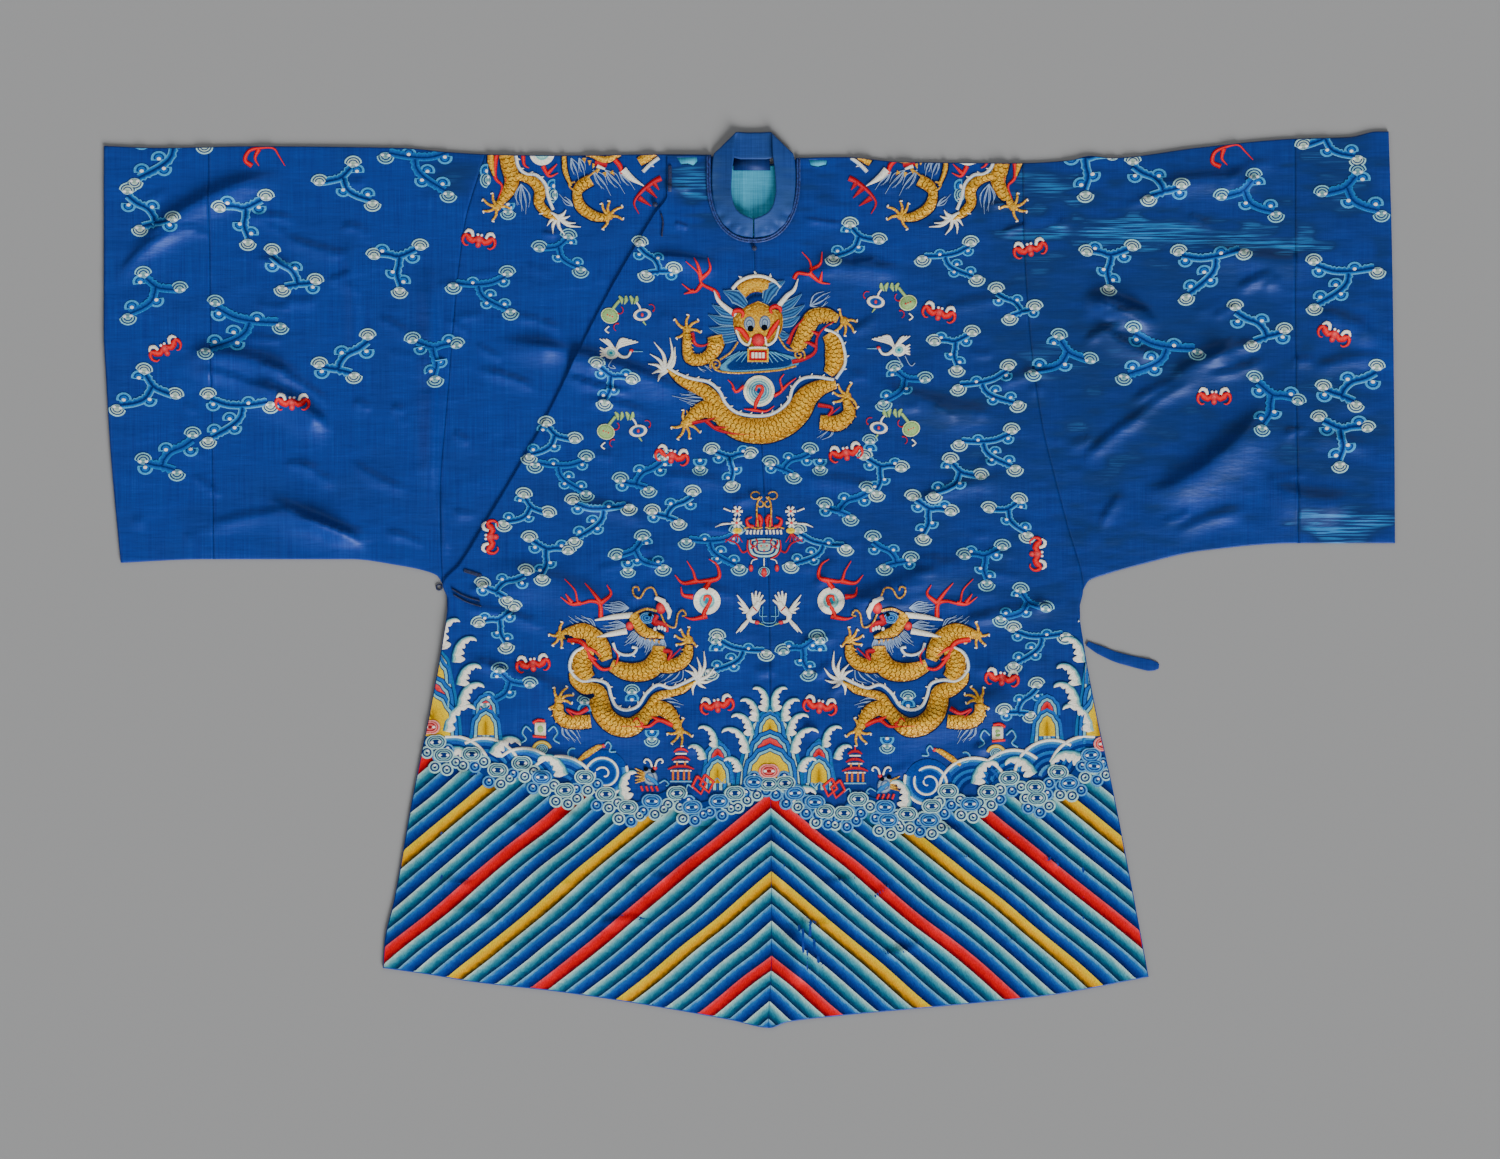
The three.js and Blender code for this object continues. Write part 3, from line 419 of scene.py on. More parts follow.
class Drape:
    """Heights of the robe's layers above the floor."""

    @staticmethod
    def relief(x: Array, y: Array) -> Array:
        """Height of folds, creases and ripples above flat cloth.

        Args:
            x: plan x of each point.
            y: plan y of each point.
        Returns:
            Height of folds and creases at each point.
        """
        height = np.zeros_like(x)
        for crease in (*FOLDS, *FINE_CREASES, *SMALL_CREASES):
            near = crease.near(x, y)
            height[near] += crease.at(x[near], y[near])
        drooped = y + RIPPLE_DROOP * np.abs(x)
        ripple = value_noise(x / RIPPLE_LENGTH + 9, drooped / RIPPLE_WIDTH + 9, 3)
        slow = value_noise(x / SWELL_LENGTH + 5, y / SWELL_WIDTH + 5, 11)
        return FOLD_STRENGTH * height + RIPPLE_HEIGHT * (1 + ripple) * (0.6 + 0.4 * slow)

    @staticmethod
    def edge_fade(x: Array, y: Array) -> Array:
        """1 in the middle of the cloth, 0 at shoulders, hem and under the sleeves.

        Args:
            x: plan x of each point.
            y: plan y of each point.
        Returns:
            Values from 0 at the edge to 1.
        """
        under = np.where(x < NECK_X, UNDERSLEEVE_RIGHT(x), UNDERSLEEVE_LEFT(x))
        low = np.where((x < UNDERARM_RIGHT_X) | (x > UNDERARM_LEFT_X), under, HEM(x))
        return rise(0, EDGE_FADE, shoulder(x) - y) * rise(0, EDGE_FADE, y - low)

    @classmethod
    def front(cls, x: Array, y: Array) -> Array:
        """Underside of a front or of a sleeve's upper layer."""
        return LAYER + cls.relief(x, y) * cls.edge_fade(x, y)

    @classmethod
    def inner(cls, x: Array, y: Array) -> Array:
        """Underside of the inner front, flat where the outer front covers it."""
        return LAYER + (cls.front(x, y) - LAYER) * rise(0, EDGE_FADE, LAP_SIDE(y) - x)

    @classmethod
    def lap(cls, x: Array, y: Array) -> Array:
        """Underside of the outer front, which lies on the inner front.

        Args:
            x: plan x of each point.
            y: plan y of each point.
        Returns:
            Height of its underside at each point.
        """
        from_side = rise(0, LAP_SIDE_RISE, x - LAP_SIDE(y))
        cover = np.maximum(from_side, rise(*LAP_INNER_HEM, y))
        cover = cover * (1 - rise(*LAP_MIDDLE, x)) * rise(0, LAP_HEM_RISE, y - HEM(x))
        return cls.front(x, y) + LAYER * cover

    @classmethod
    def outer_top(cls, x: Array, y: Array) -> Array:
        """Upper face of whatever cloth lies on top.

        Args:
            x: plan x of each point.
            y: plan y of each point.
        Returns:
            Height of the topmost cloth at each point.
        """
        on_lap = (x >= LAP_SIDE(y)) & (x < CENTRE_FRONT(y))
        on_inner = (x < LAP_SIDE(y)) & (x > BODY_RIGHT(y))
        height = np.where(on_lap, cls.lap(x, y), cls.front(x, y))
        return CLOTH + np.where(on_inner, cls.inner(x, y), height)


@dataclass
class MeshParts:
    """Points, faces and point colours of a mesh that grows piece by piece."""

    points: list[Array] = field(default_factory=list)
    colours: list[Array] = field(default_factory=list)
    threads: list[Array] = field(default_factory=list)
    faces: list[Array] = field(default_factory=list)
    count: int = 0

    def add(self, points: Array, colours: Array, threads: Array, *faces: Array) -> None:
        """Adds points with their faces.

        Args:
            points: rows of plan x and y, and of height above the cloth.
            colours: linear colour of each point.
            threads: place of each point along and across its threads.
            faces: arrays of faces, numbered from the first of these points.
        """
        self.points.append(points)
        self.colours.append(colours)
        self.threads.append(threads)
        self.faces.extend(face + self.count for face in faces if len(face))
        self.count += len(points)


def make_object(name: str, points: Array, faces: Iterable[Array]) -> bpy.types.Object:
    """Makes an object at the origin from points in millimetres.

    Args:
        name: the piece's name.
        points: rows of x, y and z.
        faces: arrays of faces, each array with one number of corners.
    Returns:
        The new object, linked to the scene.
    """
    faces = list(faces)
    mesh = bpy.data.meshes.new(name)
    mesh.vertices.add(len(points))
    mesh.vertices.foreach_set("co", (np.asarray(points, np.float32) * MM).ravel())
    sizes = np.concatenate([np.full(len(face), face.shape[1]) for face in faces])
    corners = np.concatenate([face.ravel() for face in faces])
    mesh.loops.add(len(corners))
    mesh.loops.foreach_set("vertex_index", corners.astype(np.int32))
    mesh.polygons.add(len(sizes))
    starts = np.concatenate([[0], np.cumsum(sizes)[:-1]])
    mesh.polygons.foreach_set("loop_start", starts.astype(np.int32))
    mesh.polygons.foreach_set("use_smooth", np.ones(len(sizes), bool))
    mesh.update(calc_edges=True)
    mesh.validate()
    piece = bpy.data.objects.new(name, mesh)
    bpy.context.scene.collection.objects.link(piece)
    return piece


def set_point_values(piece: bpy.types.Object, name: str, values: Array) -> None:
    """Stores one number for each point under a name that materials read.

    Args:
        piece: the object.
        name: the attribute's name.
        values: one value for each point.
    """
    layer = piece.data.attributes.new(name, "FLOAT", "POINT")
    layer.data.foreach_set("value", np.asarray(values, np.float32).ravel())


def set_point_vectors(piece: bpy.types.Object, name: str, values: Array) -> None:
    """Stores one vector for each point under a name that materials read.

    Args:
        piece: the object.
        name: the attribute's name.
        values: rows of three values, one for each point.
    """
    layer = piece.data.attributes.new(name, "FLOAT_VECTOR", "POINT")
    layer.data.foreach_set("vector", np.asarray(values, np.float32).ravel())


def grid_faces(rows: int, columns: int, ring: bool = False) -> Array:
    """Four-cornered faces of a grid of points.

    Args:
        rows: how many rows the grid has.
        columns: how many columns.
        ring: whether its last row joins its first.
    Returns:
        One row of four point numbers for each face.
    """
    row = np.arange(rows if ring else rows - 1)[:, None]
    column = np.arange(columns - 1)[None]
    near, far = row % rows * columns + column, (row + 1) % rows * columns + column
    corners = (near, near + 1, far + 1, far)
    return np.stack([corner.ravel() for corner in corners], axis=1)


def wall_faces(rows: int, columns: int, ring: bool) -> list[Array]:
    """Faces of a closed wall between two like grids of points, the outer one first.

    Args:
        rows: how many rows each grid has.
        columns: how many columns.
        ring: whether the last row joins the first.
    Returns:
        Faces of the outer side, the inner side and the strips that close the edges.
    """
    outer = grid_faces(rows, columns, ring)
    inner = outer[:, ::-1] + rows * columns
    strips = []
    row = np.arange(rows if ring else rows - 1)
    for column, turned in ((0, False), (columns - 1, True)):
        a, b = row * columns + column, ((row + 1) % rows) * columns + column
        loop = np.stack([a, b, b + rows * columns, a + rows * columns], axis=1)
        strips.append(loop[:, ::-1] if turned else loop)
    for last, turned in ((0, False), (rows - 1, True)) if not ring else ():
        a = last * columns + np.arange(columns - 1)
        loop = np.stack([a, a + rows * columns, a + 1 + rows * columns, a + 1], axis=1)
        strips.append(loop[:, ::-1] if turned else loop)
    return [outer, inner, *strips]


def build_wall(name: str, outer: Array, inner: Array, ring: bool = False) -> bpy.types.Object:
    """Closed wall with its faces out, between two grids of points.

    Args:
        name: the piece's name.
        outer: rows by columns of points on its outer side.
        inner: the same on its inner side.
        ring: whether the last row joins the first.
    Returns:
        The wall's object.
    """
    rows, columns = outer.shape[:2]
    faces = wall_faces(rows, columns, ring)
    points = np.concatenate([outer.reshape(-1, 3), inner.reshape(-1, 3)])
    a, b, c, d = (points[faces[0][:, k]] for k in range(4))
    upper = np.cross(c - a, d - b)[:, 2]
    level = np.argmax(a[:, 2])
    if upper[level] < 0:
        faces = [face[:, ::-1] for face in faces]
    return make_object(name, points, faces)


@dataclass
class PlanGrid:
    """Plan points of a piece between two side edges x(y) and two end edges y(x)."""

    left: Callable[[Array], Array]
    right: Callable[[Array], Array]
    low: Callable[[Array], Array]
    high: Callable[[Array], Array]

    def points(self, columns: Array, rows: Array) -> tuple[Array, Array]:
        """Finds where each row and column of the piece lies.

        Args:
            columns: parts of the width, from 0 at the left edge to 1.
            rows: parts of the length, from 0 at the low edge to 1.
        Returns:
            Plan x and y, each as rows by columns.
        """
        column, row = np.meshgrid(columns, rows)
        below, above = np.full_like(column, -PLAN_REACH), np.full_like(column, PLAN_REACH)
        for _ in range(HALVINGS):
            y = (below + above) / 2
            x = mix(self.left(y), self.right(y), column)
            is_below = y < mix(self.low(x), self.high(x), row)
            below, above = np.where(is_below, y, below), np.where(is_below, above, y)
        return mix(self.left(above), self.right(above), column), above


def parts(length: float, step: float) -> Array:
    """Even parts from 0 to 1 of a length, about a step apart."""
    return np.linspace(0, 1, max(int(round(length / step)), 2) + 1)


def neck_parts(length: float, step: float, close_from: float) -> Array:
    """Parts of a length that run three times closer near the neck.

    Args:
        length: the whole length.
        step: about how far apart the parts are away from the neck.
        close_from: part of the length from which they run closer.
    Returns:
        Parts from 0 to 1.
    """
    wide = parts(length * close_from, step) * close_from
    near = close_from + parts(length * (1 - close_from), step / 3)[1:] * (1 - close_from)
    return np.r_[wide, near]


def layered(x: Array, y: Array, height: Array | float) -> Array:
    """Rows by columns of points at a height."""
    return np.stack([x, y, np.broadcast_to(height, x.shape)], axis=-1)


def fold_rows(x: Array, y: Array, radius: float, ahead: int, rising: bool) -> Array:
    """Rows of points round a turned edge of cloth.

    Args:
        x: plan x along the edge.
        y: plan y along the edge.
        radius: of the turn, on the face that is made.
        ahead: 1 for an upper edge and -1 for a lower one.
        rising: whether the rows run from the lower layer to the upper one.
    Returns:
        Rows by columns of points.
    """
    angle = np.pi * np.arange(1, TURN_ROWS)[:, None] / TURN_ROWS
    angle = angle if rising else np.pi - angle
    turned_y = y + ahead * radius * np.sin(angle)
    return layered(np.broadcast_to(x, turned_y.shape), turned_y, FOLD_RADIUS - radius * np.cos(angle))


def level_fold(x: Array) -> Array:
    """Upper end of the flat cloth, where it starts to turn over the shoulder."""
    return shoulder(x) - FOLD_RADIUS


@dataclass
class FoldedLength:
    """Body length folded over the shoulder: a back half below and a front half above."""

    name: str
    back: PlanGrid
    front: PlanGrid
    height: Field
    columns: int = 100
    length: float = 1050.0
    back_close_from: float = 0.97
    front_close_from: float = 0.88

    def build(self) -> bpy.types.Object:
        """Makes the closed shell."""
        across = np.linspace(0, 1, self.columns + 1)
        bx, by = self.back.points(across, neck_parts(self.length, BACK_STEP, self.back_close_from))
        fx, fy = self.front.points(across, neck_parts(self.length, SHELL_STEP, self.front_close_from))
        under = self.height(fx, fy)
        outer = [layered(bx, by, 0), fold_rows(bx[-1], by[-1], FOLD_RADIUS, 1, True),
                 layered(fx, fy, under + CLOTH)[::-1]]
        inner = [layered(bx, by, CLOTH), fold_rows(bx[-1], by[-1], LAYER_GAP / 2, 1, True),
                 layered(fx, fy, under)[::-1]]
        return build_wall(self.name, np.concatenate(outer), np.concatenate(inner))


@dataclass
class FlatTube:
    """Sleeve or cuff laid flat, open at both ends."""

    name: str
    plan: PlanGrid
    columns: int
    depth: float = 510.0

    def build(self) -> bpy.types.Object:
        """Makes the closed shell round the tube."""
        across = np.linspace(0, 1, self.columns + 1)
        bx, by = self.plan.points(across, parts(self.depth, BACK_STEP))
        fx, fy = self.plan.points(across, parts(self.depth, SHELL_STEP))
        under = Drape.front(fx, fy)

        def loop(base: float, lift: float, radius: float) -> Array:
            """Points round the tube on one face of its cloth.

            Args:
                base: the face's height in the lower layer.
                lift: its height above the underside of the upper layer.
                radius: of its turn at the shoulder and under the sleeve.
            Returns:
                Rows by columns of points.
            """
            return np.concatenate([
                layered(bx, by, base), fold_rows(bx[-1], by[-1], radius, 1, True),
                layered(fx, fy, under + lift)[::-1], fold_rows(bx[0], by[0], radius, -1, False),
            ])

        return build_wall(self.name, loop(0, CLOTH, FOLD_RADIUS), loop(CLOTH, 0, LAYER_GAP / 2), True)


@dataclass
class LapFront:
    """Outer front from the centre seam to the diagonal edge, over the inner front."""

    name: str
    plan: PlanGrid
    columns: int = 110
    length: float = 1080.0
    close_from: float = 0.88

    def build(self) -> bpy.types.Object:
        """Makes the closed shell."""
        rows = neck_parts(self.length, SHELL_STEP, self.close_from)
        x, y = self.plan.points(np.linspace(0, 1, self.columns + 1), rows)
        under = Drape.lap(x, y)
        return build_wall(self.name, layered(x, y, under + CLOTH), layered(x, y, under))


# Torn places at the shoulders, as in the solids
TEAR_RIGHT = ((-91, 527), (-85, 518), (-77, 519), (-70, 516.5), (-65, 522), (-66, 528))
TEAR_LEFT = ((74, 524.5), (77, 517), (86, 515.5), (96, 518), (97, 524))
# Facing strip under the back of the collar: it covers a gap in the cloth there, and its dark navy paints the
# shade in the hollow inside the neck
NECK_SHADE_FACING = ((-20, 511), (26, 511), (25, 530), (-19, 530))
SHADE_FACING_HEIGHTS = (3.4, 4.1)
LINING_CLOTH = 1.2
LAP_AT_SHOULDER = LAYER + LAYER


def prism(name: str, outline: Sequence[Point], bottom: float, top: float) -> bpy.types.Object:
    """Upright solid on an outline.

    Args:
        name: the piece's name.
        outline: plan points in order.
        bottom: height of its underside.
        top: height of its upper side.
    Returns:
        The solid's object.
    """
    plan = np.array(outline, float)
    count = len(plan)
    points = np.concatenate([layered(*plan.T, bottom), layered(*plan.T, top)])
    index = np.arange(count)
    after = (index + 1) % count
    sides = np.stack([index, after, after + count, index + count], axis=1)
    piece = make_object(name, points, [sides, index[None, ::-1], index[None] + count])
    turn_faces_out(piece)
    return piece


def turn_faces_out(piece: bpy.types.Object) -> None:
    """Makes every face of a closed mesh look out of it.

    Args:
        piece: the object.
    """
    bpy.context.view_layer.objects.active = piece
    piece.select_set(True)
    bpy.ops.object.mode_set(mode="EDIT")
    bpy.ops.mesh.select_all(action="SELECT")
    bpy.ops.mesh.normals_make_consistent(inside=False)
    bpy.ops.object.mode_set(mode="OBJECT")
    piece.select_set(False)


def cut_tear(cloth: bpy.types.Object, outline: Sequence[Point], bottom: float) -> None:
    """Cuts a torn hole through the upper layer of cloth.

    Args:
        cloth: the piece that is torn.
        outline: the hole's edge in plan.
        bottom: height from which the hole is cut.
    """
    cutter = prism("tear_cutter", outline, bottom, bottom + 2 * LAYER)
    tear = cloth.modifiers.new("tear", "BOOLEAN")
    tear.operation = "DIFFERENCE"
    tear.solver = "EXACT"
    tear.object = cutter
    bpy.context.view_layer.objects.active = cloth
    bpy.ops.object.modifier_apply(modifier="tear")
    bpy.data.objects.remove(cutter, do_unlink=True)


def swept(route: Array, section: Array, foot: Array, closed: bool = False) -> tuple[Array, list[Array]]:
    """Section of (across, up) rows carried along plan points.

    Args:
        route: plan points in order.
        section: rows of across and up for each point of the route, or one section for all.
        foot: height on which each point's section stands.
        closed: whether the route joins its own start.
    Returns:
        Points, and lists of faces with their ends closed.
    """
    if closed:
        run = np.roll(route, -1, axis=0) - np.roll(route, 1, axis=0)
    else:
        run = np.gradient(route, axis=0)
    across = left_of(run / np.linalg.norm(run, axis=1, keepdims=True))
    section = np.broadcast_to(section, (len(route), *np.shape(section)[-2:]))
    plan = route[:, None] + across[:, None] * section[..., :1]
    height = foot[:, None] + section[..., 1]
    points = layered(plan[..., 0], plan[..., 1], height)
    count = section.shape[1]
    ring = np.arange(count)
    after = (ring + 1) % count
    step = np.arange(len(route) if closed else len(route) - 1)[:, None] * count
    following = (step + count) % (count * len(route))
    corners = (step + ring, following + ring, following + after, step + after)
    faces = [np.stack([corner.ravel() for corner in corners], axis=1)]
    if not closed:
        faces += [ring[None, ::-1], ring[None] + count * (len(route) - 1)]
    return points.reshape(-1, 3), faces


def round_section(radius: float, sides: int = 14) -> Array:
    """Round section that stands on its foot."""
    angle = 2 * np.pi * (np.arange(sides) + 0.5) / sides
    return np.stack([radius * np.sin(angle), radius * (1 - np.cos(angle))], axis=1)


def through(points: Sequence[Point], step: float = 2.0) -> Array:
    """Smooth route through points.

    Args:
        points: the points in order.
        step: about how far apart the route is sampled.
    Returns:
        The route's points.
    """
    given = np.array(points, float)
    if len(given) == 2:
        return mix(given[0], given[1], parts(float(np.linalg.norm(given[1] - given[0])), step)[:, None])
    ends = np.concatenate([2 * given[:1] - given[1:2], given, 2 * given[-1:] - given[-2:-1]])
    legs = []
    for a, b, c, d in zip(ends, ends[1:], ends[2:], ends[3:]):
        t = parts(float(np.linalg.norm(c - b)), step)[:-1, None]
        legs.append(((2 * b) + (c - a) * t + (2 * a - 5 * b + 4 * c - d) * t**2
                     + (3 * (b - c) + d - a) * t**3) / 2)
    return np.concatenate([*legs, given[-1:]])


@dataclass
class CollarStand:
    """Standing collar band: open at the centre front, its back lies outward with its inner face up.

    The rows give sections from the centre front to the centre back: where the neck seam and the
    free edge lie, measured across from the neck's middle, in plan and in height.
    """

    name: str = "collar_stand"
    rows: tuple[tuple[float, ...], ...] = (
        (0.8, 427, 4.4, 0.8, 450, 13), (20, 430.5, 4.4, 9, 453, 13), (34, 439, 4.4, 19, 459, 13),
        (44, 451, 4.4, 25, 469, 12.5), (51, 474, 4.4, 28, 487, 12), (52.5, 500, 4.4, 27, 508, 11.5),
        (51.5, 521, 5, 24, 531, 11), (48.5, 532, 5, 22.5, 557, 8), (34, 529, 4.6, 18, 559, 5),
        (16, 525, 4.2, 9, 558.5, 4),
    )
    tucks: tuple[tuple[float, ...], ...] = ((22, 438, 7, 1.8), (36, 448, 6, 1.8), (11, 434, 5, 1.5),
                                            (45, 462, 7, 1.5), (29, 443, 4, -1.2), (17, 437, 3, -1),
                                            (41, 455, 4, -1))
    parts_between: int = 9
    parts_up: int = 14

    def build(self) -> bpy.types.Object:
        """Makes the closed band."""
        values = np.array(self.rows)
        index = np.arange(len(values), dtype=float)
        at = np.linspace(0, len(values) - 1, (len(values) - 1) * self.parts_between + 1)
        section = [Edge(*zip(index, values[:, k]))(at) for k in range(6)]
        up = np.linspace(0, 1, self.parts_up + 1)[None]
        across, y, z = (mix(section[k][:, None], section[k + 3][:, None], up) for k in range(3))
        for tuck_across, tuck_y, length, height in self.tucks:
            away = np.hypot(across - tuck_across, y - tuck_y) / length
            z = z + height * np.exp(-away * away)
        halves = [layered(NECK_X + side * across, y, z) for side in (-1, 1)]
        middle = np.concatenate([halves[0], halves[1][::-1]])
        normal = np.cross(np.gradient(middle, axis=0), np.gradient(middle, axis=1))
        normal = normal / np.linalg.norm(normal, axis=2, keepdims=True)
        piece = build_wall(self.name, middle + normal * CLOTH / 2, middle - normal * CLOTH / 2)
        turn_faces_out(piece)
        return piece


@dataclass(frozen=True)
class SatinFinish:
    """Warp-faced silk satin: dark and light dye tones, the greyer tone it takes where faded and where painted
    shade darkens it, and the tone of its worn floats.

    Noises are in turns per metre along x, y and z: thick and thin wefts, long warp floats, soft
    crumples, and the streaks that worn floats leave. Heights are in metres.
    """

    name: str
    deep: str
    bright: str
    dulled_and_shaded: str
    worn: str
    roughness: float = 0.4
    slub: Triple = (26, 760, 26)
    warp: Triple = (820, 14, 40)
    crumple: Triple = (16, 48, 20)
    floats: Triple = (13, 460, 20)
    crumple_height: float = 0.0034
    slub_height: float = 0.00016
    specular: float = 0.55
    sheen: str = "#A9BEFF"


@dataclass(frozen=True)
class CordFinish:
    """Twisted or plain silk cord; its twist is in turns per metre."""

    name: str
    colour: str
    light: str
    roughness: float = 0.62
    twist: Triple = (420, 420, 420)
    twist_height: float = 0.0005


@dataclass(frozen=True)
class FlossFinish:
    """Untwisted silk floss in satin stitch, whose dye comes from the mesh.

    Noises are in turns per millimetre of thread: its strands, and how unevenly it took the dye.
    """

    name: str = "satin-stitched silk floss"
    roughness: float = 0.5
    strand: Triple = (1.5, 0.12, 1)
    fleck: Triple = (0.7, 0.35, 1)
    tones: tuple[float, float] = (0.76, 1.22)
    strand_height: float = 0.0008
    specular: float = 0.2
    own_tint: float = 0.8


@dataclass(frozen=True)
class GiltFinish:
    """Gilt-paper thread couched in rows: its bright gilt with yellow flecks painted as glints, and the
    red-brown core it wears to.
    """

    name: str = "couched gilt thread"
    roughness: float = 0.34
    metallic: float = 0.1
    core: str = "#7A4812"
    # glint: colour of bright flecks painted into the gilt as glints
    glint: str = "#FFD95C"
    sheen: str = "#FFE9A8"
    bead: Triple = (0.36, 0.36, 1)
    bead_random: float = 0.85
    fleck: Triple = (0.42, 0.42, 1)
    bead_height: float = 0.0012


# The third tone of each satin is where it greys: fading, and painted shade in broad patches
SATIN = SatinFinish("indigo silk satin", "#0A297E", "#0F3C94", "#122E66", "#2F7FC0", 0.47)
LINING_SILK = SatinFinish("turquoise silk lining", "#2F8FB2", "#4CB0CC", "#6FBCCB", "#A8DCE2", 0.6)
# The neck facing's dark navy also stands in for painted shade inside the neck
SHADE_FACING_SILK = SatinFinish("navy facing with painted neck shade", "#0A1E52", "#142C68", "#203A74", "#3A5490", 0.55)
COLLAR_SILK = SatinFinish("worn collar satin", "#102C70", "#1F448E", "#284880", "#4A74B4", 0.55)
PIPING_CORD = CordFinish("navy corded satin piping", "#0E2058", "#2A4A98")
DARK_CORD = CordFinish("dark silk frog cord", "#0A1234", "#1E2E62")
FLOSS = FlossFinish()
GILT = GiltFinish()
FLOOR_GREY = "#999999"


def linear(code: str) -> tuple[float, float, float, float]:
    """Linear colour of an sRGB code such as #1B479B.

    Args:
        code: the sRGB code.
    Returns:
        Its linear colour, opaque.
    """
    channels = [int(code[k : k + 2], 16) / 255 for k in (1, 3, 5)]
    lit = [c / 12.92 if c <= 0.04045 else ((c + 0.055) / 1.055) ** 2.4 for c in channels]
    return (*lit, 1.0)


Socket = bpy.types.NodeSocket
Colour = Socket | tuple[float, float, float, float]


class Shader:
    """Material whose nodes are added one by one and linked by their sockets."""

    def __init__(self, name: str) -> None:
        """Starts a material with only a surface shader and an output.

        Args:
            name: its name.
        """
        self.material = bpy.data.materials.new(name)
        self.material.use_nodes = True
        self.surface = self.material.node_tree.nodes["Principled BSDF"]

    def add(self, kind: str, inputs: dict | None = None, **settings: object) -> bpy.types.Node:
        """Adds a node.

        Args:
            kind: the node's type.
            inputs: values by socket name or number; a socket as value is linked.
            settings: the node's own settings.
        Returns:
            The node.
        """
        node = self.material.node_tree.nodes.new(kind)
        for key, value in settings.items():
            setattr(node, key, value)
        self.feed(node, inputs or {})
        return node

    def feed(self, node: bpy.types.Node, inputs: dict) -> None:
        """Sets or links inputs of a node.

        Args:
            node: the node.
            inputs: values by socket name or number; a socket as value is linked.
        """
        for key, value in inputs.items():
            if isinstance(value, bpy.types.NodeSocket):
                self.material.node_tree.links.new(value, node.inputs[key])
            else:
                node.inputs[key].default_value = value

    def attribute(self, name: str, output: str) -> Socket:
        """Value that a mesh stores for its points."""
        return self.add("ShaderNodeAttribute", attribute_name=name).outputs[output]

    def place(self) -> Socket:
        """Place on the object, in metres."""
        return self.add("ShaderNodeTexCoord").outputs["Object"]

    def noise(self, coordinates: Socket, scale: Triple, detail: float = 2.0) -> Socket:
        """Noise value.

        Args:
            coordinates: where it is read.
            scale: turns for each unit along x, y and z.
            detail: how many finer layers it has.
        Returns:
            The value's socket.
        """
        placed = self.add("ShaderNodeMapping", {"Vector": coordinates, "Scale": scale})
        made = self.add("ShaderNodeTexNoise", {"Vector": placed.outputs[0], "Scale": 1.0, "Detail": detail})
        return made.outputs["Fac"]

    def blend(self, factor: Socket | float, a: Colour, b: Colour, kind: str = "MIX") -> Socket:
        """Mixes two colours.

        Args:
            factor: how much of the second shows.
            a: the first colour.
            b: the second.
            kind: how they are mixed.
        Returns:
            The mix's socket.
        """
        node = self.add("ShaderNodeMix", data_type="RGBA", blend_type=kind)
        self.feed(node, {0: factor, 6: a, 7: b})
        return node.outputs[2]

    def grey(self, tone: Socket) -> Socket:
        """Grey of one tone."""
        return self.add("ShaderNodeCombineColor", {0: tone, 1: tone, 2: tone}).outputs[0]

    def sum_or_product(self, operation: str, a: Socket, b: Socket) -> Socket:
        """Two values taken together."""
        return self.add("ShaderNodeMath", {0: a, 1: b}, operation=operation).outputs[0]

    def span(self, value: Socket, low: float, high: float, to_low: float = 0.0,
             to_high: float = 1.0) -> Socket:
        """Maps a value from one range to another and holds it there.

        Args:
            value: the value.
            low: start of its range.
            high: end of its range.
            to_low: what the start becomes.
            to_high: what the end becomes.
        Returns:
            The new value's socket.
        """
        inputs = {0: value, 1: low, 2: high, 3: to_low, 4: to_high}
        return self.add("ShaderNodeMapRange", inputs).outputs[0]

    def bump(self, height: Socket, distance: float, strength: float = 1.0,
             onto: Socket | None = None) -> Socket:
        """Normal raised by a height value.

        Args:
            height: the value.
            distance: how high 1 stands, in metres.
            strength: how much of it shows.
            onto: a normal that it is added to.
        Returns:
            The normal's socket.
        """
        inputs = {"Height": height, "Distance": distance, "Strength": strength}
        if onto is not None:
            inputs["Normal"] = onto
        return self.add("ShaderNodeBump", inputs).outputs[0]


def satin_material(finish: SatinFinish) -> bpy.types.Material:
    """Silk satin: slubbed wefts under long warp floats, greyed where faded, darkened by painted shade in
    broad patches, and worn, where the cloth says.

    Args:
        finish: its tones, noises and sheen.
    Returns:
        The material.
    """
    shader = Shader(finish.name)
    place, wear_and_shade = shader.place(), shader.attribute("wear_and_shade", "Fac")
    slub = shader.noise(place, finish.slub, 3)
    warp = shader.noise(place, finish.warp, 2)
    crumple = shader.noise(place, finish.crumple, 4)
    floats = shader.noise(place, finish.floats, 4)
    base = shader.blend(shader.span(warp, 0.25, 0.75), linear(finish.deep), linear(finish.bright))
    # Greyer tone: fading, and painted shade where broad patches darken the satin
    base = shader.blend(shader.span(wear_and_shade, 0.0, 0.55), base, linear(finish.dulled_and_shaded))
    bare = shader.span(wear_and_shade, 0.56, 1.0)
    streak = shader.sum_or_product("MULTIPLY", bare, shader.span(floats, 0.47, 0.56))
    base = shader.blend(streak, base, linear(finish.worn))
    grey = shader.grey(shader.span(slub, 0.3, 0.72, 0.87, 1.14))
    normal = shader.bump(crumple, finish.crumple_height, 0.55)
    normal = shader.bump(slub, finish.slub_height, 0.4, normal)
    shader.feed(shader.surface, {
        "Base Color": shader.blend(1.0, base, grey, "MULTIPLY"), "Roughness": finish.roughness,
        "Normal": normal, "Specular IOR Level": finish.specular,
        "Specular Tint": linear(finish.sheen),
    })
    return shader.material


def cord_material(finish: CordFinish) -> bpy.types.Material:
    """Silk cord with the twist of its plies.

    Args:
        finish: its tones and twist.
    Returns:
        The material.
    """
    shader = Shader(finish.name)
    twist = shader.noise(shader.place(), finish.twist, 2)
    base = shader.blend(shader.span(twist, 0.35, 0.7), linear(finish.colour), linear(finish.light))
    normal = shader.bump(twist, finish.twist_height, 0.6)
    shader.feed(shader.surface, {"Base Color": base, "Roughness": finish.roughness, "Normal": normal})
    return shader.material


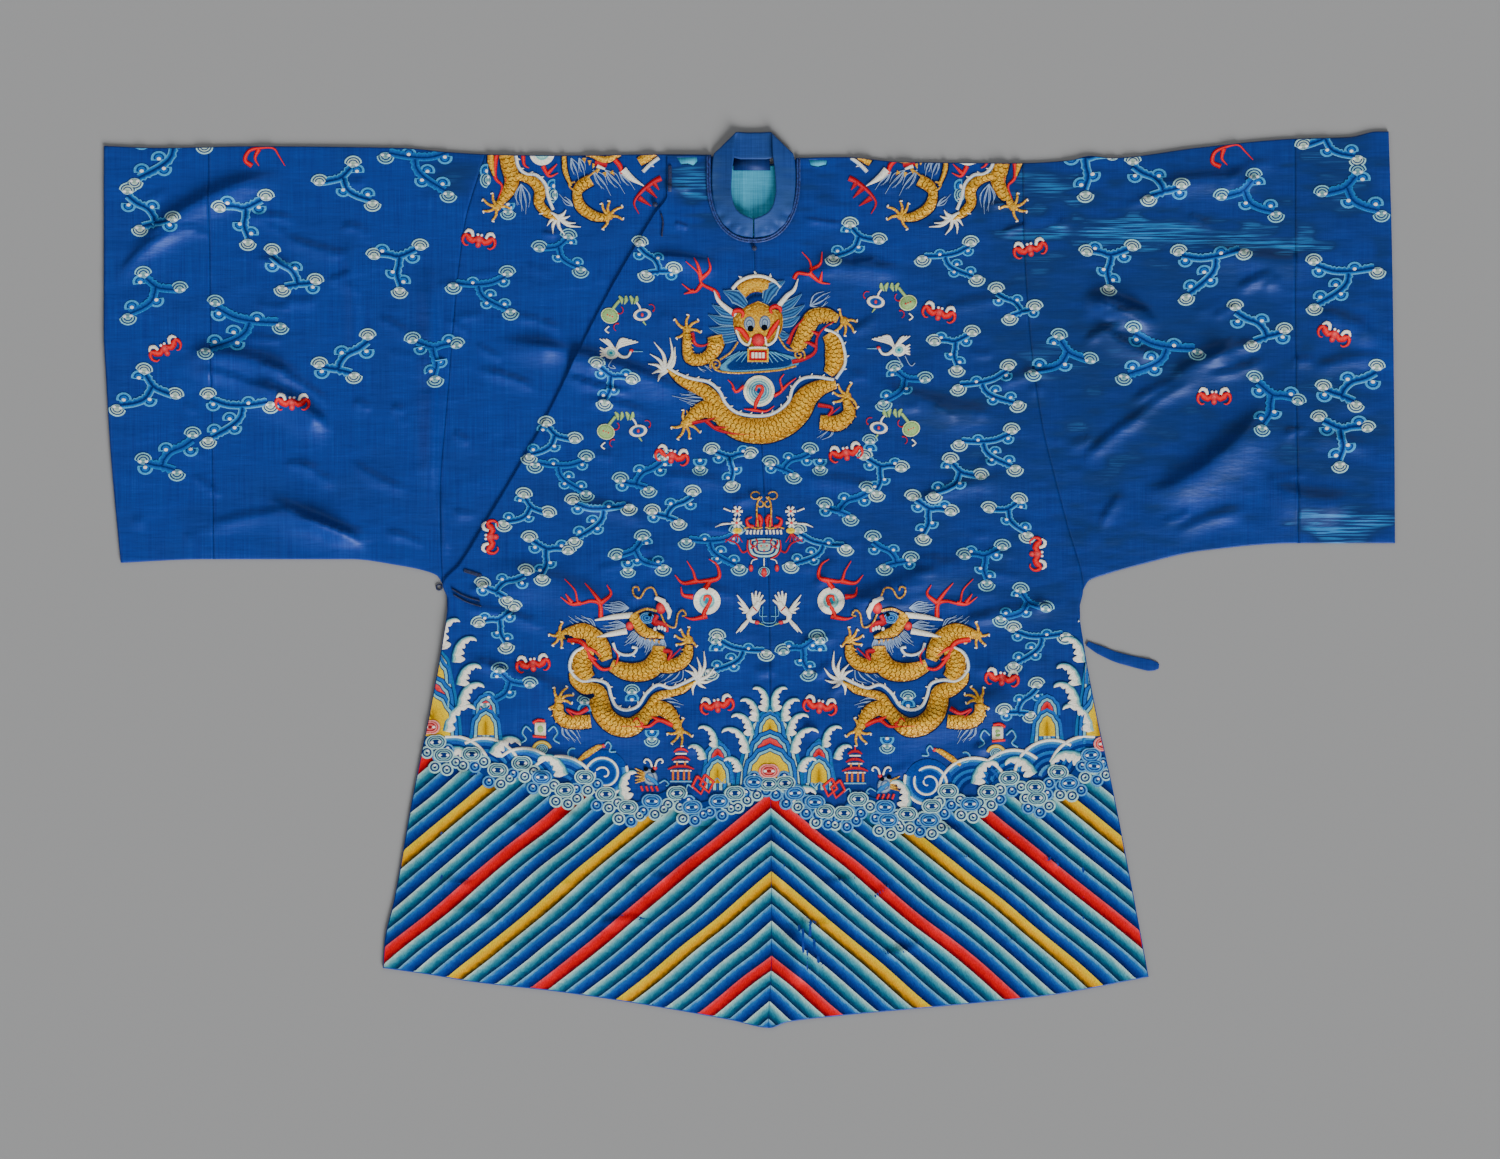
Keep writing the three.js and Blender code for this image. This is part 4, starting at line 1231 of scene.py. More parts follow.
def floss_material(finish: FlossFinish) -> bpy.types.Material:
    """Untwisted silk floss: fine strands that shine in their own dye.

    Args:
        finish: its strands and sheen.
    Returns:
        The material.
    """
    shader = Shader(finish.name)
    dye, thread = shader.attribute("dye", "Color"), shader.attribute("thread", "Vector")
    strand = shader.noise(thread, finish.strand, 1)
    fleck = shader.noise(thread, finish.fleck, 3)
    grey = shader.grey(shader.span(fleck, 0.3, 0.72, *finish.tones))
    shader.feed(shader.surface, {
        "Base Color": shader.blend(1.0, dye, grey, "MULTIPLY"), "Roughness": finish.roughness,
        "Normal": shader.bump(strand, finish.strand_height, 0.7),
        "Specular IOR Level": finish.specular,
        "Specular Tint": shader.blend(finish.own_tint, linear("#FFFFFF"), dye),
    })
    return shader.material


def gilt_material(finish: GiltFinish) -> bpy.types.Material:
    """Gilt-paper thread couched in rows over padding, worn to its red-brown core in places.

    Args:
        finish: its gilt, core and beads.
    Returns:
        The material.
    """
    shader = Shader(finish.name)
    dye, thread = shader.attribute("dye", "Color"), shader.attribute("thread", "Vector")
    placed = shader.add("ShaderNodeMapping", {"Vector": thread, "Scale": finish.bead}).outputs[0]
    beads = shader.add("ShaderNodeTexVoronoi", {
        "Vector": placed, "Scale": 1.0, "Randomness": finish.bead_random,
    }).outputs["Distance"]
    fleck = shader.noise(thread, finish.fleck, 3)
    base = shader.blend(shader.span(fleck, 0.55, 0.7), dye, linear(finish.core))
    # Painted glints: bright yellow flecks laid into the base colour
    base = shader.blend(shader.span(fleck, 0.3, 0.48, 1.0, 0.0), base, linear(finish.glint))
    height = shader.sum_or_product("ADD", beads, fleck)
    shader.feed(shader.surface, {
        "Base Color": base, "Metallic": finish.metallic, "Roughness": finish.roughness,
        "Specular Tint": linear(finish.sheen), "Normal": shader.bump(height, finish.bead_height, 0.6),
    })
    return shader.material


def floor_material() -> bpy.types.Material:
    """Plain matt grey floor."""
    shader = Shader("plain grey floor")
    shader.feed(shader.surface, {
        "Base Color": linear(FLOOR_GREY), "Roughness": 1.0, "Specular IOR Level": 0.0,
    })
    return shader.material


# Embroidery: motifs are drawn on a grid of squares this wide, and placed by the squares of the
# photograph's 1500 by 1159 frame
GRID = 1.25
FRAME_MIDDLE_U = 749.5
FRAME_MIDDLE_V = 579.25

# Height of the stitches above the cloth and of each layer above the last, the least distance from
# the robe's edges, and the height of the underarms in plan
LIFT = 0.42
LEVEL = 0.13
EDGE_MARGIN = 1.2
UNDERARM_Y = -8.0


class Silk(Enum):
    """Dye runs of floss, from one side of a stitched band to the other."""

    CORAL = ("#980814", "#EE0E1C", "#F84840", "#E80C18", "#840812")
    CRIMSON = ("#6E0814", "#BC1420", "#DC3440", "#A8101E")
    CREAM = ("#CFC8B0", "#FFFBEA", "#FFFDF2", "#E4DEC6")
    SPINE = ("#2A6CB0", "#DCE9EC", "#FFFDF2", "#F4EFDC")
    ARM = ("#6FBEE2", "#2F86CA", "#1C5EAC", "#081C58", "#0E3A86", "#2474BE", "#5FB2DC")
    ARM_DEEP = ("#2F86C8", "#1C64B2", "#144E9C", "#081C58", "#144E9C", "#1C64B2", "#2F86C8")
    CURL = ("#9AD3E4", "#3D92C6", "#1A4F92")
    HAIR = ("#1B2E72", "#A9C6E8", "#1B2E72")
    TEAL = ("#84B8DC", "#0B2A6C", "#4684BC", "#0A2460", "#4684BC", "#0B2A6C", "#84B8DC")
    SEA = ("#1B57B0", "#3E93D4", "#1B57B0")
    NAVY = ("#0A1E55", "#12307A", "#0A1E55")
    GOLD = ("#94590F", "#E8A21E", "#FBC038", "#E8A21E", "#94590F")
    GOLD_LINE = ("#9A6014", "#E2A53A", "#9A6014")
    YELLOW = ("#F7D62A", "#E9B81C")
    LEAF = ("#6F9A4A", "#B4D08A", "#6F9A4A")


class Dots(Enum):
    """Rings of colour from a shape's middle to its rim, each with its part of the radius."""

    CAP = ((0, "#3E7C94"), (0.2, "#7FAFB0"), (0.34, "#9CC6BE"), (0.38, "#123A78"), (0.5, "#123A78"),
           (0.54, "#8FC0BE"), (0.66, "#7FB4B8"), (0.7, "#0C2F6C"), (0.82, "#0C2F6C"), (0.86, "#9AD4DC"),
           (1, "#6FB6CE"))
    PALE_CAP = ((0, "#7FA49A"), (0.3, "#BFD6C4"), (0.38, "#BFD6C4"), (0.42, "#1C3F74"), (0.52, "#1C3F74"),
                (0.56, "#C9DFCC"), (0.66, "#A9C8BA"), (0.7, "#12346E"), (0.81, "#12346E"), (0.85, "#BFE4DE"),
                (1, "#8CC8D0"))
    CURL = ((0, "#1B5FB0"), (0.4, "#1E6FC0"), (0.5, "#0C2F7C"), (0.62, "#0C2F7C"), (0.7, "#3E96D0"),
            (1, "#4FA6DA"))
    BAND_HEAD = ((0, "#0E2F74"), (0.34, "#0E2F74"), (0.38, "#9CCBC4"), (0.48, "#8FC0BC"), (0.51, "#0E2F6C"),
                 (0.6, "#0E2F6C"), (0.63, "#8FC4C0"), (0.73, "#7FB4B4"), (0.76, "#0E2F6C"), (0.84, "#0E2F6C"),
                 (0.87, "#BFE4DC"), (1, "#A4D2CE"))
    BLUE_HEAD = ((0, "#0E2F78"), (0.2, "#0E2F78"), (0.26, "#4E96CC"), (0.42, "#2464B4"), (0.46, "#0E2F78"),
                 (0.56, "#0E2F78"), (0.6, "#5AA4D4"), (0.74, "#2464B4"), (0.78, "#0E2F78"), (0.83, "#0E2F78"),
                 (0.86, "#7FBCDC"), (1, "#3A80C0"))
    RED_HEAD = ((0, "#A01820"), (0.2, "#A01820"), (0.26, "#F48A80"), (0.42, "#E8343C"), (0.48, "#8E101C"),
                (0.56, "#8E101C"), (0.6, "#F6A096"), (0.74, "#E8343C"), (0.79, "#8E101C"), (0.84, "#F9B8AC"),
                (1, "#F07068"))
    DEEP = ((0, "#0E3F96"), (1, "#0E3F96"))
    SNAIL = ((0, "#0E2F6C"), (0.2, "#0E2F6C"), (0.26, "#A8D2CC"), (0.44, "#8FC0BE"), (0.5, "#0E2F6C"),
             (0.7, "#0E2F6C"),
             (0.75, "#B9E0D8"), (1, "#9CCCCA"))
    SNAIL_BLUE = ((0, "#0E2F78"), (0.2, "#0E2F78"), (0.26, "#5AA4D4"), (0.44, "#2464B4"), (0.5, "#0E2F78"),
                  (0.7, "#0E2F78"), (0.75, "#6FB2DA"), (1, "#2E74BC"))
    EYE = ((0, "#FFFFFF"), (1, "#F4EEE6"))
    PUPIL = ((0, "#05070F"), (1, "#0A0E1E"))
    EYE_PATCH = ((0, "#5C80A8"), (0.35, "#A4B8C8"), (0.5, "#1E3F78"), (0.7, "#A8BCC8"), (1, "#1A3C78"))
    PEARL = ((0, "#0B2E66"), (0.16, "#12508A"), (0.2, "#6FB8C8"), (0.3, "#0E4478"), (0.36, "#8CCBD0"),
             (0.48, "#15588A"), (0.53, "#A9DAD4"), (0.64, "#2E7E9C"), (0.69, "#D6EADA"), (0.8, "#8DB7A4"),
             (0.84, "#FBF6DE"), (1, "#F2EAC6"))
    BEARD = ((0, "#0B2A6C"), (0.8, "#0D3478"), (0.86, "#5FA4C4"), (1, "#4A94BC"))
    MOON = ((0, "#1F7F98"), (0.2, "#2E94A8"), (0.26, "#7FC8C4"), (0.4, "#A9DCD0"), (0.5, "#4FAAB4"),
            (0.58, "#BFE4D6"),
            (0.62, "#FFFBEC"), (1, "#FBF4DE"))
    RED = ((0, "#F2685E"), (0.55, "#E8343C"), (1, "#A3141F"))
    YELLOW = ((0, "#E0A01A"), (0.3, "#F2C81E"), (0.8, "#F9DE3A"), (1, "#D8A81C"))
    GOLD = ((0, "#EFB63A"), (0.6, "#DC9A22"), (1, "#8A5210"))
    GOURD = ((0, "#A8CC86"), (0.7, "#9CC27C"), (0.86, "#6F9A4A"), (0.9, "#DDE8B4"), (1, "#C8DC9C"))
    FRUIT = ((0, "#16307A"), (0.5, "#1E4A9C"), (0.64, "#3A6EA8"), (0.7, "#FFF6E8"), (1, "#E8DCC8"))


@dataclass(frozen=True)
class Stamp:
    """Where a motif is laid: its origin in millimetres, its turn, its size and its hand."""

    x: float
    y: float
    turn: float = 0.0
    scale: float = GRID
    flip: bool = False

    def plan(self, points: Array) -> Array:
        """Plan points of a motif's own points.

        Args:
            points: points of the drawing.
        Returns:
            Points of the plan.
        """
        drawn = np.asarray(points, float) * self.scale * (-1 if self.flip else 1, 1)
        sine, cosine = math.sin(math.radians(self.turn)), math.cos(math.radians(self.turn))
        return drawn @ np.array([[cosine, sine], [-sine, cosine]]) + (self.x, self.y)

    def at(self, x: float, y: float, turn: float = 0.0, scale: float = 1.0, flip: bool = False) -> "Stamp":
        """Stamp at a place in this stamp's own drawing.

        Args:
            x: place across.
            y: place up.
            turn: its turn in degrees.
            scale: its size against this stamp's.
            flip: whether it is its mirror image.
        Returns:
            The stamp.
        """
        place = self.plan(np.array([[x, y]]))[0]
        turned = self.turn + (-turn if self.flip else turn)
        return Stamp(place[0], place[1], turned, self.scale * scale, self.flip != flip)

    def mirrored(self, flip: bool) -> "Stamp":
        """This stamp, or its mirror image."""
        return self.at(0, 0, flip=flip)


def spot(u: float, v: float, turn: float = 0.0, scale: float = 1.0, flip: bool = False) -> Stamp:
    """Stamp at a square of the photograph's frame.

    Args:
        u: square from the frame's left.
        v: square from its top.
        turn: the stamp's turn in degrees.
        scale: its size.
        flip: whether it is its mirror image.
    Returns:
        The stamp.
    """
    return Stamp((u - FRAME_MIDDLE_U) * GRID, (FRAME_MIDDLE_V - v) * GRID, turn, GRID * scale, flip)


# Part of a spiral's radius at which it starts
COIL_MIDDLE = 0.08


def dyes(codes: Iterable[str]) -> Array:
    """Linear colours of several codes."""
    return np.array([linear(code)[:3] for code in codes])


def arc(x: float, y: float, radius: float, start: float, end: float, squash: float = 1.0) -> Array:
    """Points of an arc.

    Args:
        x: its middle across.
        y: its middle up.
        radius: its half width.
        start: angle in degrees at which it starts.
        end: angle at which it ends.
        squash: its height against its width.
    Returns:
        The points in order.
    """
    angle = np.radians(np.linspace(start, end, max(int(abs(end - start) / 18), 3) + 1))
    return np.stack([x + radius * np.cos(angle), y + squash * radius * np.sin(angle)], axis=1)


def coil(radius: float, turns: float, start: float = 0.0) -> Array:
    """Points of a spiral from its middle to its rim.

    Args:
        radius: of its rim.
        turns: how often it goes round.
        start: angle in degrees at which it starts.
    Returns:
        The points in order.
    """
    part = np.linspace(COIL_MIDDLE, 1, int(turns * 18))
    angle = math.radians(start) + 2 * np.pi * turns * part
    return radius * part[:, None] * np.stack([np.cos(angle), np.sin(angle)], axis=1)


class Needle:
    """Lays floss and gilt thread on the robe's outer cloth."""

    # How far the grain of a motif's threads shifts with its place, and the smallest face kept
    grain_shift = 3.1
    least_area = 0.004
    # Frill: its waves along a band; notch: how narrow the pinch of an oval is
    frill_waves = 0.55
    notch_width = 0.28

    def __init__(self, name: str) -> None:
        """Starts with nothing stitched.

        Args:
            name: its name.
        """
        self.name = name
        self.floss = MeshParts()
        self.gilt = MeshParts()

    def lay(self, stamp: Stamp, grid: Array, tones: Array, lift: Array, gilt: bool = False) -> None:
        """Stitches a grid of points.

        Args:
            stamp: where the motif lies.
            grid: rows by columns of the motif's own points.
            tones: one colour for each column.
            lift: height of each column above the cloth, in millimetres.
            gilt: whether it is couched gilt thread, not floss.
        """
        rows, columns = grid.shape[:2]
        plan = stamp.plan(grid.reshape(-1, 2))
        steps = np.linalg.norm(np.diff(grid, axis=0), axis=2).mean(axis=1)
        along = np.repeat(np.r_[0, np.cumsum(steps)] * stamp.scale, columns)
        middle = grid.mean(axis=1, keepdims=True)
        across = np.linalg.norm(grid - middle, axis=2).ravel() * stamp.scale
        side = np.tile(np.sign(np.arange(columns) - (columns - 1) / 2), rows)
        start = plan[0] * self.grain_shift
        parts_to = self.gilt if gilt else self.floss
        face = grid_faces(rows, columns)
        a, b, c = (plan[face[:, k]] for k in range(3))
        turned = np.cross(b - a, c - a).sum() < 0
        heights = np.broadcast_to(lift, (rows, columns)).reshape(-1, 1)
        parts_to.add(np.hstack([plan, heights]), np.tile(tones, (rows, 1)),
                     np.stack([along + start[0], across * side + start[1], 0 * along], axis=1),
                     face[:, ::-1] if turned else face)

    def band(self, stamp: Stamp, route: Sequence[Point] | Array, width: float | Sequence[float],
             silk: Silk | Sequence[str], level: int = 0, gilt: bool = False, frill: float = 0.0,
             step: float = 2.4, dome: float = 0.5, smooth: bool = True) -> None:
        """Stitches a band along a route.

        Args:
            stamp: where the motif lies.
            route: points along the band's middle.
            width: its width, or widths at the route's points.
            silk: its colours from one side to the other.
            level: which layer of stitches it lies in.
            gilt: whether it is gilt thread.
            frill: how far one side waves out.
            step: about how far apart its rows of stitches are.
            dome: how high its middle is padded.
            smooth: whether it curves through the route's points.
        """
        given = np.asarray(route, float)
        line = through(given, step) if smooth else given
        normal = left_of(directions(line))
        along, marks = lengths_along(line), lengths_along(given)
        widths = np.atleast_1d(width) / 2
        places = marks / marks[-1] if len(widths) == len(marks) else np.linspace(0, 1, len(widths))
        half = np.interp(along / along[-1], places, widths)[:, None]
        codes = silk.value if isinstance(silk, Silk) else silk
        place = np.linspace(-1, 1, len(codes))[None]
        offset = half * place
        if frill:
            wave = np.abs(np.sin(along[:, None] * self.frill_waves))
            offset = offset * np.where(place > 0, 1 + frill * wave, 1)
        grid = line[:, None] + normal[:, None] * offset[..., None]
        lift = LIFT + level * LEVEL + dome * (1 - place[0] ** 2)
        self.lay(stamp, grid, dyes(codes), lift, gilt)

    def disc(self, stamp: Stamp, x: float, y: float, wide: float, high: float, dots: Dots, level: int = 0,
             notch: float = 0.0, turn: float = 0.0, segments: int = 16, dome: float = 0.5,
             gilt: bool = False) -> None:
        """Stitches an oval in rings of colour.

        Args:
            stamp: where the motif lies.
            x: the oval's middle across.
            y: its middle up.
            wide: its half width.
            high: its half height.
            dots: its colours from the middle to the rim.
            level: which layer of stitches it lies in.
            notch: how far its top and bottom are pinched in.
            turn: its turn in degrees.
            segments: how many sides it has.
            dome: how high its middle is padded.
            gilt: whether it is gilt thread.
        """
        angle = np.linspace(0, 2 * np.pi, segments + 1)
        rim = np.stack([wide * np.cos(angle), high * np.sin(angle)], axis=1)
        rim[:, 1] *= 1 - notch * np.exp(-((np.cos(angle) / self.notch_width) ** 2))
        self.shape(stamp.at(x, y, turn), rim, dots, level, dome, gilt)

    def shape(self, stamp: Stamp, rim: Sequence[Point] | Array, dots: Dots, level: int = 0, dome: float = 0.5,
              gilt: bool = False, middle: Point | None = None) -> None:
        """Stitches a shape in rings of colour from its middle to a closed rim.

        Args:
            stamp: where the motif lies.
            rim: the shape's outline.
            dots: its colours from the middle to the rim.
            level: which layer of stitches it lies in.
            dome: how high its middle is padded.
            gilt: whether it is gilt thread.
            middle: its middle, where that isn't the mean of its outline.
        """
        rim = np.asarray(rim, float)
        if not np.allclose(rim[0], rim[-1]):
            rim = np.concatenate([rim, rim[:1]])
        reach = np.array([part for part, _ in dots.value])[None, :, None]
        middle = rim[:-1].mean(axis=0) if middle is None else np.array(middle)
        grid = middle + (rim[:, None] - middle) * reach
        lift = LIFT + level * LEVEL + dome * (1 - reach[0, :, 0] ** 2)
        self.lay(stamp, grid, dyes(code for _, code in dots.value), lift, gilt)

    def build(self) -> list[tuple[bpy.types.Object, bool]]:
        """Makes the stitched pieces: each object, and whether it is gilt."""
        made = []
        for thread, is_gilt in ((self.floss, False), (self.gilt, True)):
            if not thread.count:
                continue
            x, y, lift = np.concatenate(thread.points).T
            x, y = hold_on_cloth(x, y)
            points = np.stack([x, y, Drape.outer_top(x, y) + lift], axis=1)
            faces = np.concatenate(thread.faces)
            corner = points[faces][..., :2]
            area = np.abs(np.cross(corner[:, 2] - corner[:, 0], corner[:, 3] - corner[:, 1]))
            piece = make_object(f"{self.name}_{'gilt' if is_gilt else 'floss'}", points,
                                [faces[area > self.least_area]])
            dye = piece.data.attributes.new("dye", "FLOAT_COLOR", "POINT")
            colour = np.concatenate(thread.colours)
            dye.data.foreach_set("color", np.c_[colour, np.ones(len(colour))].astype(np.float32).ravel())
            set_point_vectors(piece, "thread", np.concatenate(thread.threads))
            made.append((piece, is_gilt))
        return made


def hold_on_cloth(x: Array, y: Array) -> tuple[Array, Array]:
    """Keeps stitches inside the robe's outline.

    Args:
        x: plan x of each stitch.
        y: its plan y.
    Returns:
        Plan x and y, moved in from the edges where they passed them.
    """
    in_body = y < UNDERARM_Y
    x = np.where(in_body, np.clip(x, BODY_RIGHT(y) + EDGE_MARGIN, BODY_LEFT(y) - EDGE_MARGIN), x)
    x = np.clip(x, CUFF_EDGE_RIGHT(y) + EDGE_MARGIN, CUFF_EDGE_LEFT(y) - EDGE_MARGIN)
    under = np.where(x < NECK_X, UNDERSLEEVE_RIGHT(x), UNDERSLEEVE_LEFT(x))
    between = (x > UNDERARM_RIGHT_X) & (x < UNDERARM_LEFT_X)
    low = np.where(in_body | between, HEM(x), under)
    return x, np.clip(y, low + EDGE_MARGIN, shoulder(x) - EDGE_MARGIN)


class Clouds(Needle):
    """Five-coloured clouds on branching stems."""

    # Scale of every cap, whatever its group's own size
    cap_scale = 1.26
    # Each kind: arms, curls as (x, y, turn), and caps as (x, y, turn)
    kinds = (
        ((((-24, 15), (-14, 8), (-2, 3), (5, -5), (8, -11), (24, -8)), ((8, -11), (0, -13), (-6, -15))),
         ((-22, 5, 180), (3, 6, 0), (24, -13, 180)), ((-24, 22, 0), (26, -4, 0), (-8, -20, 180))),
        ((((-29, 20), (-10, 13), (11, 12), (33, 14)), ((5, 10), (2, 0), (-8, -9), (-29, -20))),
         ((-26, 14, 180), (12, 15, 0), (-9, -1, 0), (-4, -12, 180), (-26, -13, 0)),
         ((-31, 26, 0), (36, 9, 180), (-33, -26, 180))),
        ((((-24, 2), (-12, 4), (-3, 7), (7, 17)), ((-3, 7), (2, -6), (12, -13), (27, -18))),
         ((13, 14, 0), (-2, -7, 180), (24, -11, 0)), ((9, 23, 0), (-27, 4, 0), (29, -23, 180))),
        ((((-20, 13), (-8, 13), (2, 12), (19, 21)), ((2, 12), (2, 3), (1, -6), (6, -18))),
         ((-16, 17, 0), (16, 13, 180), (-3, -5, 180), (9, -13, 0)),
         ((-24, 12, 0), (23, 26, 0), (6, -25, 180))),
    )

    def cap(self, stamp: Stamp, pale: bool = False) -> None:
        """Mushroom-shaped cloud head: wide above, with two eyes at its foot.

        Args:
            stamp: where the motif lies.
            pale: whether it is the paler kind.
        """
        upper = arc(0, -0.6, 8.8, 0, 180, 0.82)
        lower = arc(0, -0.6, 6.6, 198, 342, 0.72)
        self.shape(stamp, [*upper, *lower], Dots.PALE_CAP if pale else Dots.CAP, 2, 0.4, middle=(0, -1.8))
        for side in (-1, 1):
            self.disc(stamp, side * 2.9, -2.2, 2.1, 1.6, Dots.EYE, 4, segments=8, dome=0.25)

    def curl(self, stamp: Stamp) -> None:
        """Small blue cloud on a stem, with a white dot at its root."""
        self.shape(stamp, [*arc(0, 0, 7.2, -20, 200, 0.86)], Dots.CURL, 1, 0.3, middle=(0, 0.6))
        self.disc(stamp, 0, -0.6, 1.9, 1.5, Dots.EYE, 4, segments=8, dome=0.25)

    def group(self, place: Stamp, kind: int, deep: bool) -> None:
        """Branching stem with its caps and curls.

        Args:
            place: where the motif lies.
            kind: which branching it has.
            deep: whether its stem is the darker kind.
        """
        arms, curls, caps = self.kinds[kind]
        for x, y, turn in curls:
            self.curl(place.at(x, y, turn, 1.12))
        for arm in arms:
            self.band(place, arm, 7.4, Silk.ARM_DEEP if deep else Silk.ARM, 2, dome=0.2, frill=0.6)
        for x, y, turn in caps:
            self.cap(place.at(x, y, turn, self.cap_scale / place.scale), not deep)

    def scatter(self, places: Sequence[Point], sizes: tuple[float, float], seed: int) -> None:
        """Groups at places of the frame, each a little unlike the next.

        Args:
            places: squares of the frame.
            sizes: smallest and largest size.
            seed: seed of its random draws.
        """
        luck = np.random.default_rng(seed)
        for index, (u, v) in enumerate(places):
            turn, size = luck.uniform(-12, 12), luck.uniform(*sizes)
            stamp = spot(u, v, turn, size, bool(luck.integers(2)))
            self.group(stamp, (index * 3 + seed) % 4, luck.random() < 0.5)


class Creatures(Needle):
    """Bats, cranes, pearls and coral flames."""

    def bat(self, stamp: Stamp) -> None:
        """Red bat with white-edged, curled wings.

        Args:
            stamp: where the motif lies.
        """
        for side in (1, -1):
            wing = stamp.mirrored(side < 0)
            self.band(wing, ((2.5, 1), (6, -1.5), (10, 1), (12.6, 3.4)), (4.5, 6.5, 7.4, 3.5), Silk.CORAL, 2)
            self.band(wing, ((12.2, 4), (15.4, 1.5), (15.8, -3.5), (12.4, -7), (9.6, -6.4)),
                      (4.2, 3.6, 2.6, 1.8, 1.0), Silk.CORAL, 3)
            self.band(wing, ((6.4, 2.2), (8, 6.6), (12, 7.8), (15, 4.6)), (2.4, 3.6, 3.4, 1.2), Silk.CREAM, 4)
            self.disc(wing, 1.9, 5, 1.3, 1.3, Dots.EYE, 6, segments=8, dome=0.3)
        self.disc(stamp, 0, 0.5, 4.2, 4.6, Dots.RED, 4)
        self.disc(stamp, 0, -4.6, 2.8, 3.2, Dots.RED, 3)

    def coral(self, stamp: Stamp, *branches: Sequence[Point], width: float = 5.0,
              silk: Silk = Silk.CORAL, level: int = 2) -> None:
        """Branching red flame, like coral: each branch tapers to its tip.

        Args:
            stamp: where the motif lies.
            branches: points of each branch.
            width: how thick a branch starts.
            silk: its colours from one side to the other.
            level: which layer of stitches it lies in.
        """
        for branch in branches:
            taper = np.linspace(width, 0.9, len(branch))
            self.band(stamp, branch, taper, silk, level, dome=0.7)

    def pearl(self, stamp: Stamp, radius: float = 15.0, open_moon: bool = False) -> None:
        """Flaming pearl in rings, with a red comma.

        Args:
            stamp: where the motif lies.
            radius: its radius.
            open_moon: whether it is the paler kind.
        """
        self.disc(stamp, 0, 0, radius, radius, Dots.MOON if open_moon else Dots.PEARL, 3, segments=28)
        self.band(stamp, ((-3, 0), (-2, 4.5), (2.5, 4.5), (3.4, 0.5), (0, -6), (-3, -12), (-4, -18)),
                  (2.0, 3.6, 4.2, 4.4, 4.4, 4.4, 2.2), Silk.CORAL, 5, dome=0.6)

    def crane(self, stamp: Stamp) -> None:
        """Flying white crane with a red crown.

        Args:
            stamp: where the motif lies.
        """
        self.disc(stamp, -6, 0, 7.5, 6.4, Dots.MOON, 2, turn=-12)
        for y in (5.5, 2, -1.5, -4.6):
            self.band(stamp, ((-12, 0.4 * y), (-17, y)), (3.2, 1.4), Silk.CREAM, 1)
        for lift, reach in ((0, 21), (2.2, 19), (4.4, 15), (6.4, 11)):
            self.band(stamp, ((-1, 3), (4, 7 + lift), (reach, 11 + 0.4 * lift)), (2.4, 2.8, 1.2), Silk.CREAM,
                      3)
        for lift in (0, 3, 6):
            self.band(stamp, ((-2, 3), (-8, 8 + lift * 0.6), (-17 + lift, 14)), (2.4, 2.6, 1), Silk.CREAM, 3)
        self.band(stamp, ((-1, 0), (5, -4), (11, -3.5), (14, 1.5)), (4.4, 3, 2.4, 2.2), Silk.CREAM, 3)
        self.disc(stamp, 14.4, 2.2, 2.2, 1.7, Dots.RED, 4, segments=10)
        self.band(stamp, ((16, 1.6), (26, 1.4)), (1.6, 0.7), Silk.CURL, 3, dome=0.2)
        for x, foot in ((-12, -22), (-4, -4)):
            self.band(stamp, ((x, -6), (x - 4, -14), (foot + 3, -16), (foot, -13)), 1.1, Silk.HAIR, 3,
                      dome=0.2)

    def gourds(self, stamp: Stamp) -> None:
        """Hanging gourd and fruit on one leafy stalk.

        Args:
            stamp: where the motif lies.
        """
        for x, turn in ((-8, 20), (-3, -10), (3, 12), (8, -20)):
            self.band(stamp.at(x, 15, turn), ((0, 4), (1.2, 0), (0, -5)), (2, 4.6, 1.2), Silk.LEAF, 2,
                      dome=0.3)
        self.band(stamp, ((-9, 14), (-13, 9), (-17, 4)), 3.2, Silk.LEAF, 2)
        self.disc(stamp, -19, -2, 9.6, 8.2, Dots.GOURD, 3, turn=-20)
        for x, y in ((-19, -2), (-21.6, -1), (-16.4, -3)):
            self.disc(stamp, x, y, 1.1, 1.1, Dots.RED, 5, segments=8)
        self.band(stamp, ((9, 12), (12, 8), (13, 4)), 2, Silk.CREAM, 2)
        self.disc(stamp, 15, -1, 9.6, 6.4, Dots.FRUIT, 3, turn=8)
        self.disc(stamp, 15, -1, 2, 2.6, Dots.RED, 5, segments=8)
        self.band(stamp, ((16, -8), (19, -12)), (2.4, 1), Silk.LEAF, 2)
        for x, y, turn in ((-9, 4, 0), (24, 6, 60), (-11, -14, 190)):
            self.band(stamp.at(x, y, turn), arc(0, 0, 4, -120, 60), (1.8, 1.8, 1, 1, 1, 1, 1, 1, 1, 1, 0.8),
                      Silk.CRIMSON, 2, dome=0.3)
        self.band(stamp, ((-20, -13), (-24, -17), (-20, -20)), 1.6, Silk.CREAM, 2)


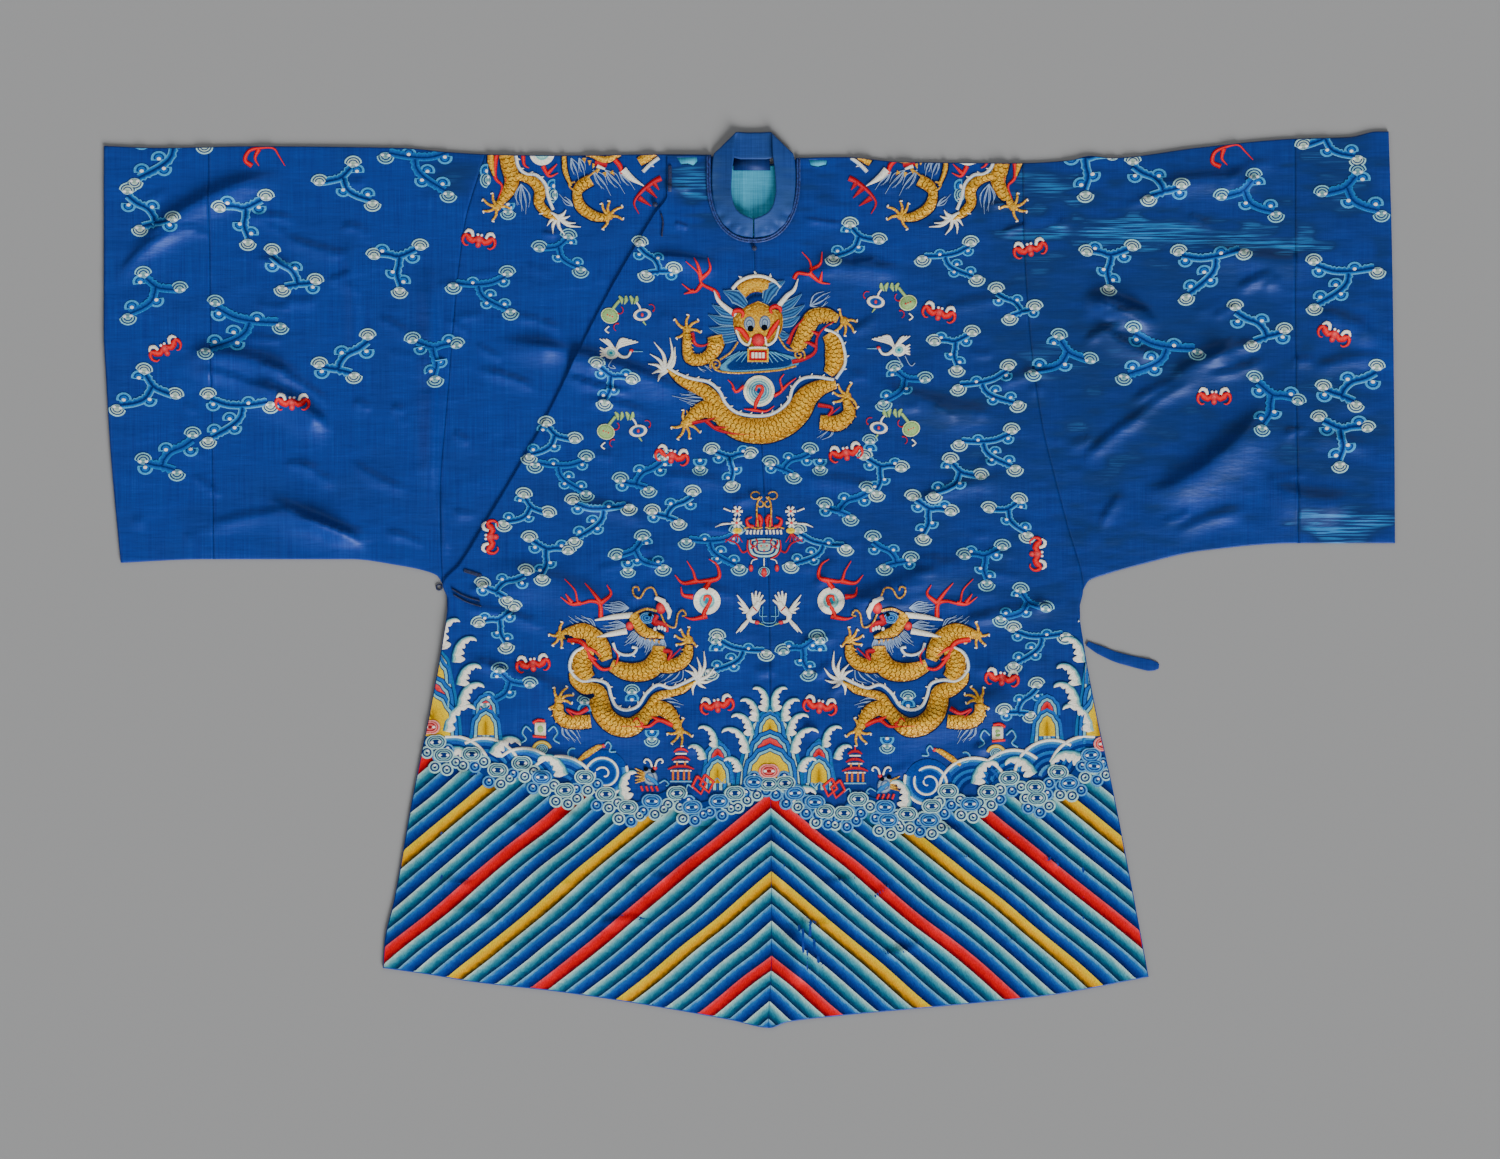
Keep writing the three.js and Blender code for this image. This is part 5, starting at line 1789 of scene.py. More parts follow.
class Dragons(Creatures):
    """Five-clawed dragons of couched gilt thread."""

    # Padding: how high a body stands, and how far its dark outline shows round it
    body_dome = 1.3
    outline_width = 2.2
    # Scales: how far apart the rows are, how wide and long one scale is, how far each row is
    # shifted, how wide its line is, how high it lies, and how many scales a body has at least
    scale_gap = 4.4
    scale_wide = 5.6
    scale_long = 2.3
    scale_shift = 2.4
    scale_line = 0.85
    scale_lift = 0.16
    scale_margin = 0.4
    scaled_from = 1.8
    scale_dye = "#744410"
    outline_dye = "#081640"

    def claw(self, stamp: Stamp, x: float, y: float, tips: Sequence[Point]) -> None:
        """Palm with five fingers, each ending in a white nail.

        Args:
            stamp: where the motif lies.
            x: middle of the palm across.
            y: its middle up.
            tips: where each finger ends, from the palm.
        """
        for tip_x, tip_y in tips:
            length = math.hypot(tip_x, tip_y)
            bend_x, bend_y = 0.55 * tip_x - 0.12 * tip_y, 0.55 * tip_y + 0.12 * tip_x
            self.band(stamp, ((x, y), (x + bend_x, y + bend_y), (x + tip_x, y + tip_y)), (3.4, 2.6, 1.9),
                      Silk.GOLD,
                      3, gilt=True, dome=0.6)
            hook_x, hook_y = -tip_y / length * 2.6, tip_x / length * 2.6
            self.band(stamp, ((x + tip_x * 0.98, y + tip_y * 0.98), (x + tip_x + hook_x, y + tip_y + hook_y)),
                      (2.2, 1.1), Silk.CREAM, 5, dome=0.4)
        self.disc(stamp, x, y, 4.4, 4.4, Dots.GOLD, 4, segments=12, dome=0.9, gilt=True)

    def gold(self, stamp: Stamp, route: Sequence[Point], widths: Sequence[float], level: int = 3) -> None:
        """Padded body or limb of gilt thread, with a dark outline beneath.

        Args:
            stamp: where the motif lies.
            route: points along its middle.
            widths: its widths, spread evenly over the route.
            level: which layer of stitches it lies in.
        """
        outline = [width + self.outline_width for width in widths]
        self.band(stamp, route, outline, (self.outline_dye,) * 2, level - 2, dome=0.0)
        self.band(stamp, route, widths, Silk.GOLD, level, gilt=True, dome=self.body_dome)
        if max(widths) > self.scale_wide * self.scaled_from:
            self.scales(stamp, route, widths, level)

    def scales(self, stamp: Stamp, route: Sequence[Point], widths: Sequence[float], level: int) -> None:
        """Rows of dark arcs across a domed body, each row half a scale off the one before.

        Args:
            stamp: where the motif lies.
            route: points along its middle.
            widths: its widths, spread evenly over the route.
            level: which layer of stitches it lies in.
        """
        line = through(route, self.scale_gap)
        run = directions(line)
        normal = left_of(run)
        part = np.linspace(0, 1, len(line))
        half = np.interp(part, np.linspace(0, 1, len(widths)), widths) / 2
        turn = np.linspace(0, np.pi, 6)
        along = self.scale_long * np.sin(turn)
        for index in range(1, len(line) - 1):
            room = half[index] - self.scale_margin
            count = int(2 * room / self.scale_wide)
            shift = (index % 2 - 0.5) * self.scale_shift
            for place in (np.arange(count) - (count - 1) / 2) * self.scale_wide + shift:
                across = np.clip(place + 0.5 * self.scale_wide * np.cos(turn), -room, room)
                outer = line[index] + along[:, None] * run[index] + across[:, None] * normal[index]
                grid = np.stack([outer, outer - run[index] * self.scale_line], axis=1)
                dome = self.body_dome * (1 - (across / half[index]) ** 2)
                lift = LIFT + level * LEVEL + dome + self.scale_lift
                self.lay(stamp, grid, dyes((self.scale_dye,) * 2), np.stack([lift, lift], axis=1))

    def teeth(self, stamp: Stamp, route: Sequence[Point], side: float, size: float = 2.6, gap: float = 3.6,
              silk: Silk = Silk.GOLD, gilt: bool = True) -> None:
        """Row of small points along one side of a limb.

        Args:
            stamp: where the motif lies.
            route: points along its middle.
            side: how far off the route they stand, and on which side.
            size: how long each is.
            gap: how far apart they are.
            silk: its colours from one side to the other.
            gilt: whether it is gilt thread.
        """
        fine = through(route, 1.5)
        along = lengths_along(fine)
        marks = np.linspace(0, along[-1], max(int(along[-1] / gap), 2) + 1)
        line = np.stack([np.interp(marks, along, fine[:, k]) for k in (0, 1)], axis=1)
        for (x, y), (run_x, run_y) in zip(line[1:-1], directions(line)[1:-1]):
            foot = (x - run_y * side, y + run_x * side)
            tip = (foot[0] + (run_x * 0.5 - run_y * np.sign(side)) * size,
                   foot[1] + (run_y * 0.5 + run_x * np.sign(side)) * size)
            self.band(stamp, (foot, tip), (size, 0.5), silk, 3, gilt, dome=0.3)

    def spine(self, stamp: Stamp, route: Sequence[Point], width: float = 3.4, spike_side: int = 1) -> None:
        """White back with spikes."""
        self.band(stamp, route, width, Silk.SPINE, 5, dome=0.9)
        self.teeth(stamp, route, spike_side * width * 0.4, 2.4, 11.0, Silk.CREAM, False)

    def fan(self, stamp: Stamp, x: float, y: float, tips: Sequence[Point]) -> None:
        """Tail of long white curved spikes.

        Args:
            stamp: where the motif lies.
            x: root of the spikes across.
            y: their root up.
            tips: where each spike ends.
        """
        for tip_x, tip_y in tips:
            middle = (x + 0.5 * (tip_x - x) + 0.14 * (tip_y - y), y + 0.5 * (tip_y - y) - 0.14 * (tip_x - x))
            self.band(stamp, ((x, y), middle, (tip_x, tip_y)), (4.2, 3.2, 0.6), Silk.CREAM, 5, dome=0.7)

    def hair(self, stamp: Stamp, root: Point, tip: Point, spread: float, count: int = 6) -> None:
        """Tuft of fine light-blue lines that waver from a root to a tip.

        Args:
            stamp: where the motif lies.
            root: where it starts.
            tip: where it ends.
            spread: how wide it spreads.
            count: how many lines it has.
        """
        run_x, run_y = tip[0] - root[0], tip[1] - root[1]
        for index in range(count):
            part = index / (count - 1) - 0.5
            reach = 1 - 0.35 * abs(part) * 2 - 0.12 * (index % 2)
            end = (root[0] + run_x * reach - run_y * part * spread,
                   root[1] + run_y * reach + run_x * part * spread)
            bend = 0.14 * (-1) ** index
            middle = ((root[0] + end[0]) / 2 - run_y * (bend * 0.4 + part * spread * 0.7),
                      (root[1] + end[1]) / 2 + run_x * (bend * 0.4 + part * spread * 0.7))
            self.band(stamp, (root, middle, end), (1.3, 1.2, 0.5), Silk.HAIR, 2, dome=0.2)

    def frontal(self, stamp: Stamp) -> None:
        """Dragon of the chest, its face to the front.

        Args:
            stamp: where the motif lies.
        """
        self.gold(stamp, ((70, 16), (76, 6), (77, -6), (75, -16), (70, -24)), (12, 19, 20, 17, 10))
        self.gold(stamp, ((78, -34), (62, -38), (49, -47), (41, -60), (28, -72), (8, -80), (-16, -79),
                          (-32, -69),
                          (-42, -54), (-51, -43), (-64, -36), (-78, -30), (-91, -19)),
                  (9, 16, 22, 25, 27, 27, 24, 21, 17, 14, 13, 9, 2), 4)
        self.spine(stamp, ((-92, -17), (-80, -24), (-66, -29), (-50, -32), (-39, -41), (-32, -54), (-20, -63),
                           (0, -66), (16, -63), (30, -52), (35, -38), (44, -29), (58, -27), (76, -30)), 3.4)
        self.spine(stamp, ((78, -29), (87, -14), (86, 2), (80, 15), (67, 21)), 3.2, -1)
        self.fan(stamp, -93, -22, ((-88, 12), (-104, 8), (-83, 3), (-82, -6), (-108, -4), (-110, -14),
                                   (-106, -24),
                                   (-100, -32)))
        for limb, widths, palm, tips in self.frontal_limbs():
            self.gold(stamp, limb, widths, 6)
            self.teeth(stamp, limb, widths[1] * 0.45, 2.4, 4.4)
            self.claw(stamp, *palm, tips)
        for root, tip, spread, count in (((52, 44), (74, 58), 0.5, 8), ((-42, -50), (-86, -46), 0.26, 9),
                                         ((-62, -10), (-44, -22), 0.5, 6), ((76, -76), (58, -90), 0.5, 6)):
            self.hair(stamp, root, tip, spread, count)
        self.coral(stamp, ((34, -12), (46, -9), (57, -2), (59, 12), (66, 22), (77, 29)),
                   ((58, 4), (48, 8), (42, 3)),
                   ((60, 16), (52, 20)), ((30, 6), (36, 20), (46, 32)), width=4.6, silk=Silk.CRIMSON, level=8)
        self.coral(stamp, ((-66, -73), (-50, -70), (-38, -66)),
                   ((-52, -71), (-40, -80), (-20, -84), (4, -84)),
                   ((-44, -78), (-30, -77)), width=4.2, silk=Silk.CRIMSON, level=8)
        self.coral(stamp, ((-66, 17), (-63, 6), (-55, 4), (-46, 8)),
                   ((60, -55), (74, -58), (70, -66), (82, -57)),
                   width=4.4, silk=Silk.CRIMSON, level=5)
        self.coral(stamp, ((-39, 48), (-42, 58), (-56, 66), (-60, 77), (-72, 88)),
                   ((-56, 66), (-64, 58), (-76, 66)),
                   ((-58, 70), (-48, 80), (-50, 92)), ((-57, 72), (-60, 84), (-64, 92)),
                   ((-64, 59), (-74, 56)), width=4.8)
        self.coral(stamp, ((36, 71), (40, 77), (52, 76), (52, 88), (44, 98)), ((52, 80), (62, 86), (64, 98)),
                   ((52, 76), (62, 68), (72, 66)), ((62, 68), (64, 78)), width=4.8)
        self.pearl(stamp.at(1, -41), 15.6)
        self.coral(stamp, ((-14, -36), (-22, -42), (-26, -34), (-30, -30)), ((-22, -42), (-26, -38)),
                   ((16, -46), (24, -40), (22, -30), (26, -24)), ((24, -40), (30, -34), (38, -28)),
                   ((-4, -60), (-14, -59)), ((-4, -60), (8, -61), (16, -56)), width=3.6)
        self.frontal_head(stamp)

    @staticmethod
    def frontal_limbs() -> tuple:
        """Limbs of the chest dragon: route, widths, palm and fingers."""
        return (
            (((-71, 16), (-71, 3), (-68, -8), (-57, -10), (-47, -4), (-42, 6), (-43, 14)),
             (8, 9, 12, 11, 13, 17, 15), (-71, 20), ((-12, 11), (2, 15), (12, 9), (14, -3), (-11, -8))),
            (((80, 31), (68, 35), (55, 32), (48, 20), (42, 8), (36, 0)), (8, 14, 17, 17, 15, 11), (86, 29),
             ((-4, 12), (13, -1), (10, -12), (0, -15), (-11, -11))),
            (((-73, -74), (-62, -64), (-51, -59), (-38, -63)), (8, 14, 18, 20), (-73, -74),
             ((-1, 14), (-14, -3), (-8, -15), (4, -15), (15, -9))),
            (((88, -50), (91, -63), (80, -73), (62, -72)), (7, 13, 16, 14), (89, -46),
             ((-9, 12), (5, 13), (-14, 4), (-14, -6), (10, -12))),
        )

    def frontal_head(self, stamp: Stamp) -> None:
        """Face with crest, ears, horns, mane and beard.

        Args:
            stamp: where the motif lies.
        """
        blades = (((-46, 45), (-24, 36)), ((-50, 35), (-25, 28)), ((-49, 22), (-24, 20)),
                  ((-46, 13), (-22, 13)),
                  ((44, 56), (20, 40)), ((47, 45), (23, 34)), ((42, 34), (24, 26)), ((32, 15), (20, 17)))
        for tip, root in blades:
            middle = ((tip[0] + root[0]) / 2, (tip[1] + root[1]) / 2 - 2)
            self.band(stamp, (root, middle, tip), (8, 9.5, 0.8), Silk.TEAL, 6, dome=0.3)
        self.band(stamp, arc(-1, 44, 21, 52, 140), 14, Silk.GOLD, 7, gilt=True, dome=0.5)
        self.band(stamp, arc(-1, 44, 30, 38, 146), 3.4, Silk.CREAM, 8, dome=0.6)
        self.teeth(stamp, arc(-1, 44, 30.4, 38, 146), -1.4, 3.2, 13, Silk.CREAM, False)
        self.band(stamp, arc(0, 40, 11, 30, 150), 7, Silk.NAVY, 8, dome=0.3)
        for root, middle, tip in (((-12, 44), (-22, 53), (-35, 59)), ((7, 47), (13, 60), (27, 69))):
            self.band(stamp, (root, middle, tip), (7, 15, 1), Silk.TEAL, 9, dome=0.3)
        for horn in (((-22, 35), (-33, 43), (-40, 50), (-44, 59)), ((19, 42), (29, 54), (36, 60), (40, 71))):
            self.band(stamp, horn, (5.4, 4.6, 3.6, 1), Silk.CREAM, 10, dome=0.8)
        face = ((0, 49), (9, 45), (16, 41), (23, 38), (25, 29), (23, 18), (17, 9), (9, 3), (0, 1))
        mirrored = [(-x, y) for x, y in face[-2:0:-1]]
        self.shape(stamp, through([*face, *mirrored, face[0]], 3), Dots.GOLD, 10, 0.5, gilt=True)
        for x, y, flip in ((-20, 35.5, True), (17.5, 39.6, False)):
            self.band(stamp.at(x, y, 0, 1, flip), arc(0, 0, 5, -30, 230, 0.8), (2, 4.6, 4.6, 4, 2),
                      Silk.CORAL, 14,
                      dome=0.7)
        for x, y in ((-8.6, 26), (6.8, 27)):
            self.disc(stamp, x, y, 5.6, 7.4, Dots.EYE_PATCH, 15, dome=0.3)
            self.disc(stamp, x + (1.2 if x < 0 else -0.4), y - 4.8, 3.1, 3.3, Dots.PUPIL, 18, segments=12,
                      dome=0.3)
        for route in (((-23, 22), (-17, 20), (-12, 14), (-9, 9)), ((21, 30), (17, 24), (13, 18), (9, 11))):
            self.band(stamp, route, (2.4, 5.4, 5.6, 3), Silk.CORAL, 15, dome=0.6)
        for route in (((-22, 20), (-17, 9), (-10, 5), (-7, 12)), ((21, 24), (17, 10), (9, 5), (7, 13))):
            self.band(stamp, route, (1.6, 2.6, 2.6, 1.6), Silk.CREAM, 16, dome=0.4)
        self.disc(stamp, 0.4, 9.6, 7.0, 6.8, Dots.RED, 17, dome=0.9)
        beard = ((-38, -16), (-24, -5), (-10, -1), (10, -1), (25, -4), (40, -9), (36, -17), (0, -21),
                 (-34, -22))
        self.shape(stamp, through([*beard, beard[0]], 3), Dots.BEARD, 5, 0.3)
        for part in np.linspace(-36, 34, 13):
            self.band(stamp, ((part * 0.5, -2), (part * 0.9, -14 + 0.004 * part**2)), (1.3, 0.9), Silk.CURL,
                      9, dome=0.2)
        self.band(stamp, ((-46, -12), (-42, -20), (-24, -23), (0, -22), (22, -20), (38, -16)), 1.9,
                  Silk.GOLD_LINE, 8,
                  gilt=True)
        for route in (((-20, 8), (-27, -2), (-38, -10)), ((20, 14), (29, 1), (40, -1))):
            self.band(stamp, route, 1.9, Silk.GOLD_LINE, 12, gilt=True)
        for x, y, flip in ((-42, -15, False), (41, -5, True)):
            self.band(stamp.at(x, y, 0, 1, flip), coil(6.2, 1.6), 1.9, Silk.GOLD_LINE, 12, gilt=True)
        self.band(stamp, ((-10.5, -5.4), (10.5, -5.4)), 13.4, ("#F4BE2A", "#F4BE2A"), 17, dome=0.1, gilt=True)
        self.band(stamp, ((-8.8, -5.5), (8.8, -5.5)), 10.2, ("#9C0E18", "#D81C26", "#D81C26", "#9C0E18"), 19,
                  dome=0.1)
        self.band(stamp, ((-9, 1.8), (0, 2.4), (9, 1.8)), 2, Silk.CREAM, 19, dome=0.3)
        for x in (-5.2, -1.8, 1.8, 5.2):
            self.band(stamp, ((x, -2.6), (x, -8.2)), 2.7, Silk.CREAM, 21, dome=0.2)

    def profile(self, stamp: Stamp) -> None:
        """Dragon of the skirt, seen from its side.

        Args:
            stamp: where the motif lies.
        """
        self.gold(stamp, ((-45, 12), (-52, 2), (-52, -10), (-46, -19)), (13, 20, 20, 14))
        self.gold(stamp, ((-65, -13), (-61, -21), (-50, -28), (-38, -33), (-35, -44), (-30, -56), (-19, -65),
                          (-5, -67),
                          (7, -59), (15, -47), (22, -37), (35, -33), (48, -29), (61, -21)),
                  (2, 8, 14, 18, 20, 20, 20, 19, 15, 10, 9, 8, 8, 2), 4)
        self.gold(stamp, ((24, 14), (23, 3), (16, -8), (4, -12), (-10, -11), (-24, -5)),
                  (12, 18, 20, 19, 17, 12), 5)
        self.spine(stamp, ((-48, 14), (-60, 8), (-65, -2), (-64, -12), (-54, -21), (-40, -20), (-28, -24),
                           (-24, -36),
                           (-19, -46), (-9, -50), (3, -46), (12, -33), (23, -25), (36, -28), (49, -23),
                           (61, -17)))
        self.spine(stamp, ((-22, 17), (-19, 9), (-11, 5), (-2, 6), (2, 12), (-3, 13)), 3.0, -1)
        self.fan(stamp, 62, -20, ((54, -4), (50, -10), (62, 3), (69, 9), (79, -8), (78, -20), (71, -28),
                                  (58, -35)))
        for limb, widths, palm, tips in self.profile_limbs():
            self.gold(stamp, limb, widths, 6)
            self.teeth(stamp, limb, -widths[1] * 0.42, 2.4, 4.4)
            self.claw(stamp, *palm, tips)
        for root, tip, spread, count in (((-38, 27), (-68, 44), 0.44, 10), ((-72, -62), (-54, -84), 0.5, 9),
                                         ((48, -3), (22, -24), 0.5, 9), ((22, -42), (50, -46), 0.36, 8)):
            self.hair(stamp, root, tip, spread, count)
        self.coral(stamp, ((-67, 21), (-52, 17), (-44, 2), (-33, -9), (-21, -6), (-17, 4), (-22, 12)),
                   ((-50, 12), (-42, 10), (-34, 4)), ((-46, 4), (-38, 0)), width=6.0, level=9)
        self.coral(stamp, ((28, 9), (36, 8), (33, 0), (46, 12)),
                   ((-47, -48), (-57, -53), (-68, -49), (-60, -58)),
                   width=5.4, silk=Silk.CRIMSON, level=8)
        self.coral(stamp, ((38, -65), (24, -60), (14, -66), (2, -66), (-20, -66)), ((24, -60), (16, -56)),
                   ((8, -65), (2, -58), (-2, -62)), width=5.2, level=9)
        self.coral(stamp, ((-34, 42), (-35, 56), (-44, 59), (-56, 57), (-60, 70), (-70, 81)),
                   ((-54, 57), (-64, 56), (-74, 63)), ((-63, 57), (-69, 66)),
                   ((-34, 57), (-42, 68), (-50, 77)),
                   ((-34, 57), (-24, 66), (-28, 75)), width=5.0)
        self.profile_head(stamp)

    @staticmethod
    def profile_limbs() -> tuple:
        """Limbs of a skirt dragon: route, widths, palm and fingers."""
        return (
            (((-73, 25), (-64, 27), (-52, 28), (-40, 21), (-32, 10), (-28, 0)), (8, 13, 18, 19, 17, 11),
             (-75, 25),
             ((3, 13), (-11, 1), (-8, -10), (1, -13), (13, -9))),
            (((54, 15), (52, 4), (45, -3), (34, -6), (23, -5)), (8, 11, 13, 14, 14), (54, 20),
             ((1, 13), (-8, 11), (-14, 5), (-13, -4), (7, -7))),
            (((-76, -44), (-76, -54), (-69, -61), (-56, -62), (-44, -61)), (9, 12, 13, 14, 13), (-76, -40),
             ((-4, 13), (9, 13), (15, 5), (13, -4), (-10, -8))),
            (((43, -68), (38, -58), (32, -51), (23, -48), (12, -54)), (8, 12, 15, 15, 13), (45, -71),
             ((4, 13), (-13, -2), (-9, -12), (1, -15), (12, -6))),
        )

    def profile_head(self, stamp: Stamp) -> None:
        """Head in profile with two horns, mane and whiskers.

        Args:
            stamp: where the motif lies.
        """
        for root, tip in (((10, 26), (0, 8)), ((16, 24), (10, 4)), ((22, 22), (18, -2)), ((28, 22), (26, 2)),
                          ((6, 30), (-12, 14))):
            self.hair(stamp, root, tip, 0.3, 8)
        self.hair(stamp, (-6, 52), (-36, 54), 0.3, 9)
        self.hair(stamp, (-8, 34), (-36, 32), 0.34, 8)
        for horn in (((-2, 45), (-22, 43), (-40, 40)), ((-8, 29), (-24, 26), (-38, 23))):
            self.band(stamp, horn, (6, 5, 1.6), Silk.CREAM, 9, dome=0.9)
        self.gold(stamp, ((-2, 46), (2, 38), (9, 29), (18, 26), (29, 23)), (10, 12, 11, 9, 3), 10)
        self.teeth(stamp, ((0, 40), (8, 29), (18, 25), (29, 22)), -4, 3, 4)
        self.disc(stamp, -5, 34, 4.2, 4.4, Dots.RED, 12)
        self.disc(stamp, 12, 42, 7.6, 5.6, Dots.BLUE_HEAD, 12)
        self.disc(stamp, 15, 45, 2.3, 2, Dots.PUPIL, 14, segments=10)
        self.band(stamp, ((-1, 46), (11, 51), (22, 49)), 2.6, Silk.GOLD_LINE, 13, gilt=True)
        self.band(stamp, ((22, 45), (19, 38), (30, 35), (32, 28)), (5, 6.4, 5.4, 3), Silk.CRIMSON, 11,
                  dome=0.6)
        for x, y in ((20, 31), (24, 32.4), (27, 32), (30, 30.6)):
            self.disc(stamp, x, y, 1.5, 2.2, Dots.EYE, 14, segments=8, dome=0.3)
        self.disc(stamp, 26, 52, 5, 6, Dots.RED, 13, dome=0.9)
        self.band(stamp, ((20, 62), (28, 58), (34, 48), (33, 41)), (3, 4.4, 4, 1.6), Silk.CREAM, 14,
                  frill=0.6)
        self.band(stamp, ((22, 64), (18, 72), (11, 71), (5, 62), (-1, 65), (-2, 72), (3, 73), (4, 69)), 1.8,
                  Silk.GOLD_LINE, 10, gilt=True)
        self.band(stamp, ((26, 46), (31, 36), (40, 33), (43, 46), (48, 50), (51, 45), (47, 44)), 1.8,
                  Silk.GOLD_LINE, 10,
                  gilt=True)

    def shoulder_half(self, stamp: Stamp) -> None:
        """Part of a shoulder dragon that lies on the front, below the fold.

        Args:
            stamp: where the motif lies.
        """
        self.gold(stamp, ((-84, 42), (-84, 28), (-81, 14)), (6, 7, 2))
        self.gold(stamp, ((-70, 42), (-66, 24), (-63, 10), (-67, -2), (-76, -14)), (14, 16, 15, 12, 7), 4)
        self.gold(stamp, ((-58, 14), (-44, 10), (-35, 0), (-36, -13), (-28, -23), (-18, -30)),
                  (7, 10, 12, 10, 9, 2), 4)
        self.claw(stamp, -78, -17, ((-4, 14), (-14, 8), (-14, -4), (-5, -14), (14, -2)))
        self.spine(stamp, ((-60, 42), (-57, 24), (-49, 16), (-39, 15), (-30, 6), (-27, -7), (-22, -20)))
        self.fan(stamp, -17, -27, ((-9, -20), (-5, -26), (1, -33), (6, -37), (-10, -45), (-22, -44),
                                   (-28, -36), (-36, -24)))
        self.hair(stamp, (-54, 6), (-50, -26), 0.4, 8)
        self.coral(stamp, ((-78, 42), (-80, 14), (-73, 4), (-77, -9)), ((-70, 24), (-69, 6)),
                   ((-52, 40), (-51, 26), (-46, 22)),
                   ((-32, 24), (-26, 14), (-17, 17)), ((-28, 16), (-18, 26)), width=5.0)
        self.disc(stamp, -33, 37, 12.5, 12.5, Dots.MOON, 3, segments=24)
        self.gold(stamp, ((-11, 40), (-10, 20), (-4, 4)), (4, 5, 3))
        self.gold(stamp, ((16, 10), (6, 4), (2, -4), (6, -17), (19, -26), (32, -28)), (12, 12, 9, 11, 10, 7),
                  5)
        self.claw(stamp, 34, -26, ((-7, 13), (1, 15), (14, 9), (14, -4), (-7, -13)))
        self.gold(stamp, ((6, 38), (18, 36), (30, 30), (44, 38)), (6, 8, 7, 9), 5)
        self.teeth(stamp, ((4, 36), (18, 30), (28, 20), (42, 22)), -2, 4.4, 6)
        self.band(stamp, ((20, 27), (32, 25)), (6, 5), Silk.CRIMSON, 6)
        self.band(stamp, ((22, 24), (30, 21)), (4, 2), Silk.CREAM, 8)
        self.band(stamp, ((40, 30), (45, 24), (47, 16)), (5, 5, 3), Silk.CORAL, 7)
        self.band(stamp, ((48, 20), (56, 12), (69, 4)), (8, 6, 1), Silk.CREAM, 8, dome=0.9)
        self.band(stamp, ((22, 20), (10, 10), (8, 2), (-2, 0), (-6, 6), (0, 8)), 1.8, Silk.GOLD_LINE, 8,
                  gilt=True)
        for root, tip in (((-4, 32), (4, 8)), ((4, 32), (10, 12)), ((18, 20), (36, -6)), ((30, 20), (50, -4)),
                          ((44, 18), (60, 0)),
                          ((-2, -16), (-16, -4))):
            self.hair(stamp, root, tip, 0.22, 5)
        self.gold(stamp, ((64, 28), (72, 33), (80, 38)), (9, 10, 8))
        self.spine(stamp, ((68, 18), (76, 26), (84, 32)), 4, -1)
        self.coral(stamp, ((86, 12), (78, 8), (66, -2), (59, -13), (64, -24)), ((72, 2), (82, -8)),
                   ((64, -8), (76, -16)),
                   ((78, 8), (84, 0)), width=6.0, silk=Silk.CRIMSON)


class Stripe(Enum):
    """Dye runs of the stripes above the hem, from the upper edge to the lower."""

    RED = ("#F4565C", "#F01226", "#E40218", "#CE0212", "#920412", "#380416")
    AQUA = ("#CBE8DC", "#7FC0C2", "#3A93A8", "#186884", "#0A3C60", "#04183C")
    BLUE = ("#7FC0DC", "#2874BE", "#104CA4", "#08338C", "#041E68", "#030F40")
    YELLOW = ("#FFDC14", "#FACA00", "#F2B600", "#D89200", "#5C4204", "#1C1806")


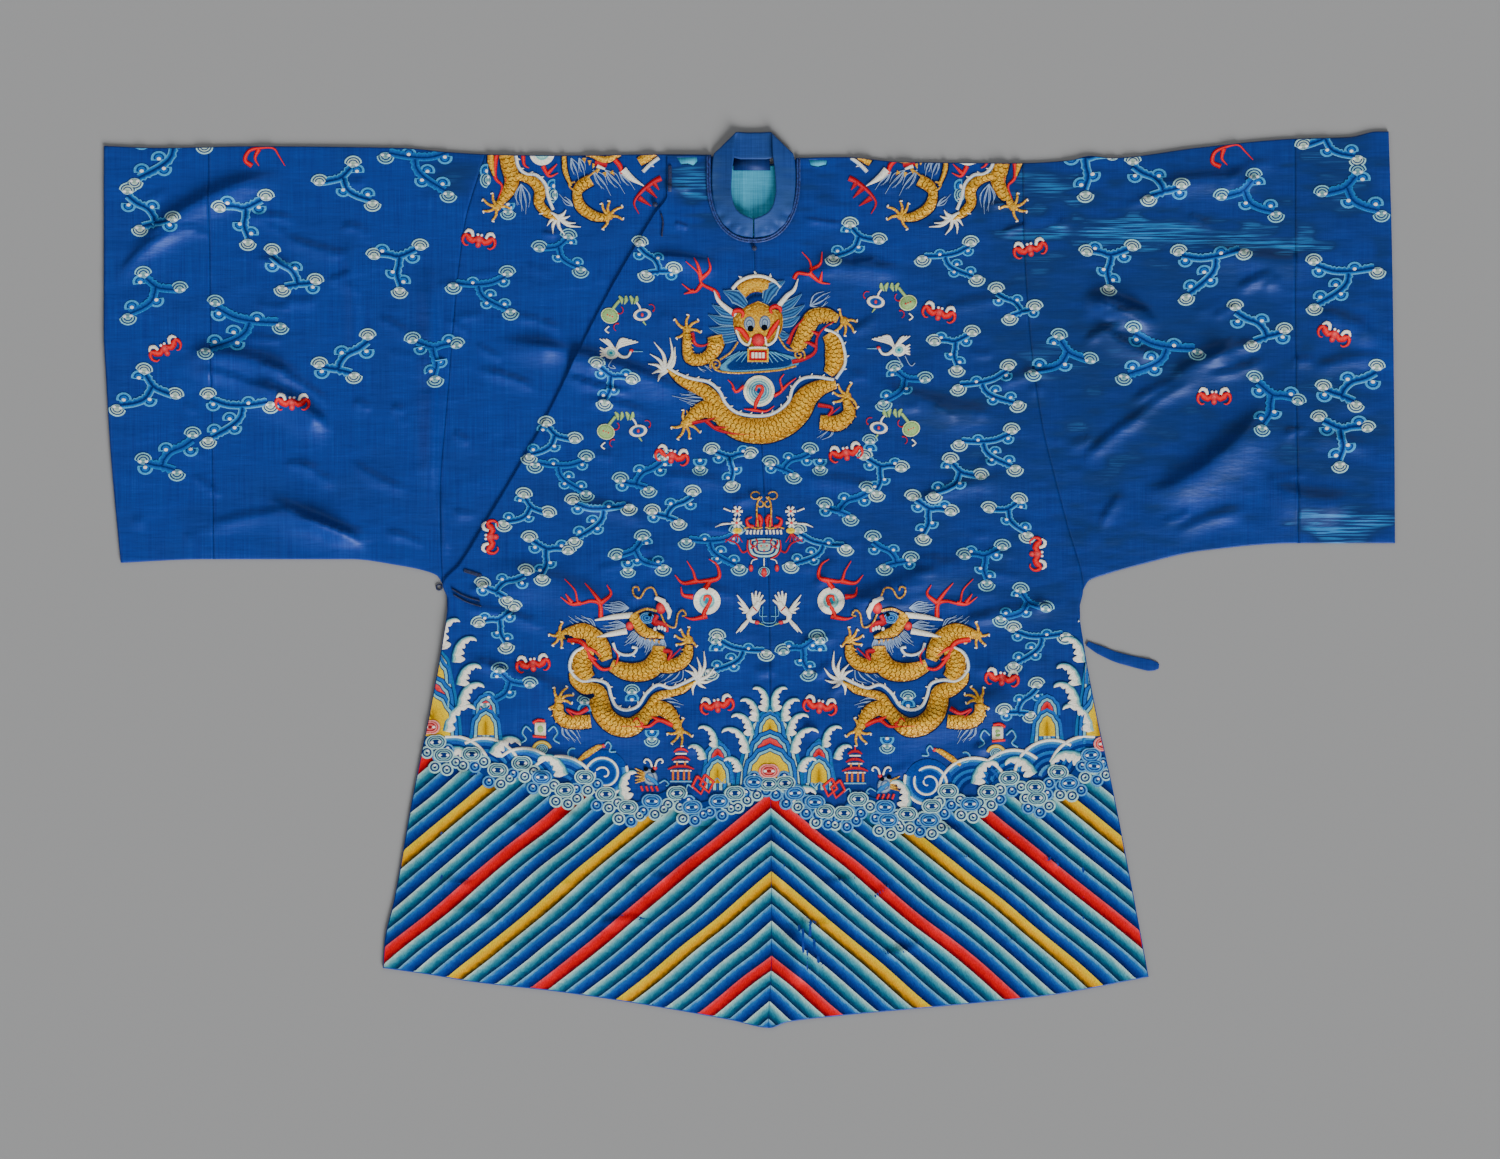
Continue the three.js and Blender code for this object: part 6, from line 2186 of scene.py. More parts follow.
class Landscape(Needle):
    """Mountains, waves, standing stripes and the things that float on them."""

    # Stripes: how far they reach from the centre and in how many steps, rows of thread in each,
    # the gap at the centre, and how ragged their threads lie
    stripe_reach = (540, 170)
    stripe_rows = 9
    centre_gap = 0.3
    grain = 1.25
    grain_seed = 5
    # Stripes: lengths of their sway, their height, how far they stop below the waves, and how far
    # beyond the robe's edges they are drawn
    sway_x = 88
    sway_y = 52
    stripe_lift = 0.25
    stripe_dome = 0.35
    below_top = 6
    spare = 30
    beyond = 12
    stripe_order = (Stripe.RED, Stripe.AQUA, Stripe.BLUE, Stripe.AQUA, Stripe.BLUE, Stripe.YELLOW,
                    Stripe.AQUA,
                    Stripe.BLUE, Stripe.AQUA, Stripe.BLUE)

    def stripes(self, top: Edge, first: int, last: int) -> None:
        """Chevron stripes from a top line down to the hem, one folded band after another.

        Args:
            top: line above which no stripe shows.
            first: number of the uppermost stripe.
            last: number after the lowest stripe.
        """
        luck = np.random.default_rng(self.grain_seed)
        place = np.linspace(0, 1, self.stripe_rows)
        reach = np.linspace(0, *self.stripe_reach)
        for number in range(first, last):
            run = self.stripe_order[number % STRIPES_IN_REPEAT].value
            for side in (-1, 1):
                drop = STRIPE_APEX_Y - number * STRIPE_PITCH - STRIPE_SLOPE * reach
                upper, lower = (self.swayed(side * reach, drop - STRIPE_PITCH * k) for k in (0, 1))
                y = mix(upper[:, None], lower[:, None], place[None])
                x = CENTRE_FRONT(y) + side * (reach[:, None] + self.centre_gap)
                y = y + luck.uniform(-1, 1, y.shape) * (self.grain * (place > 0.05) * (place < 0.9))
                ceiling = top(x) - self.below_top
                inside = (y < ceiling + self.spare) & (y > HEM(x) - self.spare)
                to_right, to_left = x > BODY_RIGHT(y) - self.beyond, x < BODY_LEFT(y) + self.beyond
                keep = inside.any(axis=1) & to_right.any(axis=1) & to_left.any(axis=1)
                if keep.sum() < 3:
                    continue
                marks = np.linspace(0, 1, len(run))
                tones = np.stack([np.interp(place, marks, channel) for channel in dyes(run).T], 1)
                lift = self.stripe_lift + self.stripe_dome * np.sin(np.pi * place)
                grid = np.stack([x, np.minimum(y, ceiling)], axis=-1)[keep]
                self.lay(Stamp(0, 0, 0, 1.0), grid, tones, lift)

    def swayed(self, reach: Array, edge: Array) -> Array:
        """Height of a stripe's edge with its slow sway."""
        return edge + STRIPE_SWAY * value_noise(reach / self.sway_x + 30, edge / self.sway_y + 30, 8)

    rock_side = ((1, 0), (0.94, 0.22), (0.77, 0.5), (0.54, 0.82), (0.3, 0.9), (0.12, 0.96), (0, 1))
    arch_side = ((1, 0), (0.97, 0.34), (0.88, 0.58), (0.66, 0.7), (0.5, 0.86), (0.14, 0.95), (0, 1))

    def arch(self, stamp: Stamp, foot: float, half: float, height: float, rings: Sequence[tuple[float, str]],
             core: Sequence[str], level: int, side: Sequence[Point]) -> None:
        """Rock's arch: bands of given widths from its angular rim inwards, then its core.

        Args:
            stamp: where the motif lies.
            foot: height of its foot.
            half: its half width.
            height: how high it is.
            rings: width and colour of each band.
            core: colours within the bands.
            level: which layer of stitches it lies in.
            side: shape of its right side, from 0 to 1.
        """
        rim = np.array([*side, *[(-x, y) for x, y in side[-2::-1]]]) * (half, height)
        inset, places, codes = 0.0, [], []
        for width, code in rings:
            for at in (inset, inset + width - 0.5):
                places.append(max(1 - at / half, 0.02))
                codes.append(code)
            inset += width
        for part, code in zip(np.linspace(max(1 - inset / half, 0.02), 0, len(core)), core):
            places.append(part)
            codes.append(code)
        grid = np.stack([rim * (part, 1 - (1 - part) * half / height) for part in places], axis=1)
        grid[..., 1] += foot
        self.lay(stamp, grid, dyes(codes), np.full(len(codes), LIFT + level * LEVEL))

    def mountain(self, stamp: Stamp, half: float, height: float, cores: Sequence[tuple]) -> None:
        """Rock with straight banded sides and one arched core in front of another.

        Args:
            stamp: where the motif lies.
            half: its half width.
            height: how high it is.
            cores: foot, half width, height, colours and number of bands of each arch.
        """
        flank = ((3.6, "#1D6AA8"), (1.2, "#08225E"), (3.0, "#B9DCD0"), (1.2, "#08225E"), (3.4, "#2A78C4"),
                 (1.2, "#08225E"),
                (3.0, "#A4D2CC"), (1.2, "#08225E"))
        ring = ((2.8, "#A9D6C8"), (1.1, "#08225E"), (3.0, "#2468BC"), (1.1, "#08225E"), (2.6, "#7FC0CC"),
                (1.0, "#08225E"))
        self.arch(stamp, 0, half, height, flank, ("#1F5FB0", "#1F5FB0"), 2, self.rock_side)
        for index, (foot, wide, high, codes, bands) in enumerate(cores):
            self.arch(stamp, foot, wide, high, ring[6 - bands :], codes, 4 + 2 * index, self.arch_side)

    def plume(self, stamp: Stamp, length: float = 17.0, width: float = 9.0, scallops: float = 5.0) -> None:
        """Breaking wave: a white plume with a smooth teal back, a scalloped edge and a hooked tip.

        Args:
            stamp: where the motif lies.
            length: how long it is.
            width: how wide its foot is.
            scallops: how many waves its edge has.
        """
        curve = ((0.16, -0.4), (0.06, 0.06), (-0.16, 0.44), (-0.5, 0.66), (-0.86, 0.66), (-1.02, 0.5))
        line = through(curve, 0.06) * length
        part = np.linspace(0, 1, len(line))
        normal = left_of(directions(line))
        back = -0.4 * width * (1 - part) ** 0.35
        edge = 0.75 * width * (1 - part) ** 0.7 * (0.55 + 0.65 * np.abs(np.sin(np.pi * scallops * part)))
        place = np.array([0, 0.12, 0.2, 0.3, 0.36, 0.7, 1])
        offset = mix(back[:, None], edge[:, None], place[None])
        grid = line[:, None] + normal[:, None] * offset[..., None]
        codes = ("#12507C", "#4E9AA8", "#9CCBC6", "#8FC0BC", "#F4EEDC", "#FFFBEE", "#F6EEDC")
        self.lay(stamp, grid, dyes(codes), LIFT + (7 + 3 * np.sin(np.pi * place)) * LEVEL)

    def arcs(self, stamp: Stamp, radius: float, start: float, end: float, rings: int = 6) -> None:
        """Wave of nested arcs under a white rim.

        Args:
            stamp: where the motif lies.
            radius: its radius.
            start: angle in degrees at which it starts.
            end: angle at which it ends.
            rings: how many arcs it has.
        """
        tones = (("#5AA0CC", "#2E7CC0"), ("#1A56AC", "#1A56AC"), ("#0A2E7C", "#0A2E7C"),
                 ("#2E7CC0", "#1A5CB4"),
                 ("#0A2E7C", "#0A2E7C"), ("#1F66B8", "#154E9E"), ("#08256C", "#08256C"))
        for ring in range(rings):
            self.band(stamp, arc(0, 0, radius - 2.6 - 3.3 * ring, start, end), 3.6, tones[ring % 7], 3,
                      dome=0.2)
        self.band(stamp, arc(0, 0, radius, start, end), 3.0, Silk.CREAM, 5, dome=0.5)

    def whirl(self, stamp: Stamp, radius: float = 24.0) -> None:
        """Curling wave: a white line that coils over blue arcs.

        Args:
            stamp: where the motif lies.
            radius: its radius.
        """
        self.disc(stamp, 0, 0, radius, radius, Dots.DEEP, 3, segments=30)
        for shift, silk, width in ((3.6, ("#4E9CD0", "#1E5FB4"), 4.0), (0.0, Silk.CREAM, 2.8)):
            line = coil(radius, 2.5, 200)
            part = np.linspace(COIL_MIDDLE, 1, len(line))[:, None]
            self.band(stamp, line * (1 - shift / radius * part), np.linspace(1.6, width, len(line)), silk, 6,
                      dome=0.3)

    def head(self, stamp: Stamp, dots: Dots = Dots.BAND_HEAD) -> None:
        """Cloud-scroll head with two eyes.

        Args:
            stamp: where the motif lies.
            dots: its colours from the middle to the rim.
        """
        self.disc(stamp, 0, 0, 10.6, 7.9, dots, 14, 0.14, segments=24)
        for side in (-1, 1):
            self.disc(stamp, side * 3.6, 0, 2.1, 1.5, Dots.EYE, 17, segments=8, dome=0.25)

    def snail(self, stamp: Stamp, dots: Dots = Dots.SNAIL) -> None:
        """Small round cloud curl."""
        self.disc(stamp, 0, 0, 6.8, 6.4, dots, 10, segments=16)
        self.disc(stamp, 0.4, 1.6, 1.8, 1.5, Dots.EYE, 13, segments=8, dome=0.25)

    def cloud_band(self, heads: Sequence[Point], seed: int) -> None:
        """Row of scroll heads with curls between and below them.

        Args:
            heads: squares of the frame where the scroll heads lie.
            seed: seed of its random draws.
        """
        luck = np.random.default_rng(seed)
        middle = [spot(u, v + 4) for u, v in sorted(heads)]
        self.band(Stamp(0, 0, 0, 1.0), [(place.x, place.y) for place in middle], 19, ("#0C3480", "#0C3480"),
                  7, dome=0.0,
                  step=6)
        for index, (u, v) in enumerate(heads):
            kind = Dots.BLUE_HEAD if luck.random() < 0.3 else Dots.BAND_HEAD
            self.head(spot(u, v, luck.uniform(-6, 6)), kind)
            for across, drop in ((-9, 11), (3, 13.5), (12, 8)):
                dots = Dots.SNAIL_BLUE if luck.random() < 0.5 else Dots.SNAIL
                place = spot(u + across, v + drop + luck.uniform(-1, 1), luck.uniform(-30, 30), 1,
                             bool(luck.integers(2)))
                self.snail(place, dots)

    def pagoda(self, stamp: Stamp) -> None:
        """Small red pavilion of two roofs.

        Args:
            stamp: where the motif lies.
        """
        for y, half in ((16, 7), (8, 9), (-1, 13)):
            self.band(stamp, ((-half, y - 1), (-half * 0.4, y + 1.6), (half * 0.4, y + 1.6), (half, y - 1)),
                      (1.4, 3, 3, 1.4),
                      Silk.CRIMSON, 4, dome=0.4)
            self.band(stamp, ((-half * 0.8, y - 2.6), (half * 0.8, y - 2.6)), 1.6, Silk.CREAM, 3, dome=0.2)
        for x in (-8, -3, 3, 8):
            self.band(stamp, ((x, -3), (x, -13)), 2.2, ("#B8501C", "#F08A3C", "#B8501C"), 3, dome=0.4)
        for x in (-4, 4):
            self.band(stamp, ((x, 6), (x, 1)), 2, ("#B8501C", "#F08A3C", "#B8501C"), 3, dome=0.4)
        self.band(stamp, ((-11, -14), (11, -14)), 2, Silk.CURL, 3, dome=0.3)
        self.band(stamp, ((0, 18), (0, 23)), 1.6, Silk.CORAL, 3, dome=0.3)

    def sea_dragon(self, stamp: Stamp) -> None:
        """Fish-dragon's head that rises from the waves.

        Args:
            stamp: where the motif lies.
        """
        for y in (9, 5, 1, -3, -6):
            self.band(stamp, ((-4, y * 0.4), (-14, y)), (3, 0.9), Silk.GOLD_LINE, 4, gilt=True)
        self.disc(stamp, 1, 0, 7.6, 9, Dots.EYE_PATCH, 4, turn=30)
        self.band(stamp, ((-3, 2), (4, -3), (9, -8)), (5, 6, 2), Silk.SEA, 6)
        for x, y in ((-3, 8), (4, 6)):
            self.disc(stamp, x, y, 2.4, 2.2, Dots.PUPIL, 8, segments=10)
        for x, flip in ((0, True), (9, False)):
            self.band(stamp.at(x, 14, 0, 1, flip), ((-3, -4), (-1, 2), (3, 4), (5, 1), (3, 0)),
                      (2, 2, 2, 1.6, 1), Silk.CREAM,
                      6, dome=0.5)
        self.disc(stamp, 6, 9, 2.2, 2.2, Dots.RED, 7, segments=10)
        for x in (-8, -3, 2, 7):
            self.band(stamp, ((x, -9), (x + 2, -14)), 2.4, Silk.CORAL, 5)
        self.band(stamp, ((10, -6), (16, -3), (20, -7), (17, -9)), 1.6, Silk.CURL, 5)

    def ornament(self, stamp: Stamp) -> None:
        """Pair of interlocked red lozenges on a ribbon.

        Args:
            stamp: where the motif lies.
        """
        lozenge = ((0, 9), (7, 0), (0, -9), (-7, 0), (0, 9))
        for x, level in ((-4, 6), (4, 7)):
            self.band(stamp.at(x, 0), lozenge, 3, Silk.CORAL, level, smooth=False, dome=0.6)
        for side in (-1, 1):
            self.band(stamp.mirrored(side < 0), ((10, -2), (15, 3), (19, -3), (23, 1)), 1.8, Silk.CURL, 4)

    def scroll_charm(self, stamp: Stamp) -> None:
        """Ribboned charm: a framed white tile with green and red ties.

        Args:
            stamp: where the motif lies.
        """
        self.band(stamp, ((-5, 0), (6, 0)), 13, ("#C8B890", "#FBF6E6", "#FBF6E6", "#C8B890"), 4, dome=0.3)
        self.disc(stamp, 0.5, 0, 3.4, 4, Dots.GOURD, 6, segments=12)
        self.band(stamp, ((-7, 6), (-2, 9), (5, 8)), 3, Silk.CORAL, 5)
        self.band(stamp, ((-7, -7), (6, -8)), 2.6, Silk.CORAL, 5)
        for side in (-1, 1):
            self.band(stamp.at(0, -2, 0, 1, side < 0), ((8, 0), (14, 5), (18, -2), (14, -8), (20, -12)), 2,
                      Silk.CURL, 3)
        self.band(stamp, arc(2, -22, 9, 20, 160), 3.4, ("#9C7A1C", "#F2D25A", "#9C7A1C"), 4)
        self.disc(stamp, 2, -20, 6, 5, Dots.CAP, 3)

    def boat(self, stamp: Stamp) -> None:
        """Gilt horn-shaped charm with ribbons.

        Args:
            stamp: where the motif lies.
        """
        self.band(stamp, ((-14, -9), (-4, -2), (8, 6), (14, 8)), (3, 7, 6, 3), Silk.GOLD, 4, gilt=True)
        self.disc(stamp, 15, 8, 2.4, 2.2, Dots.RED, 5, segments=10)
        self.band(stamp, ((16, 8), (20, 13), (24, 8), (22, 2), (29, 2)), 2, Silk.CURL, 4)
        self.band(stamp, arc(-19, 0, 5, 60, 300), 2.2, Silk.CURL, 3)

    def basket(self, stamp: Stamp) -> None:
        """Flower basket with flames, bells and tassels.

        Args:
            stamp: where the motif lies.
        """
        rim = ((-21, -14), (-21, -24), (-18, -33), (-10, -37), (0, -38), (10, -37), (18, -33), (21, -24),
               (21, -14), (10, -12),
               (-10, -12))
        self.shape(stamp, through([*rim, rim[0]], 3), Dots.PALE_CAP, 3, 0.9)
        for side in (-1, 1):
            half = stamp.mirrored(side < 0)
            self.band(half, ((22, -14), (23, -26), (18, -35), (9, -40)), 2.4, Silk.CRIMSON, 5)
            self.band(half, arc(14, -17, 5, 120, 400), 2.2, Silk.CRIMSON, 6)
            self.band(half, arc(14, -28, 4.4, 20, 200), 2.2, Silk.CRIMSON, 6)
            self.band(half, ((22, -28), (30, -31), (37, -20), (44, -16), (54, -13)), (2.4, 2.4, 2.2, 2, 1),
                      Silk.CRIMSON, 4)
            self.band(half, ((9, -40), (16, -42), (18, -47)), 1.6, Silk.CREAM, 4)
            self.disc(half, 18, -53, 3, 5, Dots.RED, 5)
            for index in range(5):
                self.band(half, ((3 + 5 * index, 0), (4 + 5 * index, -6)), 3, Silk.CREAM, 5)
            self.band(half, ((2, 4), (9, 2), (20, 4), (28, 2)), 2.4, Silk.GOLD_LINE, 5, gilt=True)
            self.band(half, ((5, 4), (4, 14), (8, 20), (11, 5)), (3, 6, 5, 3), Silk.CORAL, 6)
            self.band(half, ((14, 5), (21, 6), (24, 14), (17, 18)), (4, 6, 4, 2), Silk.CORAL, 6)
            self.band(half, ((8, 4), (10, 22), (9, 38), (3, 46)), 2.4, Silk.GOLD_LINE, 7, gilt=True)
            self.band(half, arc(12, 48, 6.4, 200, 520, 0.8), 2.0, Silk.GOLD_LINE, 7, gilt=True)
            self.band(half, arc(5, 36, 4, 90, 330), 2.0, Silk.GOLD_LINE, 7, gilt=True)
            for flower_x, flower_y in ((38, 10), (37, 26)):
                for angle in range(0, 360, 60):
                    across, up = math.cos(math.radians(angle)), math.sin(math.radians(angle))
                    self.band(half, ((flower_x + 2 * across, flower_y + 2 * up),
                                     (flower_x + 7.4 * across, flower_y + 7.4 * up)),
                              (2.6, 4.0), Silk.CREAM, 5)
                self.disc(half, flower_x, flower_y, 2.4, 2.4, Dots.RED, 7, segments=10)
            self.disc(half, 37, -1, 6.4, 4, Dots.YELLOW, 6)
            for tip_x in (30, 36, 42, 48, 54):
                self.band(half, ((38, -4), (tip_x, -17)), (1.6, 1.2), Silk.CRIMSON, 4, dome=0.2)
            self.band(half, ((46, 9), (58, 8), (68, 4)), (2, 3, 1), Silk.CREAM, 4)
            self.band(half, ((46, 26), (56, 30)), (2, 2.4), Silk.CREAM, 4)
        for x, y in ((0, -16), (-4, -22), (4, -22), (0, -28)):
            self.disc(stamp, x, y, 2.4, 2.2, Dots.RED, 7, segments=10)
        self.band(stamp, ((0, -39), (0, -50)), 1.8, Silk.CREAM, 4)
        self.disc(stamp, 0, -58, 8, 7, Dots.CAP, 4)
        self.disc(stamp, 0, -59, 4.4, 6.4, Dots.RED, 6)

    def crane_pair(self, stamp: Stamp) -> None:
        """Two small cranes that dive head to head, with a fine lattice between them.

        Args:
            stamp: where the motif lies.
        """
        for side in (-1, 1):
            half = stamp.mirrored(side > 0)
            for tip in ((-17, 19), (-13, 21), (-9, 20), (-6, 17), (-4, 12)):
                self.band(half, ((-14, 4), tip), (2.4, 3, 1.6), Silk.CREAM, 4, dome=0.3)
            for root, tips in (((-20, 1), ((-32, 17), (-31, 10), (-30, 4), (-27, -1))),
                               ((-20, -7), ((-33, -21), (-29, -20), (-26, -17), (-24, -12)))):
                for tip in tips:
                    self.band(half, (root, tip), (2.2, 3, 1), Silk.CREAM, 4, dome=0.3)
            self.band(half, ((-10, 10), (-14, 3), (-20, -3), (-18, -9), (-13, -10)), (5, 8, 6, 3, 2.6),
                      Silk.CREAM, 6)
            self.band(half, ((-16, 5), (-12, 1)), (1.2, 1.2), Silk.CRIMSON, 10, dome=0.2)
            self.disc(half, -12, -10.5, 2.6, 2.0, Dots.RED, 9, segments=10)
            self.band(half, ((-11, -11), (-5, -13)), (1.6, 0.7), Silk.LEAF, 9, dome=0.2)
            for route in (((-9, 3), (-9, -4), (-2, -4)), ((-6, 6), (-6, -9), (0, -11))):
                self.band(half, route, 0.9, Silk.CURL, 3, dome=0.2)
        self.band(stamp, arc(0, -10, 7, 180, 360, 0.6), 1.0, Silk.CURL, 3, dome=0.2)


SLEEVE_RIGHT_CLOUDS = (
    (168, 157), (149, 212), (243, 220), (345, 184), (419, 169), (292, 273), (396, 268), (154, 294),
    (243, 332),
    (345, 358), (437, 358), (149, 393), (238, 417), (169, 455),
)
FRONT_CLOUDS = (
    (560, 252), (483, 294), (655, 262), (612, 386), (553, 441), (562, 475), (642, 475), (733, 466),
    (528, 512),
    (600, 519), (673, 508), (548, 559), (638, 555), (714, 550), (504, 584), (499, 629), (508, 687),
    (738, 658),
    (790, 462), (882, 476), (958, 478), (988, 451), (846, 503), (930, 519), (1009, 515), (818, 552),
    (891, 554),
    (983, 565), (1025, 607), (1038, 646), (1022, 703), (802, 657), (857, 242), (950, 264), (1015, 304),
    (953, 351),
    (904, 384), (988, 391),
)
SLEEVE_LEFT_CLOUDS = (
    (1107, 266), (1064, 358), (1160, 358), (1156, 181), (1089, 170), (1247, 197), (1212, 269), (1259, 326),
    (1272, 407), (1350, 194), (1344, 283), (1350, 385), (1344, 441), (1328, 144),
)
LONE_CAPS = (
    (628, 572, 180), (632, 690, 0), (652, 741, 180), (585, 700, 0), (908, 696, 0), (887, 748, 180),
    (716, 640, 0),
    (820, 640, 0), (700, 470, 180), (820, 470, 180), (553, 195, 90), (960, 195, 90),
    (486, 180, 90), (508, 214, 180), (665, 455, 0), (870, 440, 0),
)
BATS = (
    (165, 349, 28), (293, 403, 0), (479, 240, -10), (491, 537, 90), (533, 664, 6), (672, 456, -12),
    (717, 705, 10),
    (820, 706, -10), (846, 453, 12), (939, 313, -14), (1030, 249, 12), (1037, 554, -90), (1002, 678, -6),
    (1214, 397, 0), (1334, 335, -24),
)
BAND_RIGHT = (
    (436, 742), (444, 755), (472, 754), (498, 770), (522, 763), (542, 777), (565, 790), (585, 777),
    (606, 794),
    (628, 807), (652, 801), (677, 793), (692, 807), (719, 801), (735, 793), (754, 782),
)
BAND_LEFT = (
    (785, 783), (795, 793), (815, 802), (825, 811), (844, 813), (858, 799), (885, 807), (888, 820),
    (907, 814),
    (932, 806), (929, 820), (948, 791), (970, 804), (988, 792), (1009, 778), (1035, 787), (1037, 798),
    (1058, 772),
    (1069, 783), (1091, 755), (1094, 766),
)
MIRROR_U = 769.0

# Motifs by squares of the frame: u and v, then turn, or whether they are mirrored
CORAL_SPRIGS = ((265, 160, 0), (1232, 158, 12))
SPRIG_BRANCHES = (
    ((-13, -6), (-20, 0), (-16, 9), (-6, 12), (8, 12), (14, 4), (20, -6)),
    ((-6, 11), (-10, 2), (-6, -6)),
)
CRANES = ((617, 353, False), (893, 350, True))
GOURDS = ((628, 314, False), (624, 430, False), (890, 301, True), (893, 427, True))
CHEST_DRAGON = (758, 350)
SHOULDER_DRAGONS = ((575, 190, False), (935, 190, True))
SKIRT_DRAGONS = ((635, 660, False), (2 * MIRROR_U - 635, 660, True))
SKIRT_PEARLS = ((707, 601, False), (2 * MIRROR_U - 707, 601, True))
PEARL_FLAMES = (
    ((-2, 12), (2, 20), (-10, 20), (-14, 30), (-20, 40)), ((2, 20), (12, 24), (10, 36), (2, 42)),
    ((-10, 20), (-24, 18), (-32, 26)), ((-14, 4), (-24, 6), (-26, 14)),
    ((0, -15), (-14, -18), (-22, -16)),
)

# Stripes: their first and last number; and the middle of the band under which they start
STRIPE_NUMBERS = (-26, 16)
BAND_MIDDLE = (769, 776)

# Cores of the mountains' arches: foot, half width, height, colours and number of bands
YELLOW_CORE = ("#F6D010", "#ECBE06", "#A87808")
RED_CORE = ("#EE4A48", "#DA1420", "#A00C18")
SMALL_CORES = ((28, 13.5, 21, RED_CORE, 4), (7, 15.5, 28, YELLOW_CORE, 4))
SIDE_CORES = ((60, 19, 30, YELLOW_CORE, 4), (36, 22, 34, RED_CORE, 5), (8, 26, 48, YELLOW_CORE, 5))
MIDDLE_CORES = ((54, 15, 25, YELLOW_CORE, 4), (32, 22, 29, RED_CORE, 5), (6, 28, 41, YELLOW_CORE, 5))
# Mountains: u and v of the foot, half width, height and cores
MOUNTAINS = (
    (717.6, 790, 18, 52, SMALL_CORES), (819, 790, 18, 52, SMALL_CORES), (486, 742, 17, 42, SMALL_CORES),
    (1047, 743, 17, 42, SMALL_CORES), (433, 744, 30, 104, SIDE_CORES), (1104, 744, 30, 104, SIDE_CORES),
    (770, 790, 35, 85, MIDDLE_CORES),
)
# Waves that break against them: across and up from the foot, turn, length and width
MIDDLE_FOOT = (770, 790)
MIDDLE_PLUMES = (
    (5, 86, -24, 17, 9), (15, 76, -14, 17, 9), (21, 62, -4, 18, 9), (26, 46, 0, 22, 9),
    (32, 24, 8, 13, 9), (56, 50, -8, 17, 8), (68, 36, 4, 13, 8), (24, -7, 20, 19, 12),
)
SIDE_FEET = {-1: (433, 744), 1: (1105, 744)}
SIDE_PLUMES = (
    (-10, 104, -20, 22, 11), (-25, 90, -8, 20, 11), (-30, 66, 0, 18, 11), (-31, 46, 0, 20, 11),
    (-18, 22, 0, 24, 11),
)
# Arched waves: u, v, radius, the angles between which they show, and how many arcs they have
WAVES = (
    (452, 776, 40, 20, 100, 7), (484, 776, 38, 10, 120, 8), (524, 784, 36, 15, 130, 7),
    (560, 792, 36, 10, 150, 7), (1088, 776, 40, 80, 160, 7), (1052, 778, 38, 60, 170, 8),
    (1014, 786, 36, 50, 165, 7), (974, 794, 36, 30, 170, 7),
)
WHIRLS = ((604, 774, False), (928, 783, True))
SEA_PLUMES = (
    (452, 752, -60, True), (498, 748, -20, True), (560, 768, 10, False), (624, 792, 30, True),
    (1072, 756, 60, False), (1028, 768, 20, False), (978, 776, 0, True), (906, 800, -20, False),
)
# Charms: what each is, its u and v, and its turn, size and whether it is mirrored
CHARMS = (
    (Landscape.pagoda, (681, 767)), (Landscape.pagoda, (855, 769)),
    (Landscape.sea_dragon, (649, 777)), (Landscape.sea_dragon, (886, 785, 0, 1, True)),
    (Landscape.ornament, (703, 784, 12)), (Landscape.ornament, (834, 788, -12, 1, True)),
    (Landscape.scroll_charm, (540, 729)),
    (Landscape.scroll_charm, (2 * MIRROR_U - 540, 733, 0, 1, True)),
    (Landscape.boat, (590, 753, 0, 0.9)), (Landscape.boat, (2 * MIRROR_U - 590, 757, 0, 0.9, True)),
    (Landscape.basket, (764, 530, 0, 0.72)), (Landscape.crane_pair, (769, 612)),
)
# Scroll heads and curls over the band's middle and ends
HEADS = (
    (769, 784, Dots.BAND_HEAD), (769, 771, Dots.RED_HEAD), (1104, 744, Dots.RED_HEAD),
    (430, 727, Dots.RED_HEAD),
)
SNAILS = (
    (754, 777, Dots.SNAIL_BLUE), (753, 787, Dots.SNAIL), (784, 777, Dots.SNAIL_BLUE),
    (785, 787, Dots.SNAIL),
)


